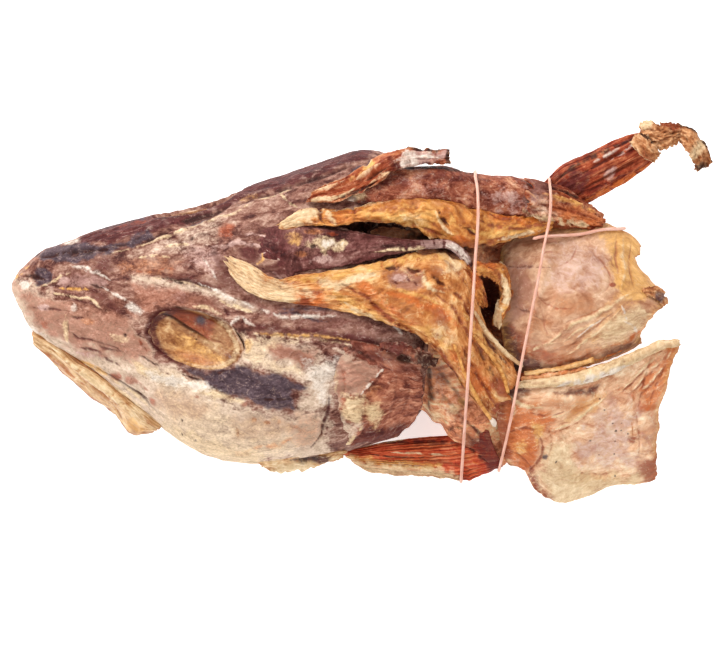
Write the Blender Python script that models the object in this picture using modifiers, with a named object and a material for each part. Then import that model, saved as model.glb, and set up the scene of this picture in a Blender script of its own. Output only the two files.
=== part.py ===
"""Dried stockfish head: a cod's head with its collar and fins, lying on its side in elastic bands.

Run it with: blender --background --python part.py

The fish is one dried piece, so it is one solid. Each anatomical form is lofted or sheeted on its own
and joined to the head by a Boolean union. The bands are separate solids, stretched over the hull
of the fish. Shapes are written in millimetres and built in metres. +X runs from the snout to the
collar, +Y to the back of the fish and +Z up. The origin is the middle of the base.
"""

import math

import bmesh
import bpy
import numpy as np
from mathutils import Vector
from mathutils.geometry import convex_hull_2d

MM = 0.001

# Driving dimensions, in millimetres.
SNOUT_X, GILL_X = -165.0, 29.0
NECK_START_X, NECK_X = -12.0, 112.0
SKIN_SHEET = 2.6
FLAP_SHEET = 3.2
FIN_SHEET = 2.4
FRAYED_SHEET = 2.0

# How finely the lofts are cut, as (rings along, sides around), and how square their rings are.
HEAD_CUTS, HEAD_BOXINESS = (31, 34), 2.35
NECK_CUTS, NECK_BOXINESS = (18, 24), 2.3

# The elastic. A band lies in the upright plane through two points (x, y) on either side of the fish.
BAND_DIAMETER = 1.9
TAIL_DIAMETER = 1.6
TOUCH_GAP = 0.35
BAND_POINT_SPACING = 1.0
BAND_SIDES = 8
BAND_REACH, TAIL_REACH = 1.6, 1.4
FRONT_BAND = (54.6, 60), (47.6, -76)
REAR_BAND = (91.5, 58), (65.2, -72)
TAIL_ENDS = (79.0, 33.8), (120.0, 39.8)
TAIL_TUCK_X = 115.0

# The head's outline from above and its height, each as (x, value).
HEAD_BACK = [(-165, 14), (-162, 18.5), (-157, 23), (-150, 29), (-140, 33), (-121, 40), (-95, 47),
             (-65, 55), (-40, 64), (-18, 71.5), (2, 77), (14, 74), (29, 64)]
HEAD_BELLY = [(-165, 10), (-162, 4), (-157, -5), (-150, -12), (-130, -24), (-110, -40), (-95, -53),
              (-76, -66), (-60, -70), (-30, -69.5), (-10, -66), (8, -61), (17, -58), (23, -52), (29, -46)]
HEAD_CROWN = [(-165, 27), (-157, 35), (-140, 45), (-110, 56), (-70, 65), (-20, 69), (10, 67), (29, 61)]
HEAD_EDGE = [(-165, 24), (-120, 25), (-40, 26), (29, 26)]
HEAD_KEEL = [(-165, 21), (-158, 11), (-146, 3), (-130, -1.5), (10, -1.5), (29, 2)]

# The neck and shoulder behind the gill cover.
NECK_BACK = [(-12, 60), (25, 66), (42, 66), (60, 63), (80, 61.5), (92, 59), (102, 54), (112, 42)]
NECK_BELLY = [(-12, -50), (20, -48), (31, -46.5), (36, -51.5), (43, -56.5), (52, -65), (62, -71.5),
              (70, -70), (80, -52), (95, -20), (112, 22)]
NECK_CROWN = [(-12, 62), (20, 62), (40, 57), (60, 50), (80, 42), (100, 35), (112, 28)]
NECK_EDGE = [(-12, 25), (50, 23), (80, 22), (112, 21)]
NECK_KEEL = [(-12, 4), (30, 6), (50, 8), (80, 9), (112, 14)]

# Round bodies: path, radii as (share of the length, radius), squash in height, (rings, sides).
ROLLS = {
    "nape_roll": ([(-2, 57, 52), (20, 59, 53), (42, 57, 50), (66, 53.5, 46), (84, 53, 41), (100, 52, 36)],
                  [(0, 5), (0.25, 8.5), (0.6, 9.5), (0.85, 8), (1, 4)], 1.15, (16, 16)),
    "rolled_fin": ([(92, 57, 31), (104, 61.5, 32), (118, 68.5, 33), (128, 74, 34), (134.5, 77.5, 34.5)],
                   [(0, 5), (0.25, 9.5), (0.55, 9.8), (0.85, 8.2), (1, 7.4)], 0.95, (12, 16)),
}

# Eye sockets and flesh hollows are cut out, and eyeballs added: centre, full size, turn about Z in degrees.
EYE_SOCKETS = {
    "eye_socket_near": ((-77, -11.5, 65), (46, 25, 22), -17),
    "eye_socket_far": ((-77, 54, 31), (44, 20, 24), 15),
}
EYEBALLS = {
    "eyeball_near": ((-77, -11.5, 55.5), (40, 22, 16.5), -17),
    "eyeball_far": ((-75.5, 47.5, 30.6), (36, 14, 19), 15),
}
FLESH_HOLLOWS = {
    "nape_hollow": ((15, 38, 60), (34, 8, 22), -10),
    "collar_hollow": ((61, 4, 50), (9, 27, 24), 14),
}

# Sheets, as rails across the form; every rail runs along it. Points are (x, y, z).
SHEETS = {
    "gill_cover": (SKIN_SHEET, [
        [(-24, -18, 66.5), (-5, -16, 66), (14, -18, 62), (29, -22, 57)],
        [(-20, -34, 63), (-4, -34, 62.5), (14, -34, 58), (29.5, -33, 53)],
        [(-18, -50, 54), (-2, -50, 52), (14, -48, 49), (28, -42, 46)],
        [(-16, -63, 38), (-2, -60, 36), (13, -57, 34), (26, -48, 33)]]),
    "nape_lip": (SKIN_SHEET, [
        [(-38, 39, 64), (-27, 46, 65), (-8, 47.5, 64), (20, 50.5, 61), (50, 48, 56), (72, 43, 48),
         (92, 44, 40)],
        [(-38, 38, 63), (-20, 40, 62), (0, 40.5, 58), (20, 39, 54), (40, 32.5, 53), (54, 28.5, 50),
         (90, 40, 39.5)]]),
    "skull_ridge": (SKIN_SHEET, [
        [(-44, 38, 66), (-25, 39.5, 68), (0, 37, 68.5), (20, 34, 68), (38, 32.5, 65), (46, 28.5, 61),
         (51, 20, 55)],
        [(-44, 26, 68), (-22, 29, 69.5), (4, 30, 69), (22, 31.5, 68), (37, 31.3, 65), (44.5, 27, 60),
         (50, 19.7, 54)],
        [(-38, 14, 67), (-22, 18.5, 67), (4, 23, 67), (22, 29, 66), (36, 30, 64), (43, 26, 59),
         (49, 19.5, 53)]]),
    "collar_flesh": (FLAP_SHEET, [
        [(-63, 27, 67), (-48, 18, 68.5), (-32, 17, 69), (0, 21.5, 68), (28, 28, 65), (47, 25, 59),
         (55, 5, 53), (64, -14, 47), (74, -24, 42)],
        [(-61, 24, 67), (-46, 13, 68.5), (-26, 10, 69.5), (2, 8, 68.5), (24, 7, 65.5), (42, 0, 61),
         (52, -12, 55), (60, -25, 49), (68, -36, 43)],
        [(-60, 21, 66.5), (-46, 8.5, 68), (-20, 2.5, 69), (0, -1, 68), (18, -8, 65), (34, -17, 60),
         (45, -30, 54), (54, -41, 48), (62, -48, 42)]]),
    "collar_flap_upper": (FLAP_SHEET, [
        [(66, 33, 38), (80, 38.5, 38), (96, 41, 36), (111, 42.5, 33), (121, 40, 31), (132, 31, 31)],
        [(62, 22, 41), (80, 25, 43), (96, 26, 43), (111, 25, 41), (123, 23, 38), (131, 20, 35)],
        [(62, 5, 42), (80, 6, 45), (96, 6, 46), (112, 5, 44), (128, 6, 40), (142, 7, 35)],
        [(64, -12, 40), (80, -12, 42), (96, -12, 43), (111, -12, 41), (124, -9, 38), (136, -3, 34)],
        [(68, -24, 36), (80, -28, 36), (93, -26, 37), (106, -22, 36), (118, -18, 34), (129, -11, 32)]]),
    "collar_flap_lower": (FLAP_SHEET, [
        [(62, -36, 39), (84, -30, 39), (104, -25, 38), (124, -19.5, 35), (138, -14, 33), (150, -13.5, 32)],
        [(62, -48, 34), (84, -43, 35), (104, -41, 34), (122, -38, 31), (134, -35, 29), (144, -36, 27)],
        [(62, -60, 29), (82, -58, 27), (100, -57, 25), (118, -56, 23), (130, -55, 22), (140, -55, 20)],
        [(66, -68, 25), (80, -69, 19), (96, -74, 14), (112, -72, 13), (127, -71, 14), (141, -70, 15)],
        [(68, -71.5, 21), (80, -76, 14), (93, -90, 3), (108, -86, 5), (123, -80, 8), (138, -79.5, 11)]]),
    "torn_skin": (FRAYED_SHEET, [
        [(-24, 53.5, 62), (-14, 58.5, 62.5), (0, 66, 59), (11, 73, 54), (24, 75, 51), (40.5, 74, 49)],
        [(-22, 52, 61), (-9, 54.5, 62.5), (6, 59, 60), (15, 65, 56), (27, 68, 53), (40.5, 70, 49)]]),
    "jaw_membrane": (SKIN_SHEET, [
        [(-156, -6, 20), (-145, -14, 22), (-130, -22, 24), (-114, -34, 26), (-100, -45, 28)],
        [(-153, -13, 15), (-144, -24, 13), (-131, -35, 12), (-118, -45, 11), (-108, -57, 10)]]),
    "throat_frill": (SKIN_SHEET, [
        [(-62, -64, 27), (-44, -65, 27), (-26, -64, 28), (-6, -61, 30)],
        [(-56, -70, 21), (-46, -72.5, 20), (-33, -75.5, 19), (-8, -67, 22)]]),
    "frayed_tip": (FRAYED_SHEET, [
        [(128, 81.5, 37), (134, 90.5, 36), (143, 88.5, 35), (151, 86.5, 34), (159, 80, 32), (164.5, 71, 29)],
        [(131, 76, 33), (138, 78, 33), (145, 80, 33), (151, 83, 32), (156, 77, 30), (159, 68, 28)]]),
}
SHEET_COLUMNS = 15
SHEET_ROWS, NARROW_SHEET_ROWS = 6, 4

# The pectoral fin, whose rays run along its rails, and how far they stand out.
FIN_RAILS = [
    [(-10, -66, 14), (5, -62, 15), (20, -60, 16), (36, -58, 18), (47, -55, 24), (60, -56, 31)],
    [(-7, -67.5, 12), (6, -67.5, 12), (20, -68, 13), (36, -67.5, 14), (50, -66, 19), (63, -66, 25)],
    [(-3, -71, 9), (6, -74.5, 8), (20, -76.5, 8), (36, -77.5, 9), (50, -78.5, 12), (66, -72.5, 19)]]
FIN_RAYS = 7
FIN_COLUMNS = 9
FIN_RAY_HEIGHT = 0.8


def clear_scene():
    """Removes every object, so that the script starts from an empty scene."""
    for obj in list(bpy.data.objects):
        bpy.data.objects.remove(obj)


def new_collection(name):
    """A new collection in the scene."""
    collection = bpy.data.collections.new(name)
    bpy.context.scene.collection.children.link(collection)
    return collection


def new_material(name, colour, roughness):
    """A Principled material of one colour."""
    material = bpy.data.materials.new(name)
    material.use_nodes = True
    shader = material.node_tree.nodes["Principled BSDF"]
    shader.inputs["Base Color"].default_value = (*colour, 1.0)
    shader.inputs["Roughness"].default_value = roughness
    shader.inputs["Metallic"].default_value = 0.0
    return material


def hermite(knots, values, at):
    """Values at the given places, on a smooth cubic that passes through the value at every knot."""
    slopes = np.gradient(values, knots, axis=0)
    span = np.clip(np.searchsorted(knots, at, side="right") - 1, 0, len(knots) - 2)
    width = knots[span + 1] - knots[span]
    t = (at - knots[span]) / width
    if values.ndim > 1:
        t, width = t[:, None], width[:, None]
    start = (2 * t**3 - 3 * t**2 + 1) * values[span] + (t**3 - 2 * t**2 + t) * width * slopes[span]
    end = (3 * t**2 - 2 * t**3) * values[span + 1] + (t**3 - t**2) * width * slopes[span + 1]
    return start + end


def table(rows, at):
    """The value of an (x, value) table at each x, on a smooth curve."""
    rows = np.array(rows, float)
    return hermite(rows[:, 0], rows[:, 1], at)


def curve_through(points, count):
    """A smooth curve through the points, sampled at even steps of its chord length."""
    points = np.array(points, float)
    steps = np.linalg.norm(np.diff(points, axis=0), axis=1)
    knots = np.concatenate([[0.0], np.cumsum(steps)]) / steps.sum()
    return hermite(knots, points, np.linspace(0, 1, count))


def grid_mesh(name, grid, wraps):
    """A mesh object from a grid of points in millimetres. A wrapped grid is a tube with capped ends."""
    rows, columns = grid.shape[:2]
    shape = bmesh.new()
    verts = [[shape.verts.new(Vector(p) * MM) for p in row] for row in grid]
    for i in range(rows - 1):
        for j in range(columns if wraps else columns - 1):
            k = (j + 1) % columns
            shape.faces.new((verts[i][j], verts[i][k], verts[i + 1][k], verts[i + 1][j]))
    if wraps:
        shape.faces.new(reversed(verts[0]))
        shape.faces.new(verts[-1])
    bmesh.ops.recalc_face_normals(shape, faces=shape.faces)
    mesh = bpy.data.meshes.new(name)
    shape.to_mesh(mesh)
    shape.free()
    return bpy.data.objects.new(name, mesh)


def signed_power(value, power):
    """The power of a number's size, with the number's sign."""
    return np.sign(value) * np.abs(value) ** power


def body_rings(stations, back, belly, crown, edge, keel, around, boxiness):
    """Rings of a body: each is a superellipse from the belly line to the back line, with its own height."""
    angle = np.linspace(0, 2 * math.pi, around, endpoint=False)
    across = signed_power(np.cos(angle), 2 / boxiness)
    upward = signed_power(np.sin(angle), 2 / boxiness)
    y_back, y_belly = table(back, stations)[:, None], table(belly, stations)[:, None]
    z_edge = table(edge, stations)[:, None]
    rise = table(crown, stations)[:, None] - z_edge
    drop = z_edge - table(keel, stations)[:, None]
    y = (y_back + y_belly) / 2 + (y_back - y_belly) / 2 * across
    z = z_edge + np.where(upward > 0, rise, drop) * upward
    x = np.broadcast_to(stations[:, None], y.shape)
    return np.stack([x, y, z], axis=2)


def make_head():
    """The skull, jaws and cheeks, with stations that crowd towards the snout."""
    share = np.linspace(0, 1, HEAD_CUTS[0])
    stations = SNOUT_X + (GILL_X - SNOUT_X) * (0.35 * share + 0.65 * share**1.8)
    lines = HEAD_BACK, HEAD_BELLY, HEAD_CROWN, HEAD_EDGE, HEAD_KEEL
    return grid_mesh("dried_fish_head", body_rings(stations, *lines, HEAD_CUTS[1], HEAD_BOXINESS), wraps=True)


def make_neck():
    """The neck and shoulder, which start inside the head and run back to the rolled fin."""
    stations = np.linspace(NECK_START_X, NECK_X, NECK_CUTS[0])
    lines = NECK_BACK, NECK_BELLY, NECK_CROWN, NECK_EDGE, NECK_KEEL
    return grid_mesh("neck", body_rings(stations, *lines, NECK_CUTS[1], NECK_BOXINESS), wraps=True)


def swept_body(name, path, radii, squash, cuts):
    """A round body along a path, with radii as (share of the length, radius), squashed in height."""
    rings, around = cuts
    line = curve_through(path, rings)
    share = np.linspace(0, 1, rings)
    radius = table(radii, share)[:, None, None]
    tangent = np.gradient(line, axis=0)
    tangent /= np.linalg.norm(tangent, axis=1, keepdims=True)
    side = np.cross(tangent, (0.0, 0.0, 1.0))
    side /= np.linalg.norm(side, axis=1, keepdims=True)
    up = np.cross(side, tangent)
    angle = np.linspace(0, 2 * math.pi, around, endpoint=False)[None, :, None]
    ring = side[:, None] * np.cos(angle) + up[:, None] * np.sin(angle) * squash
    return grid_mesh(name, line[:, None] + ring * radius, wraps=True)


def sheet_grid(rails, rows, columns):
    """A smooth surface across the rails, as a grid of points that runs along them."""
    along = np.stack([curve_through(rail, columns) for rail in rails])
    knots = np.linspace(0, 1, len(rails))
    across = np.linspace(0, 1, rows)
    return np.stack([hermite(knots, along[:, j], across) for j in range(columns)], axis=1)


def thick_sheet(name, grid, thickness):
    """A stiff sheet of skin or flesh on the grid, made solid with Solidify."""
    sheet = grid_mesh(name, grid, wraps=False)
    solid = sheet.modifiers.new("thickness", "SOLIDIFY")
    solid.thickness = thickness * MM
    solid.offset = 0.0
    return sheet


def make_fin():
    """The pectoral fin: a sheet whose rays are ridges that fade out at its tip and its root."""
    rows = 2 * FIN_RAYS + 1
    grid = sheet_grid(FIN_RAILS, rows, FIN_COLUMNS)
    fade = np.sin(np.linspace(0, math.pi, FIN_COLUMNS))
    ridge = np.where(np.arange(rows) % 2, 1.0, -1.0)[:, None] * fade[None, :]
    grid[..., 2] += FIN_RAY_HEIGHT / 2 * ridge
    return thick_sheet("pectoral_fin", grid, FIN_SHEET)


def make_ellipsoid(name, centre, size, turn):
    """An ellipsoid of full size (x, y, z), turned about the vertical by an angle in degrees."""
    place = Vector(centre) * MM
    bpy.ops.mesh.primitive_uv_sphere_add(segments=24, ring_count=12, radius=0.5, location=place)
    ball = bpy.context.object
    ball.name = name
    ball.scale = Vector(size) * MM
    ball.rotation_euler.z = math.radians(turn)
    return ball


def make_floor_cutter():
    """A block whose top is the base plane, so that what reaches below it is cut to one flat face."""
    side = 500 * MM
    bpy.ops.mesh.primitive_cube_add(size=side, location=(0, 0, -side / 2))
    cutter = bpy.context.object
    cutter.name = "floor_cutter"
    return cutter


def move_to(obj, collection):
    """Puts an object in one collection only."""
    for old in list(obj.users_collection):
        old.objects.unlink(obj)
    collection.objects.link(obj)


def add_boolean(obj, operation, other):
    """Joins or cuts obj with an object or with every object of a collection."""
    boolean = obj.modifiers.new(operation.lower(), "BOOLEAN")
    boolean.operation = operation
    boolean.solver = "EXACT"
    if isinstance(other, bpy.types.Collection):
        boolean.operand_type = "COLLECTION"
        boolean.collection = other
        boolean.use_self = True
    else:
        boolean.object = other


def make_fish(collection, helpers, colour):
    """The whole dried fish as one solid: head, neck, folds, flaps and fins joined, base cut flat."""
    joined = bpy.data.collections.new("joined_forms")
    helpers.children.link(joined)
    forms = [make_neck(), make_fin()]
    forms += [swept_body(name, *shape) for name, shape in ROLLS.items()]
    for name, (thickness, rails) in SHEETS.items():
        rows = SHEET_ROWS if len(rails) > 2 else NARROW_SHEET_ROWS
        forms.append(thick_sheet(name, sheet_grid(rails, rows, SHEET_COLUMNS), thickness))
    forms += [make_ellipsoid(name, *shape) for name, shape in EYEBALLS.items()]
    for form in forms:
        move_to(form, joined)
    hollows = [make_ellipsoid(name, *shape) for name, shape in FLESH_HOLLOWS.items()]
    sockets = [make_ellipsoid(name, *shape) for name, shape in EYE_SOCKETS.items()]
    floor = make_floor_cutter()
    for cutter in [*sockets, *hollows, floor]:
        move_to(cutter, helpers)
    for helper in [*forms, *sockets, *hollows, floor]:
        helper.hide_render = True
        helper.display_type = "WIRE"
    fish = make_head()
    collection.objects.link(fish)
    for cutter in sockets:
        add_boolean(fish, "DIFFERENCE", cutter)
    add_boolean(fish, "UNION", joined)
    for cutter in [*hollows, floor]:
        add_boolean(fish, "DIFFERENCE", cutter)
    fish.data.materials.append(colour)
    return fish


def surface_points(objects):
    """Points in millimetres on the evaluated meshes: each triangle's edges, cut into equal steps."""
    graph = bpy.context.evaluated_depsgraph_get()
    found = []
    for obj in objects:
        mesh = bpy.data.meshes.new_from_object(obj.evaluated_get(graph))
        mesh.transform(obj.matrix_world)
        mesh.calc_loop_triangles()
        points = np.array([v.co for v in mesh.vertices]) / MM
        corners = points[np.array([t.vertices for t in mesh.loop_triangles])]
        for share in np.linspace(0, 1, 13)[:-1]:
            found.append((corners * (1 - share) + np.roll(corners, -1, axis=1) * share).reshape(-1, 3))
    return np.concatenate(found)


def stretched_path(points, start, end, reach, clearance):
    """The line an elastic takes in the upright plane through start and end: the hull of the solid there.

    reach is how far to each side of the plane the solid counts, and clearance is how far off it the
    elastic's centre line runs.
    """
    start, end = np.array(start, float), np.array(end, float)
    along = (end - start) / np.linalg.norm(end - start)
    aside = np.array([-along[1], along[0]])
    offset = (points[:, :2] - start) @ aside
    near = points[np.abs(offset) < reach]
    flat = np.stack([(near[:, :2] - start) @ along, near[:, 2]], axis=1)
    turns = np.linspace(0, 2 * math.pi, 16, endpoint=False)
    flat = flat[convex_hull_2d(flat.tolist())]
    grown = (flat[:, None] + clearance * np.stack([np.cos(turns), np.sin(turns)], axis=1)).reshape(-1, 2)
    hull = grown[convex_hull_2d(grown.tolist())]
    ground = start + hull[:, :1] * along
    return thinned(np.concatenate([ground, hull[:, 1:]], axis=1), BAND_POINT_SPACING)


def thinned(path, spacing):
    """The same line without the points that follow another more closely than the spacing."""
    kept = [path[0]]
    for point in path[1:]:
        if np.linalg.norm(point - kept[-1]) >= spacing:
            kept.append(point)
    return np.array(kept)


def make_elastic(name, path, diameter, closed, collection, colour):
    """A round elastic along a line: a poly curve with a round bevel and, where it is open, filled caps."""
    data = bpy.data.curves.new(name, "CURVE")
    data.dimensions = "3D"
    data.bevel_depth = diameter / 2 * MM
    data.bevel_resolution = (BAND_SIDES - 4) // 2
    data.use_fill_caps = True
    spline = data.splines.new("POLY")
    spline.points.add(len(path) - 1)
    spline.use_cyclic_u = closed
    for point, place in zip(spline.points, path):
        point.co = (*(place * MM), 1.0)
    elastic = bpy.data.objects.new(name, data)
    collection.objects.link(elastic)
    data.materials.append(colour)
    return elastic


def make_bands(fish, collection, colour):
    """The front band, the loose tail over the upper flap, and the rear band over the tail."""
    clearance = BAND_DIAMETER / 2 + TOUCH_GAP
    bpy.context.view_layer.update()
    fish_points = surface_points([fish])

    front = stretched_path(fish_points, *FRONT_BAND, BAND_REACH, clearance)
    make_elastic("band_front", front, BAND_DIAMETER, True, collection, colour)

    flap_points = surface_points([bpy.data.objects["collar_flap_upper"]])
    tail = stretched_path(flap_points, *TAIL_ENDS, TAIL_REACH, TAIL_DIAMETER / 2 + TOUCH_GAP)
    middle = tail.mean(axis=0)
    turn = np.arctan2(tail[:, 2] - middle[2], tail[:, 0] - middle[0])
    tail = tail[np.argsort(-turn)]
    over = (tail[:, 2] > middle[2]) & (tail[:, 0] > TAIL_ENDS[0][0])
    tail = tail[over | (tail[:, 0] > TAIL_TUCK_X)]
    strand = make_elastic("band_tail", tail, TAIL_DIAMETER, False, collection, colour)

    bpy.context.view_layer.update()
    bundle = np.concatenate([fish_points, surface_points([strand])])
    rear = stretched_path(bundle, *REAR_BAND, BAND_REACH, clearance)
    make_elastic("band_rear", rear, BAND_DIAMETER, True, collection, colour)


def main():
    """Builds the fish and its bands."""
    clear_scene()
    collection = new_collection("stockfish_head")
    helpers = new_collection("helpers")
    skin = new_material("dried_skin", (0.36, 0.20, 0.13), 0.6)
    rubber = new_material("elastic", (0.85, 0.48, 0.40), 0.5)
    fish = make_fish(collection, helpers, skin)
    make_bands(fish, collection, rubber)


main()
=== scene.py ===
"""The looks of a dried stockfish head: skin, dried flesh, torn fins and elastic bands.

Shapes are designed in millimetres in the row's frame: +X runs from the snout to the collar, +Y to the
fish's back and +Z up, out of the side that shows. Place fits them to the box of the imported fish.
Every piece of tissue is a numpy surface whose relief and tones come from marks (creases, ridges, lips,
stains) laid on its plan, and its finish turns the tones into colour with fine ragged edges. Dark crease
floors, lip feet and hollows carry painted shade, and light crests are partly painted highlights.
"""

import itertools
import logging
import math
from dataclasses import dataclass, field
from enum import Enum
from typing import Any, Sequence

import bpy
import numpy as np
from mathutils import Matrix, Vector
from mathutils.geometry import convex_hull_2d


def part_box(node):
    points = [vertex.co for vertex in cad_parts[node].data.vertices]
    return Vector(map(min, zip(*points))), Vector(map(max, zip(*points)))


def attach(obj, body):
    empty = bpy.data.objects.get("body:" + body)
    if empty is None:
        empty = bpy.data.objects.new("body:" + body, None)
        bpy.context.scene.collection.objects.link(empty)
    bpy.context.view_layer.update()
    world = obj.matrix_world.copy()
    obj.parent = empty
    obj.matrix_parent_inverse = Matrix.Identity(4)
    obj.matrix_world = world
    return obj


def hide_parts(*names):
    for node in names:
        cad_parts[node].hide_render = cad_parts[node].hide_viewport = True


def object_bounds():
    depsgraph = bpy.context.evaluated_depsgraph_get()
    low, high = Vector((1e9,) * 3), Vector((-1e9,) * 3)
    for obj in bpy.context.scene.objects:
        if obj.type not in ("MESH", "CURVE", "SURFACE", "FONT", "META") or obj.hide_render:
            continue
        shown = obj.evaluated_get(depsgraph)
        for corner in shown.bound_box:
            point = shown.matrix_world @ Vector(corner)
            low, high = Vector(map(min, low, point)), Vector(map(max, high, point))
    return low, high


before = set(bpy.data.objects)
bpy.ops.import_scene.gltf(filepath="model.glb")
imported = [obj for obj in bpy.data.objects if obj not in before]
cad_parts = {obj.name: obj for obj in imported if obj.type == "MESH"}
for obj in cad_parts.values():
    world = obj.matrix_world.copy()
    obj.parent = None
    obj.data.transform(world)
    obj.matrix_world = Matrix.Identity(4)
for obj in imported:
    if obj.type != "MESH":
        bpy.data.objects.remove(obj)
CAD_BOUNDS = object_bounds()

Array = np.ndarray
Triple = tuple[float, float, float]
Colour = Triple
Points = Sequence[Sequence[float]]

LOG = logging.getLogger("stockfish")
REFLECTANCE = 0.74
FLOOR_GAP = 0.1
RELIEF_SCALE = 0.55
RELIEF_PASSES = 40
NOISE_ROUGHNESS = 0.62
HASH_PRIMES = np.array([374761393, 668265263, 2246822519])
NEAR_EYE = (-77.2, -12.4)
NEAR_EYE_TURN = -17.0
FISH = "dried_fish_head"
DESIGN_LOW = np.array([-165.0, -90.8, 0.0])
DESIGN_HIGH = np.array([164.5, 90.6, 71.1])


def paint(red: int, green: int, blue: int) -> Colour:
    """The surface colour that shows with the given display values under the studio's light.

    Args:
        red: the red display value, from 0 to 255.
        green: the green one.
        blue: the blue one.

    Returns:
        The linear colour.
    """
    def linear(value: float) -> float:
        """One channel by the sRGB curve: a short straight foot, then a power of 2.4."""
        share = value / 255
        return REFLECTANCE * (share / 12.92 if share <= 0.04045 else ((share + 0.055) / 1.055) ** 2.4)
    return linear(red), linear(green), linear(blue)


class Tone(Enum):
    """The tones that marks lay over a tissue, in the order they are laid."""

    SAND = paint(230, 202, 176)
    ROSE = paint(170, 112, 90)
    LILAC = paint(208, 168, 156)
    MAUVE = paint(140, 92, 82)
    MAROON = paint(88, 34, 34)
    ORANGE = paint(214, 110, 45)
    GOLD = paint(234, 173, 94)
    AMBER = paint(190, 116, 66)
    RUST = paint(156, 70, 40)
    CREAM = paint(238, 206, 161)
    SLATE = paint(84, 68, 76)
    # Umber is laid as dark spots, and also as painted shade in creases, lip feet and hollows.
    UMBER = paint(52, 26, 20)
    WHITE = paint(238, 222, 206)


class Kind(Enum):
    """What a mark does to the surface."""

    RIDGE = "ridge"
    CREASE = "crease"
    LIP = "lip"
    STREAK = "streak"


# ---------------------------------------------------------------- numbers and noise


def smoothstep(low: float, high: float, value: Array) -> Array:
    """0 below low, 1 above high, and between them 3t^2 - 2t^3."""
    t = np.clip((value - low) / (high - low), 0.0, 1.0)
    return t * t * (3 - 2 * t)


def scatter_number(cell: Array, seed: int) -> Array:
    """A fixed number from -1 to 1 for each whole-number cell.

    The cell's coordinates are multiplied by large primes and added, and the sum's bits are folded.

    Args:
        cell: whole numbers of shape (..., 2) or (..., 3).
        seed: which numbers.

    Returns:
        One number for each cell.
    """
    mixed = (cell.astype(np.int64) * HASH_PRIMES[: cell.shape[-1]]).sum(axis=-1) + seed * 3266489917
    mixed = (mixed ^ (mixed >> 13)) * 1274126177
    mixed = mixed ^ (mixed >> 16)
    return (mixed & 0xFFFFFF) / 0x7FFFFF - 1.0


def gradient_noise(points: Array, seed: int) -> Array:
    """Smooth noise from about -1 to 1.

    Each lattice corner has a random slope, and the slopes are blended by 6t^5 - 15t^4 + 10t^3.

    Args:
        points: places in noise cells, of shape (..., 2) or (..., 3).
        seed: which noise.

    Returns:
        One value for each point.
    """
    cell = np.floor(points)
    local = points - cell
    fade = local**3 * (local * (local * 6 - 15) + 10)
    total = np.zeros(points.shape[:-1])
    for corner in itertools.product((0, 1), repeat=points.shape[-1]):
        offset = np.array(corner)
        weight = np.prod(np.where(offset == 1, fade, 1 - fade), axis=-1)
        slope = sum(scatter_number(cell + offset, seed + 101 * k) * (local - offset)[..., k]
                    for k in range(points.shape[-1]))
        total += weight * slope
    return total * 1.5


def fractal(points: Array, size: float | Sequence[float], seed: int, octaves: int = 4,
            gain: float = 0.5) -> Array:
    """Noise summed over octaves, each half as large and gain times as strong.

    Args:
        points: places in millimetres.
        size: the largest features' size in millimetres, one number or one for each axis.
        seed: which noise.
        octaves: how many sizes are summed.
        gain: the strength of each octave against the one before.

    Returns:
        Values from about -1 to 1.
    """
    at = points / np.asarray(size, float)
    total, strength, whole = 0.0, 1.0, 0.0
    for octave in range(octaves):
        total = total + strength * gradient_noise(at * 2.0**octave, seed + 17 * octave)
        whole += strength
        strength *= gain
    return total / whole * 1.4


def crinkle(points: Array, size: float | Sequence[float], seed: int, octaves: int = 3) -> Array:
    """Sharp-crested folds up to 1: 1 - 2.4 times the size of fractal noise, so its zeros are the crests."""
    return 1 - 2.4 * np.abs(fractal(points, size, seed, octaves))


def hermite(knots: Array, values: Array, at: Array) -> Array:
    """Values at the given places on the smooth cubic through every knot, with centred slopes.

    Args:
        knots: rising places, of shape (count,).
        values: what the curve has at each knot, of shape (count, ...).
        at: the places asked for.

    Returns:
        One value for each place.
    """
    slopes = np.gradient(values, knots, axis=0)
    span = np.clip(np.searchsorted(knots, at, side="right") - 1, 0, len(knots) - 2)
    width = knots[span + 1] - knots[span]
    t = (at - knots[span]) / width
    if values.ndim > 1:
        shape = (-1,) + (1,) * (values.ndim - 1)
        t, width = t.reshape(shape), width.reshape(shape)
    start = (2 * t**3 - 3 * t**2 + 1) * values[span] + (t**3 - 2 * t**2 + t) * width * slopes[span]
    return start + (3 * t**2 - 2 * t**3) * values[span + 1] + (t**3 - t**2) * width * slopes[span + 1]


def table(rows: Points, at: Array) -> Array:
    """The value of an (x, value) table at each place, on a smooth curve."""
    numbers = np.array(rows, float)
    return hermite(numbers[:, 0], numbers[:, 1], np.asarray(at, float))


def curve_through(points: Points, count: int) -> Array:
    """A smooth curve through the points, sampled at even steps of its chord length.

    Args:
        points: the places that the curve goes through.
        count: how many points are sampled.

    Returns:
        Points of shape (count, dimensions).
    """
    line = np.array(points, float)
    steps = np.linalg.norm(np.diff(line, axis=0), axis=1)
    knots = np.concatenate([[0.0], np.cumsum(steps)]) / steps.sum()
    return hermite(knots, line, np.linspace(0, 1, count))


def signed_power(value: Array, power: float) -> Array:
    """The power of a number's size, with the number's sign."""
    return np.sign(value) * np.abs(value) ** power


def grid_normals(grid: Array, wraps: bool = False) -> Array:
    """Unit normals of a grid of points: the cross product of its two central differences.

    Args:
        grid: points of shape (rows, columns, 3).
        wraps: whether the columns close into rings.

    Returns:
        Unit vectors of the grid's shape.
    """
    down = np.gradient(grid, axis=0)
    if wraps:
        right = (np.roll(grid, -1, axis=1) - np.roll(grid, 1, axis=1)) / 2
    else:
        right = np.gradient(grid, axis=1)
    normal = np.cross(right, down)
    return normal / np.maximum(np.linalg.norm(normal, axis=2, keepdims=True), 1e-9)


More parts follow.
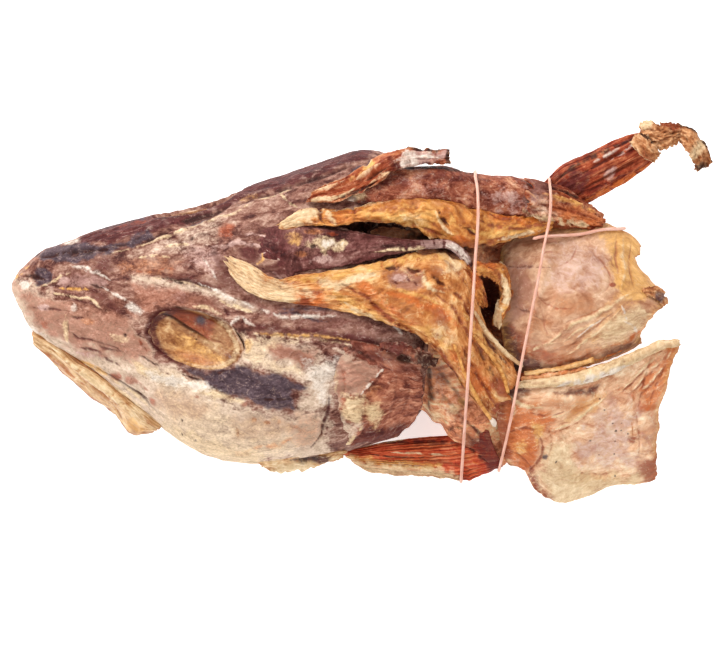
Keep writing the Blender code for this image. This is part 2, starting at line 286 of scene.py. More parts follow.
def soften(field_values: Array, passes: int, wraps: bool = False) -> Array:
    """The field averaged with its four neighbours, over and over.

    Borders repeat unless the columns wrap.

    Args:
        field_values: numbers of shape (rows, columns).
        passes: how many times.
        wraps: whether the columns close into rings.

    Returns:
        The softened field.
    """
    for _ in range(passes):
        padded = np.pad(field_values, ((1, 1), (0, 0)), mode="edge")
        padded = np.pad(padded, ((0, 0), (1, 1)), mode="wrap" if wraps else "edge")
        field_values = (4 * field_values + padded[:-2, 1:-1] + padded[2:, 1:-1] + padded[1:-1, :-2]
                        + padded[1:-1, 2:]) / 8
    return field_values


# ---------------------------------------------------------------- marks on a surface


@dataclass(frozen=True)
class Mark:
    """A mark along a path in plan: relief across its width, and a tone."""

    kind: Kind
    path: Points
    width: float
    lift: float = 0.0
    tone: Tone | None = None
    strength: float = 1.0
    blunt: float = 0.5


@dataclass(frozen=True)
class Stain:
    """A patch of tone, and a dent or swelling, in a turned ellipse with a ragged edge."""

    centre: tuple[float, float]
    size: tuple[float, float]
    tone: Tone | None = None
    turn: float = 0.0
    strength: float = 1.0
    lift: float = 0.0
    ragged: float = 0.6


@dataclass(frozen=True)
class Area:
    """An outlined area of one tone, raised or sunk by its lift, with a soft and frayed edge."""

    tone: Tone | None
    strength: float
    outline: Points
    soft: float = 1.6
    lift: float = 0.0


Laid = Mark | Stain | Area


def ridge(path: Points, width: float, lift: float = 0.5, tone: Tone | None = Tone.CREAM,
          strength: float = 0.8) -> Mark:
    """A rounded ridge; its crest tone, cream by default, is partly a painted highlight and partly pale
    dried skin.
    """
    return Mark(Kind.RIDGE, path, width, lift, tone, strength)


def crease(path: Points, width: float, depth: float = 0.6, tone: Tone | None = Tone.UMBER,
           strength: float = 0.8) -> Mark:
    """A groove with a tone along its floor; the default umber is painted shade."""
    return Mark(Kind.CREASE, path, width, depth, tone, strength)


def lip(path: Points, width: float, lift: float = 0.8, tone: Tone | None = Tone.CREAM,
        strength: float = 0.8) -> Mark:
    """A fold's edge: it stands up left of its path, with a light edge that is partly a painted highlight,
    and an umber foot at its right that is painted shade.
    """
    return Mark(Kind.LIP, path, width, lift, tone, strength)


def streak(path: Points, width: float, tone: Tone, strength: float = 0.9, blunt: float = 0.5) -> Mark:
    """A band of tone with no relief."""
    return Mark(Kind.STREAK, path, width, 0.0, tone, strength, blunt)


def path_field(plan: Array, path: Array) -> tuple[Array, Array]:
    """How each point lies to a path: its distance, positive to the left, and the share along at its foot.

    Args:
        plan: points of shape (count, 2).
        path: the path's points, of shape (steps + 1, 2).

    Returns:
        The signed distances and the shares, from 0 to 1.
    """
    run = np.diff(path, axis=0)
    length = np.linalg.norm(run, axis=1)
    reach = plan[:, None, :] - path[:-1]
    foot = np.clip((reach * run).sum(axis=2) / np.maximum(length**2, 1e-9), 0, 1)
    gap = reach - foot[..., None] * run
    squared = (gap**2).sum(axis=2)
    nearest = squared.argmin(axis=1)
    rows = np.arange(len(plan))
    side = run[nearest, 0] * reach[rows, nearest, 1] - run[nearest, 1] * reach[rows, nearest, 0]
    before = np.concatenate([[0.0], np.cumsum(length)])
    share = (before[nearest] + foot[rows, nearest] * length[nearest]) / before[-1]
    return np.sqrt(squared[rows, nearest]) * np.where(side < 0, -1.0, 1.0), share


def outline_field(plan: Array, outline: Array) -> Array:
    """How far each point lies inside a closed outline, in millimetres, below 0 outside it.

    The distance is to the nearest edge. A point is inside if a ray from it crosses an odd number of edges.

    Args:
        plan: points of shape (count, 2).
        outline: the corners, of shape (corners, 2).

    Returns:
        The signed distances.
    """
    step = np.roll(outline, -1, axis=0) - outline
    reach = plan[:, None, :] - outline
    foot = np.clip((reach * step).sum(axis=2) / (step**2).sum(axis=1), 0, 1)
    squared = ((reach - foot[..., None] * step) ** 2).sum(axis=2).min(axis=1)
    rise = np.where(step[:, 1] == 0, 1e-9, step[:, 1])
    meets = (reach[..., 1] < 0) != (reach[..., 1] < step[:, 1])
    beyond = reach[..., 0] < reach[..., 1] * step[:, 0] / rise
    return np.sqrt(squared) * np.where((meets & beyond).sum(axis=1) % 2 == 1, 1.0, -1.0)


@dataclass(frozen=True)
class Fold:
    """Relief that covers a surface: its height and its size along and across the fibres, in millimetres."""

    height: float
    size: tuple[float, float]
    sharp: bool = False
    octaves: int = 3
    sway: float = 0.0

    def lay(self, sculpt: "Sculpt", grain: Array, seed: int) -> None:
        """Swells the surface by noise, or by sharp-crested folds, at places that sway off the fibres.

        Args:
            sculpt: the surface.
            grain: each point's place along and across the fibres.
            seed: which noise.
        """
        along, across = self.size
        drift = fractal(grain, 18.0, seed + 3, 2)[..., None] * np.array([0.0, self.sway, self.sway])
        shape = crinkle if self.sharp else fractal
        sculpt.swell(self.height * shape(grain + drift, (along, across, across), seed, self.octaves))


class Sculpt:
    """The relief and the tones of one surface, built up mark by mark on its plan."""

    def __init__(self, points: Array, seed: int, weight: Array | float = 1.0, wander: float = 1.1) -> None:
        """Starts a smooth, bare surface.

        Args:
            points: the surface's points in millimetres, of shape (rows, columns, 3).
            seed: which wander the marks' outlines take.
            weight: how strongly marks in plan act on each point, 0 on a face that looks down.
            wander: how far the marks' lines stray, in millimetres.
        """
        self.weight = np.broadcast_to(weight, points.shape[:2])
        self.lift = np.zeros(points.shape[:2])
        self.sunk = np.zeros(points.shape[:2])
        self.tones: dict[Tone, Array] = {}
        plan = points[..., :2]
        stray = np.stack([fractal(plan, 9.0, seed, 4, 0.6), fractal(plan, 9.0, seed + 5, 4, 0.6)], axis=-1)
        self.plan = plan + wander * stray
        self.fray = fractal(plan, 6.0, seed + 9, 5, 0.6)
        self.breaks = smoothstep(-0.55, 0.15, fractal(plan, 3.6, seed + 13, 4, 0.6))

    def tint(self, tone: Tone, mask: Array, weight: Array | float | None = None) -> None:
        """Lays a tone where the mask, times the weight or the sculpt's own, is the strongest so far.

        Args:
            tone: the tone.
            mask: how strongly it is laid at each point.
            weight: where it acts, in place of the sculpt's own weight.
        """
        old = self.tones.get(tone, np.zeros(self.lift.shape))
        weight = self.weight if weight is None else weight
        self.tones[tone] = np.maximum(old, np.clip(mask, 0, 1.2) * weight)

    def clear(self, tone: Tone, mask: Array) -> None:
        """Takes a tone away where the mask is strong."""
        if tone in self.tones:
            self.tones[tone] = self.tones[tone] * (1 - np.clip(mask, 0, 1))

    def swell(self, height: Array) -> None:
        """Raises the surface by a height field in millimetres."""
        self.lift = self.lift + height

    def sink(self, depth: Array) -> None:
        """Lowers the surface by a depth that doesn't count as relief."""
        self.sunk = self.sunk + depth

    def mark(self, mark: Mark) -> None:
        """Lays one mark. Its width narrows to pointed ends, as a power of the sine of the share along.

        A ridge or crease is a bell across the path. A lip is a bell cut at its middle by a steep tanh step,
        so that its left side stands up and its right side has a shallow trough. A streak has a flat middle.

        Args:
            mark: the mark.
        """
        path = curve_through(mark.path, 5 * len(mark.path))
        margin = 4.5 * mark.width
        low, high = path.min(axis=0) - margin, path.max(axis=0) + margin
        inside = np.all((self.plan > low) & (self.plan < high), axis=-1) & (self.weight > 0)
        if not inside.any():
            return
        gap, share = path_field(self.plan[inside], path)
        taper = np.sin(math.pi * np.clip(share, 0.02, 0.98)) ** mark.blunt
        width = mark.width * taper * (1 + 0.45 * self.fray[inside])
        across = gap / width
        bell = np.exp(-(across**2)) * taper**0.5
        lift = np.zeros(self.lift.shape)
        mask = np.zeros(self.lift.shape)
        if mark.kind is Kind.LIP:
            step = np.tanh(across * 3.5)
            left = (1 + step) / 2 * np.exp(-np.maximum(across, 0) / 2.2)
            right = (1 - step) / 2 * np.exp(-np.maximum(-across, 0) / 0.9)
            lift[inside] = mark.lift * taper * (left - 0.45 * right)
            mask[inside] = np.exp(-(((across - 0.35) / 0.5) ** 2)) * taper
            # The umber foot is painted shade in the trough below the lip's edge.
            foot = np.zeros(self.lift.shape)
            foot[inside] = np.exp(-(((across + 0.35) / 0.4) ** 2)) * taper * 0.8 * min(1.0, mark.lift)
            self.tint(Tone.UMBER, foot)
        elif mark.kind is Kind.STREAK:
            mask[inside] = smoothstep(1.5, 0.1, np.abs(across))
        else:
            sign = 1.0 if mark.kind is Kind.RIDGE else -1.0
            lift[inside] = sign * mark.lift * bell
            mask[inside] = bell
        self.swell(lift * self.weight * (0.5 + 0.5 * self.breaks))
        # The tone along a crease's floor, umber by default, is painted shade; along a ridge's or a lip's
        # crest it is partly a painted highlight.
        if mark.tone is not None:
            self.tint(mark.tone, mask * mark.strength * self.breaks)

    def stain(self, stain: Stain) -> None:
        """Lays one stain.

        Its mask falls from 1 to 0 as the ellipse's distance, frayed by noise, goes from 0.35 to 1.35.

        Args:
            stain: the stain.
        """
        turn = math.radians(stain.turn)
        reach = self.plan - np.array(stain.centre)
        along = reach[..., 0] * math.cos(turn) + reach[..., 1] * math.sin(turn)
        across = reach[..., 1] * math.cos(turn) - reach[..., 0] * math.sin(turn)
        distance = np.hypot(along / (stain.size[0] / 2), across / (stain.size[1] / 2))
        mask = smoothstep(1.35, 0.35, distance + stain.ragged * self.fray)
        self.swell(stain.lift * mask * self.weight)
        if stain.tone is not None:
            self.tint(stain.tone, mask * stain.strength)

    def area(self, area: Area) -> None:
        """Lays one area: its mask goes from 0 to 1 over its soft edge, which noise pushes in and out.

        Args:
            area: the area.
        """
        outline = np.array(area.outline, float)
        margin = 4.0 * area.soft
        low, high = outline.min(axis=0) - margin, outline.max(axis=0) + margin
        near = np.all((self.plan > low) & (self.plan < high), axis=-1) & (self.weight > 0)
        if not near.any():
            return
        mask = np.zeros(self.lift.shape)
        field_here = outline_field(self.plan[near], outline) + 2.6 * area.soft * self.fray[near]
        mask[near] = smoothstep(-1.8 * area.soft, 1.8 * area.soft, field_here)
        self.swell(area.lift * mask * self.weight)
        if area.tone is not None:
            self.tint(area.tone, mask * area.strength)

    def fold(self, folds: Sequence[Fold], grain: Array, seed: int) -> None:
        """Lays folds in their order, each with the next seed."""
        for step, fold in enumerate(folds):
            fold.lay(self, grain, seed + step)

    def lay(self, marks: Sequence[Laid]) -> None:
        """Lays marks, stains and areas in their order.

        Args:
            marks: what is laid, first to last.
        """
        for mark in marks:
            if isinstance(mark, Stain):
                self.stain(mark)
            elif isinstance(mark, Area):
                self.area(mark)
            else:
                self.mark(mark)


# ---------------------------------------------------------------- meshes


@dataclass(frozen=True)
class Place:
    """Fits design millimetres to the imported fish's box."""

    low: Array
    high: Array

    @classmethod
    def of_node(cls, node: str) -> "Place":
        """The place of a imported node."""
        low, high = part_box(node)
        return cls(np.array(low), np.array(high))

    def metres(self, points: Array) -> Array:
        """Design millimetres to the row's metres: the same share of the way across the box."""
        return self.low + (points - DESIGN_LOW) / (DESIGN_HIGH - DESIGN_LOW) * (self.high - self.low)

    def design(self, points: Array) -> Array:
        """The row's metres to design millimetres, the other way round."""
        return DESIGN_LOW + (points - self.low) / (self.high - self.low) * (DESIGN_HIGH - DESIGN_LOW)


PLACE = Place.of_node(FISH)


def add_mesh(name: str, points: Array, faces: list[list[int]],
             fields: dict[str, Array]) -> bpy.types.Object:
    """A smooth-shaded mesh object at the origin.

    Args:
        name: the piece's name.
        points: vertices in design millimetres, of shape (count, 3).
        faces: vertex numbers of each face.
        fields: attributes by name, one number or three for each vertex.

    Returns:
        The new object, linked to the scene.
    """
    mesh = bpy.data.meshes.new(name)
    above_floor = np.maximum(points, (-np.inf, -np.inf, FLOOR_GAP))
    mesh.from_pydata(PLACE.metres(above_floor), [], faces)
    for label, values in fields.items():
        wide = values.ndim == 2
        layer = mesh.attributes.new(label, "FLOAT_VECTOR" if wide else "FLOAT", "POINT")
        layer.data.foreach_set("vector" if wide else "value", values.astype(np.float32).ravel())
    mesh.shade_smooth()
    mesh.validate()
    mesh.update()
    piece = bpy.data.objects.new(name, mesh)
    bpy.context.scene.collection.objects.link(piece)
    return piece


def vertices_of(piece: bpy.types.Object) -> Array:
    """A piece's vertices.

    Args:
        piece: a mesh object.

    Returns:
        Points of shape (count, 3).
    """
    flat = np.empty(3 * len(piece.data.vertices), np.float32)
    piece.data.vertices.foreach_get("co", flat)
    return flat.reshape(-1, 3).astype(float)


def ring_piece(name: str, rings: Array, grain: Array) -> bpy.types.Object:
    """A tube closed on itself.

    Args:
        name: the piece's name.
        rings: points of shape (rings, around, 3).
        grain: each point's place along and around the tube.

    Returns:
        The new object.
    """
    count, around = rings.shape[:2]
    number = np.arange(count * around).reshape(count, around)
    beside, ahead = np.roll(number, -1, axis=1), np.roll(number, -1, axis=0)
    quads = np.stack([number, beside, np.roll(beside, -1, axis=0), ahead], axis=-1).reshape(-1, 4)
    corner = rings.reshape(-1, 3)[quads]
    facing = np.cross(corner[:, 1] - corner[:, 0], corner[:, 3] - corner[:, 0])
    outward = (facing * (corner[:, 0] - rings.mean(axis=1).repeat(around, axis=0))).sum()
    if outward < 0:
        quads = quads[:, ::-1]
    return add_mesh(name, rings.reshape(-1, 3), quads.tolist(), {"grain": grain.reshape(-1, 3)})


def tone_fields(sculpt: Sculpt, wraps: bool) -> dict[str, Array]:
    """The sculpt's tones, and its relief against its own surroundings.

    Args:
        sculpt: the surface's marks.
        wraps: whether its columns close into rings.

    Returns:
        Fields by attribute name. The relief goes from -1 in a hollow to 1 on a crest.
    """
    fields = {f"tone_{tone.name.lower()}": mask for tone, mask in sculpt.tones.items()}
    local = sculpt.lift - soften(sculpt.lift, RELIEF_PASSES, wraps)
    fields["relief"] = np.clip(local / RELIEF_SCALE, -1, 1)
    return fields


def loft_piece(name: str, rings: Array, grain: Array, sculpt: Sculpt) -> bpy.types.Object:
    """A closed body from rings of points, with a pole at each end.

    Args:
        name: the piece's name.
        rings: points of shape (rings, around, 3), turning so that their normals point out.
        grain: the place of each point along and around the fibres, in millimetres.
        sculpt: the relief, along the normals, and the tones.

    Returns:
        The new object.
    """
    count, around = rings.shape[:2]
    normals = grid_normals(rings, wraps=True)
    outward = np.sign(((rings - rings.mean(axis=1, keepdims=True)) * normals).sum())
    surface = rings + normals * outward * (sculpt.lift - sculpt.sunk)[..., None]
    number = np.arange(count * around).reshape(count, around)
    after = np.roll(number, -1, axis=1)
    quads = np.stack([number[:-1], after[:-1], after[1:], number[1:]], axis=-1).reshape(-1, 4)
    first, last = count * around, count * around + 1
    start = np.stack([np.full(around, first), after[0], number[0]], axis=-1)
    end = np.stack([np.full(around, last), number[-1], after[-1]], axis=-1)
    if outward < 0:
        quads, start, end = quads[:, ::-1], start[:, ::-1], end[:, ::-1]
    fields = {**tone_fields(sculpt, wraps=True), "grain": grain}

    def with_poles(values: Array) -> Array:
        """The values of every point, then the means of the first ring and of the last."""
        flat = values.reshape(count * around, *values.shape[2:])
        return np.concatenate([flat, values[:1].mean(axis=1), values[-1:].mean(axis=1)])

    faces = quads.tolist() + start.tolist() + end.tolist()
    return add_mesh(name, with_poles(surface), faces, {k: with_poles(v) for k, v in fields.items()})


def shell_piece(name: str, middle: Array, thickness: Array, grain: Array, sculpt: Sculpt,
                under: float = 0.8) -> bpy.types.Object:
    """A closed sheet: its top and underside lie half the thickness off a grid, and meet at a rim.

    Args:
        name: the piece's name.
        middle: the middle surface's points, of shape (rows, columns, 3).
        thickness: the thickness at each point, in millimetres.
        grain: the place of each point along and across the fibres, in millimetres.
        sculpt: the relief of the top, and the tones of both sides.
        under: how much of the relief the underside follows.

    Returns:
        The new object.
    """
    rows, columns = middle.shape[:2]
    normals = grid_normals(middle)
    if normals[..., 2].mean() < 0:
        normals = -normals
    top = middle + normals * (thickness / 2 + sculpt.lift)[..., None]
    bottom = middle + normals * (under * sculpt.lift - thickness / 2)[..., None]
    number = np.arange(rows * columns).reshape(rows, columns)
    quads = np.stack([number[:-1, :-1], number[:-1, 1:], number[1:, 1:], number[1:, :-1]],
                     axis=-1).reshape(-1, 4)
    rim = np.concatenate([number[0, :-1], number[:-1, -1], number[-1, :0:-1], number[:0:-1, 0]])
    shift = rows * columns
    following = np.roll(rim, -1)
    sides = np.stack([following, rim, rim + shift, following + shift], axis=-1)
    faces = np.concatenate([quads, quads[:, ::-1] + shift, sides])
    corner = top.reshape(-1, 3)[quads[:, :3]]
    facing = np.cross(corner[:, 1] - corner[:, 0], corner[:, 2] - corner[:, 0])[:, 2].sum()
    if facing < 0:
        faces = faces[:, ::-1]
    fields = {**tone_fields(sculpt, wraps=False), "grain": grain}
    both = {label: np.concatenate([values.reshape(shift, *values.shape[2:])] * 2)
            for label, values in fields.items()}
    points = np.concatenate([top.reshape(-1, 3), bottom.reshape(-1, 3)])
    return add_mesh(name, points, faces.tolist(), both)


@dataclass
class Leaf:
    """A sheet of dried tissue across rails, thin and ragged at its edges.

    The rails run along the sheet; each is a smooth curve and so is what joins them. fray pulls each edge in
    by up to that share of the sheet: the low and high ends along it, then the first and the last rail.
    """

    name: str
    rails: Points
    cuts: tuple[int, int]
    thickness: float
    fray: tuple[float, float, float, float] = (0.02, 0.02, 0.02, 0.02)
    fray_size: float = 5.0
    seed: int = 1
    curl: float = 0.0

    def grid(self) -> tuple[Array, Array, Array]:
        """The middle surface, the grain and how far each point is from an edge.

        Returns:
            Points (rows, columns, 3); the grain; and the distance to the nearest edge, all in millimetres.
        """
        columns, rows = self.cuts
        along = np.stack([curve_through(rail, 4 * columns) for rail in self.rails])
        lengths = np.linalg.norm(np.diff(along, axis=1), axis=2).sum(axis=1).mean()
        widths = np.linalg.norm(np.diff(along, axis=0), axis=2).sum(axis=0).mean()
        u = np.linspace(0, 1, columns)[None, :]
        v = np.linspace(0, 1, rows)[:, None]

        def jag(run: Array, offset: int) -> Array:
            """How far an edge is pulled in along its run, from 0 to 1: sharp-edged noise."""
            line = np.stack([run / self.fray_size, np.full(run.shape, 0.37)], axis=-1)
            return np.clip(0.5 + 0.9 * fractal(line, 1.0, self.seed + offset, 4, 0.45), 0, 1)

        low, high, first, last = self.fray
        start, stop = low * jag(v * widths, 1), 1 - high * jag(v * widths, 2)
        shared_u = start + (stop - start) * u
        bottom, top = first * jag(shared_u * lengths, 3), 1 - last * jag(shared_u * lengths, 4)
        shared_v = bottom + (top - bottom) * v
        knots = np.linspace(0, 1, len(self.rails))
        dense = hermite(knots, along, np.linspace(0, 1, 4 * rows))
        row = shared_v * (dense.shape[0] - 1)
        column = shared_u * (dense.shape[1] - 1)
        r0 = np.clip(row.astype(int), 0, dense.shape[0] - 2)
        c0 = np.clip(column.astype(int), 0, dense.shape[1] - 2)
        rt, ct = (row - r0)[..., None], (column - c0)[..., None]
        points = ((1 - rt) * ((1 - ct) * dense[r0, c0] + ct * dense[r0, c0 + 1])
                  + rt * ((1 - ct) * dense[r0 + 1, c0] + ct * dense[r0 + 1, c0 + 1]))
        closeness = np.minimum(np.minimum(u, 1 - u) * lengths, np.minimum(v, 1 - v) * widths)
        grain = np.stack([shared_u * lengths, shared_v * widths, np.full(shared_u.shape, 10.0 * self.seed)],
                         axis=-1)
        return points, grain, closeness

    def build(self, finish: "Tissue", folds: Sequence[Fold], marks: Sequence[Laid],
              rims: Sequence[tuple[Tone, float, float]] = (), wander: float = 1.1,
              under: float = 0.8) -> bpy.types.Object:
        """Sculpts the sheet and makes its mesh.

        Args:
            finish: the tissue's material.
            folds: relief that covers the sheet.
            marks: marks and stains in plan.
            rims: tones that follow the edges, each with its width in millimetres and its strength.
            wander: how far the marks' lines stray, in millimetres.
            under: how much of the relief the underside follows.

        Returns:
            The finished piece.
        """
        points, grain, closeness = self.grid()
        sculpt = Sculpt(points, self.seed, wander=wander)
        sculpt.fold(folds, grain, self.seed * 7)
        sculpt.lay(marks)
        for tone, width, strength in rims:
            sculpt.tint(tone, np.exp(-((closeness / width) ** 1.5)) * strength)
        edge = np.sqrt(np.clip(closeness / (1.6 * self.thickness), 0, 1))
        thickness = self.thickness * (0.14 + 0.86 * edge)
        sculpt.swell(self.curl * np.exp(-closeness / 2.5))
        return finish.dress(shell_piece(self.name, points, thickness, grain, sculpt, under))


def strip(name: str, path: Points, widths: Points, bulge: float, cuts: tuple[int, int], thickness: float,
          seed: int, fray: float = 0.25) -> Leaf:
    """A narrow leaf along a path: three rails, of which the middle one stands up.

    Args:
        name: the piece's name.
        path: the middle line, in millimetres.
        widths: the width by share of the length.
        bulge: how far the middle stands above the sides.
        cuts: points along and across.
        thickness: in millimetres.
        seed: which fray.
        fray: how far the sides are pulled in, as a share.

    Returns:
        The leaf.
    """
    count = 3 * len(path)
    line = curve_through(path, count)
    width = table(widths, np.linspace(0, 1, count))[:, None]
    tangent = np.gradient(line, axis=0)
    side = np.stack([-tangent[:, 1], tangent[:, 0], np.zeros(count)], axis=1)
    side /= np.linalg.norm(side, axis=1, keepdims=True)
    middle = line + (0.0, 0.0, bulge)
    return Leaf(name, [line - side * width / 2, middle, line + side * width / 2], cuts, thickness,
                (0.03, 0.03, fray, fray), 3.0, seed)


def even_angles(count: int, half_width: float, rise: float, boxiness: float, start: float,
                stop: float) -> Array:
    """Angles of a superellipse, from start to stop, that cut its outline into equal lengths.

    Args:
        count: how many angles.
        half_width: the superellipse's half width.
        rise: its half height.
        boxiness: its power: 2 for an ellipse, more for a box.
        start: the first angle, in radians.
        stop: the angle where they end.

    Returns:
        The angles.
    """
    fine = np.linspace(start, stop, 4000)
    outline = np.stack([half_width * signed_power(np.cos(fine), 2 / boxiness),
                        rise * signed_power(np.sin(fine), 2 / boxiness)], axis=1)
    run = np.concatenate([[0.0], np.cumsum(np.linalg.norm(np.diff(outline, axis=0), axis=1))])
    return np.interp(np.linspace(0, run[-1], count, endpoint=False), run, fine)


@dataclass
class Body:
    """A lofted body: rings across X, each a superellipse from the belly line to the back line."""

    name: str
    back: Points
    belly: Points
    crown: Points
    edge: Points
    keel: Points
    boxiness: float
    cuts: tuple[int, int, int]
    crowding: float = 0.0

    def rings(self) -> tuple[Array, Array, Array]:
        """The rings, the grain, and how far each point looks up.

        Y is the middle of the two lines plus half their distance times the signed power of the cosine. Z is
        the edge height plus the rise (or the drop) times the signed power of the sine.

        Returns:
            Points (rings, around, 3); the grain in millimetres; and a weight from 0 below to 1 above.
        """
        count, above, below = self.cuts
        share = np.linspace(0, 1, count)
        first, last = self.back[0][0], self.back[-1][0]
        x = first + (last - first) * ((1 - self.crowding) * share + self.crowding * share**1.8)
        y_back, y_belly = table(self.back, x), table(self.belly, x)
        z_crown, z_edge, z_keel = table(self.crown, x), table(self.edge, x), table(self.keel, x)
        half = float((y_back - y_belly).mean() / 2)
        rise, drop = float((z_crown - z_edge).mean()), float((z_edge - z_keel).mean())
        angle = np.concatenate([even_angles(above, half, rise, self.boxiness, 0, math.pi),
                                even_angles(below, half, drop, self.boxiness, math.pi, 2 * math.pi)])
        across = signed_power(np.cos(angle), 2 / self.boxiness)
        upward = signed_power(np.sin(angle), 2 / self.boxiness)
        y = ((y_back + y_belly) / 2)[:, None] + ((y_back - y_belly) / 2)[:, None] * across
        reach = np.where(upward > 0, (z_crown - z_edge)[:, None], (z_edge - z_keel)[:, None])
        z = z_edge[:, None] + reach * upward
        rings = np.stack([np.broadcast_to(x[:, None], y.shape), y, z], axis=2)
        above_edge = np.broadcast_to(smoothstep(-0.12, 0.1, upward), y.shape)
        return rings, rings.copy(), above_edge


@dataclass
class Sweep:
    """A round body along a path, whose radius, by share of the length, may be squashed in height."""

    name: str
    path: Points
    radii: Points
    squash: float
    cuts: tuple[int, int]

    def rings(self) -> tuple[Array, Array, Array]:
        """The rings: the path plus the radius times the cosine along its side and the sine along its up.

        Returns:
            Points (rings, around, 3); the grain in millimetres; and a weight from 0 below to 1 above.
        """
        count, around = self.cuts
        line = curve_through(self.path, count)
        share = np.linspace(0, 1, count)
        radius = table(self.radii, share)[:, None, None]
        tangent = np.gradient(line, axis=0)
        tangent /= np.linalg.norm(tangent, axis=1, keepdims=True)
        side = np.cross(tangent, (0.0, 0.0, 1.0))
        side /= np.linalg.norm(side, axis=1, keepdims=True)
        up = np.cross(side, tangent)
        angle = np.linspace(0, 2 * math.pi, around, endpoint=False)
        ring = side[:, None] * np.cos(angle)[:, None] + up[:, None] * (np.sin(angle)[:, None] * self.squash)
        run = np.concatenate([[0.0], np.cumsum(np.linalg.norm(np.diff(line, axis=0), axis=1))])[:, None]
        grain = np.stack([np.broadcast_to(run, (count, around)),
                          np.broadcast_to(radius[..., 0].mean() * np.cos(angle), (count, around)),
                          np.broadcast_to(radius[..., 0].mean() * np.sin(angle), (count, around))], axis=2)
        facing = np.broadcast_to(smoothstep(-0.35, 0.1, np.sin(angle)), (count, around))
        return line[:, None] + ring * radius, grain, facing


# ---------------------------------------------------------------- shader maths


class Value:
    """A number in a shader. Arithmetic on it adds Math nodes."""

    def __init__(self, shader: "Shader", socket: bpy.types.NodeSocket) -> None:
        """Wraps an output socket of one of the shader's nodes."""
        self.shader = shader
        self.socket = socket

    def math(self, operation: str, *operands: "Value | float") -> "Value":
        """One Math node on the operands."""
        made = self.shader.node("ShaderNodeMath", {"operation": operation}, dict(enumerate(operands)))
        return Value(self.shader, made.outputs[0])

    def __add__(self, other: "Value | float") -> "Value":
        """The sum."""
        return self.math("ADD", self, other)

    def __sub__(self, other: "Value | float") -> "Value":
        """The difference."""
        return self.math("SUBTRACT", self, other)

    def __mul__(self, other: "Value | float") -> "Value":
        """The product."""
        return self.math("MULTIPLY", self, other)

    def smooth(self, low: float, high: float) -> "Value":
        """0 below low, 1 above high, and a smooth step between."""
        made = self.shader.node("ShaderNodeMapRange", {"interpolation_type": "SMOOTHSTEP"},
                                {"Value": self, "From Min": low, "From Max": high})
        return Value(self.shader, made.outputs["Result"])


class Shader:
    """One material's node tree, written as expressions."""

    def __init__(self, name: str) -> None:
        """Starts a material with its Principled shader.

        Args:
            name: the material's name.
        """
        self.material = bpy.data.materials.new(name)
        self.material.use_nodes = True
        self.tree = self.material.node_tree
        self.surface = self.tree.nodes["Principled BSDF"]

    def node(self, kind: str, settings: dict[str, Any], inputs: dict[str | int, Any]) -> bpy.types.Node:
        """Adds a node.

        Args:
            kind: the node's type.
            settings: its properties, and a ramp's stops as (place, colour), which are set first.
            inputs: a value, a Value or a socket for each input, by name or number.

        Returns:
            The new node.
        """
        made = self.tree.nodes.new(kind)
        for label, setting in settings.items():
            if label == "stops":
                stops = made.color_ramp.elements
                while len(stops) < len(setting):
                    stops.new(0.5)
                for stop, (place, colour) in zip(stops, setting):
                    stop.position = place
                    stop.color = (*colour, 1.0)
            else:
                setattr(made, label, setting)
        for label, given in inputs.items():
            self.connect(given, made.inputs[label])
        return made

    def connect(self, given: Any, socket: bpy.types.NodeSocket) -> None:
        """Links a Value or a socket to an input, or sets the input to a number, a vector or a colour.

        Args:
            given: what the input gets.
            socket: the input.
        """
        if isinstance(given, Value):
            given = given.socket
        if isinstance(given, bpy.types.NodeSocket):
            self.tree.links.new(given, socket)
        elif socket.type == "RGBA" and len(given) == 3:
            socket.default_value = (*given, 1.0)
        else:
            socket.default_value = given

    def number(self, name: str) -> Value:
        """The piece's attribute of that name, as a number."""
        return Value(self, self.node("ShaderNodeAttribute", {"attribute_name": name}, {}).outputs["Fac"])

    def vector(self, name: str) -> bpy.types.NodeSocket:
        """The piece's attribute of that name, as a vector."""
        return self.node("ShaderNodeAttribute", {"attribute_name": name}, {}).outputs["Vector"]

    def noise(self, place: bpy.types.NodeSocket, size: Triple, detail: float = 4.0,
              warp: float = 0.0) -> Value:
        """Noise from 0 to 1.

        Args:
            place: where each point is, in millimetres.
            size: the features' size along each axis.
            detail: how many octaves.
            warp: how far the noise twists its own places.

        Returns:
            The noise.
        """
        at = self.node("ShaderNodeVectorMath", {"operation": "DIVIDE"}, {0: place, 1: size}).outputs[0]
        made = self.node("ShaderNodeTexNoise", {}, {"Vector": at, "Scale": 1.0, "Detail": detail,
                                                    "Roughness": NOISE_ROUGHNESS, "Distortion": warp})
        return Value(self, made.outputs["Fac"])

    def ramp(self, value: Value, stops: list[tuple[float, Colour]]) -> bpy.types.NodeSocket:
        """The colour of a value between colour stops."""
        return self.node("ShaderNodeValToRGB", {"stops": stops}, {"Fac": value}).outputs["Color"]

    def mix(self, under: Any, over: Any, factor: Value | float) -> bpy.types.NodeSocket:
        """One colour laid over another."""
        made = self.node("ShaderNodeMix", {"data_type": "RGBA"}, {"Factor": factor, 6: under, 7: over})
        return made.outputs[2]

    def brighten(self, colour: bpy.types.NodeSocket, factor: Value) -> bpy.types.NodeSocket:
        """A colour times a number."""
        made = self.node("ShaderNodeVectorMath", {"operation": "SCALE"}, {0: colour, "Scale": factor})
        return made.outputs[0]

    def finish(self, colour: Any, roughness: Value | float, height: Value | None, depth: float,
               constants: dict[str, Any]) -> bpy.types.Material:
        """Feeds the Principled shader.

        Args:
            colour: the base colour.
            roughness: the roughness.
            height: the height for the bump, from 0 to 1, or None.
            depth: what a height of 1 means, in metres.
            constants: other inputs of the shader, by name.

        Returns:
            The finished material.
        """
        self.connect(colour, self.surface.inputs["Base Color"])
        self.connect(roughness, self.surface.inputs["Roughness"])
        for label, constant in constants.items():
            self.connect(constant, self.surface.inputs[label])
        if height is not None:
            bump = self.node("ShaderNodeBump", {}, {"Height": height, "Distance": depth, "Strength": 1.0})
            self.connect(bump.outputs["Normal"], self.surface.inputs["Normal"])
        return self.material


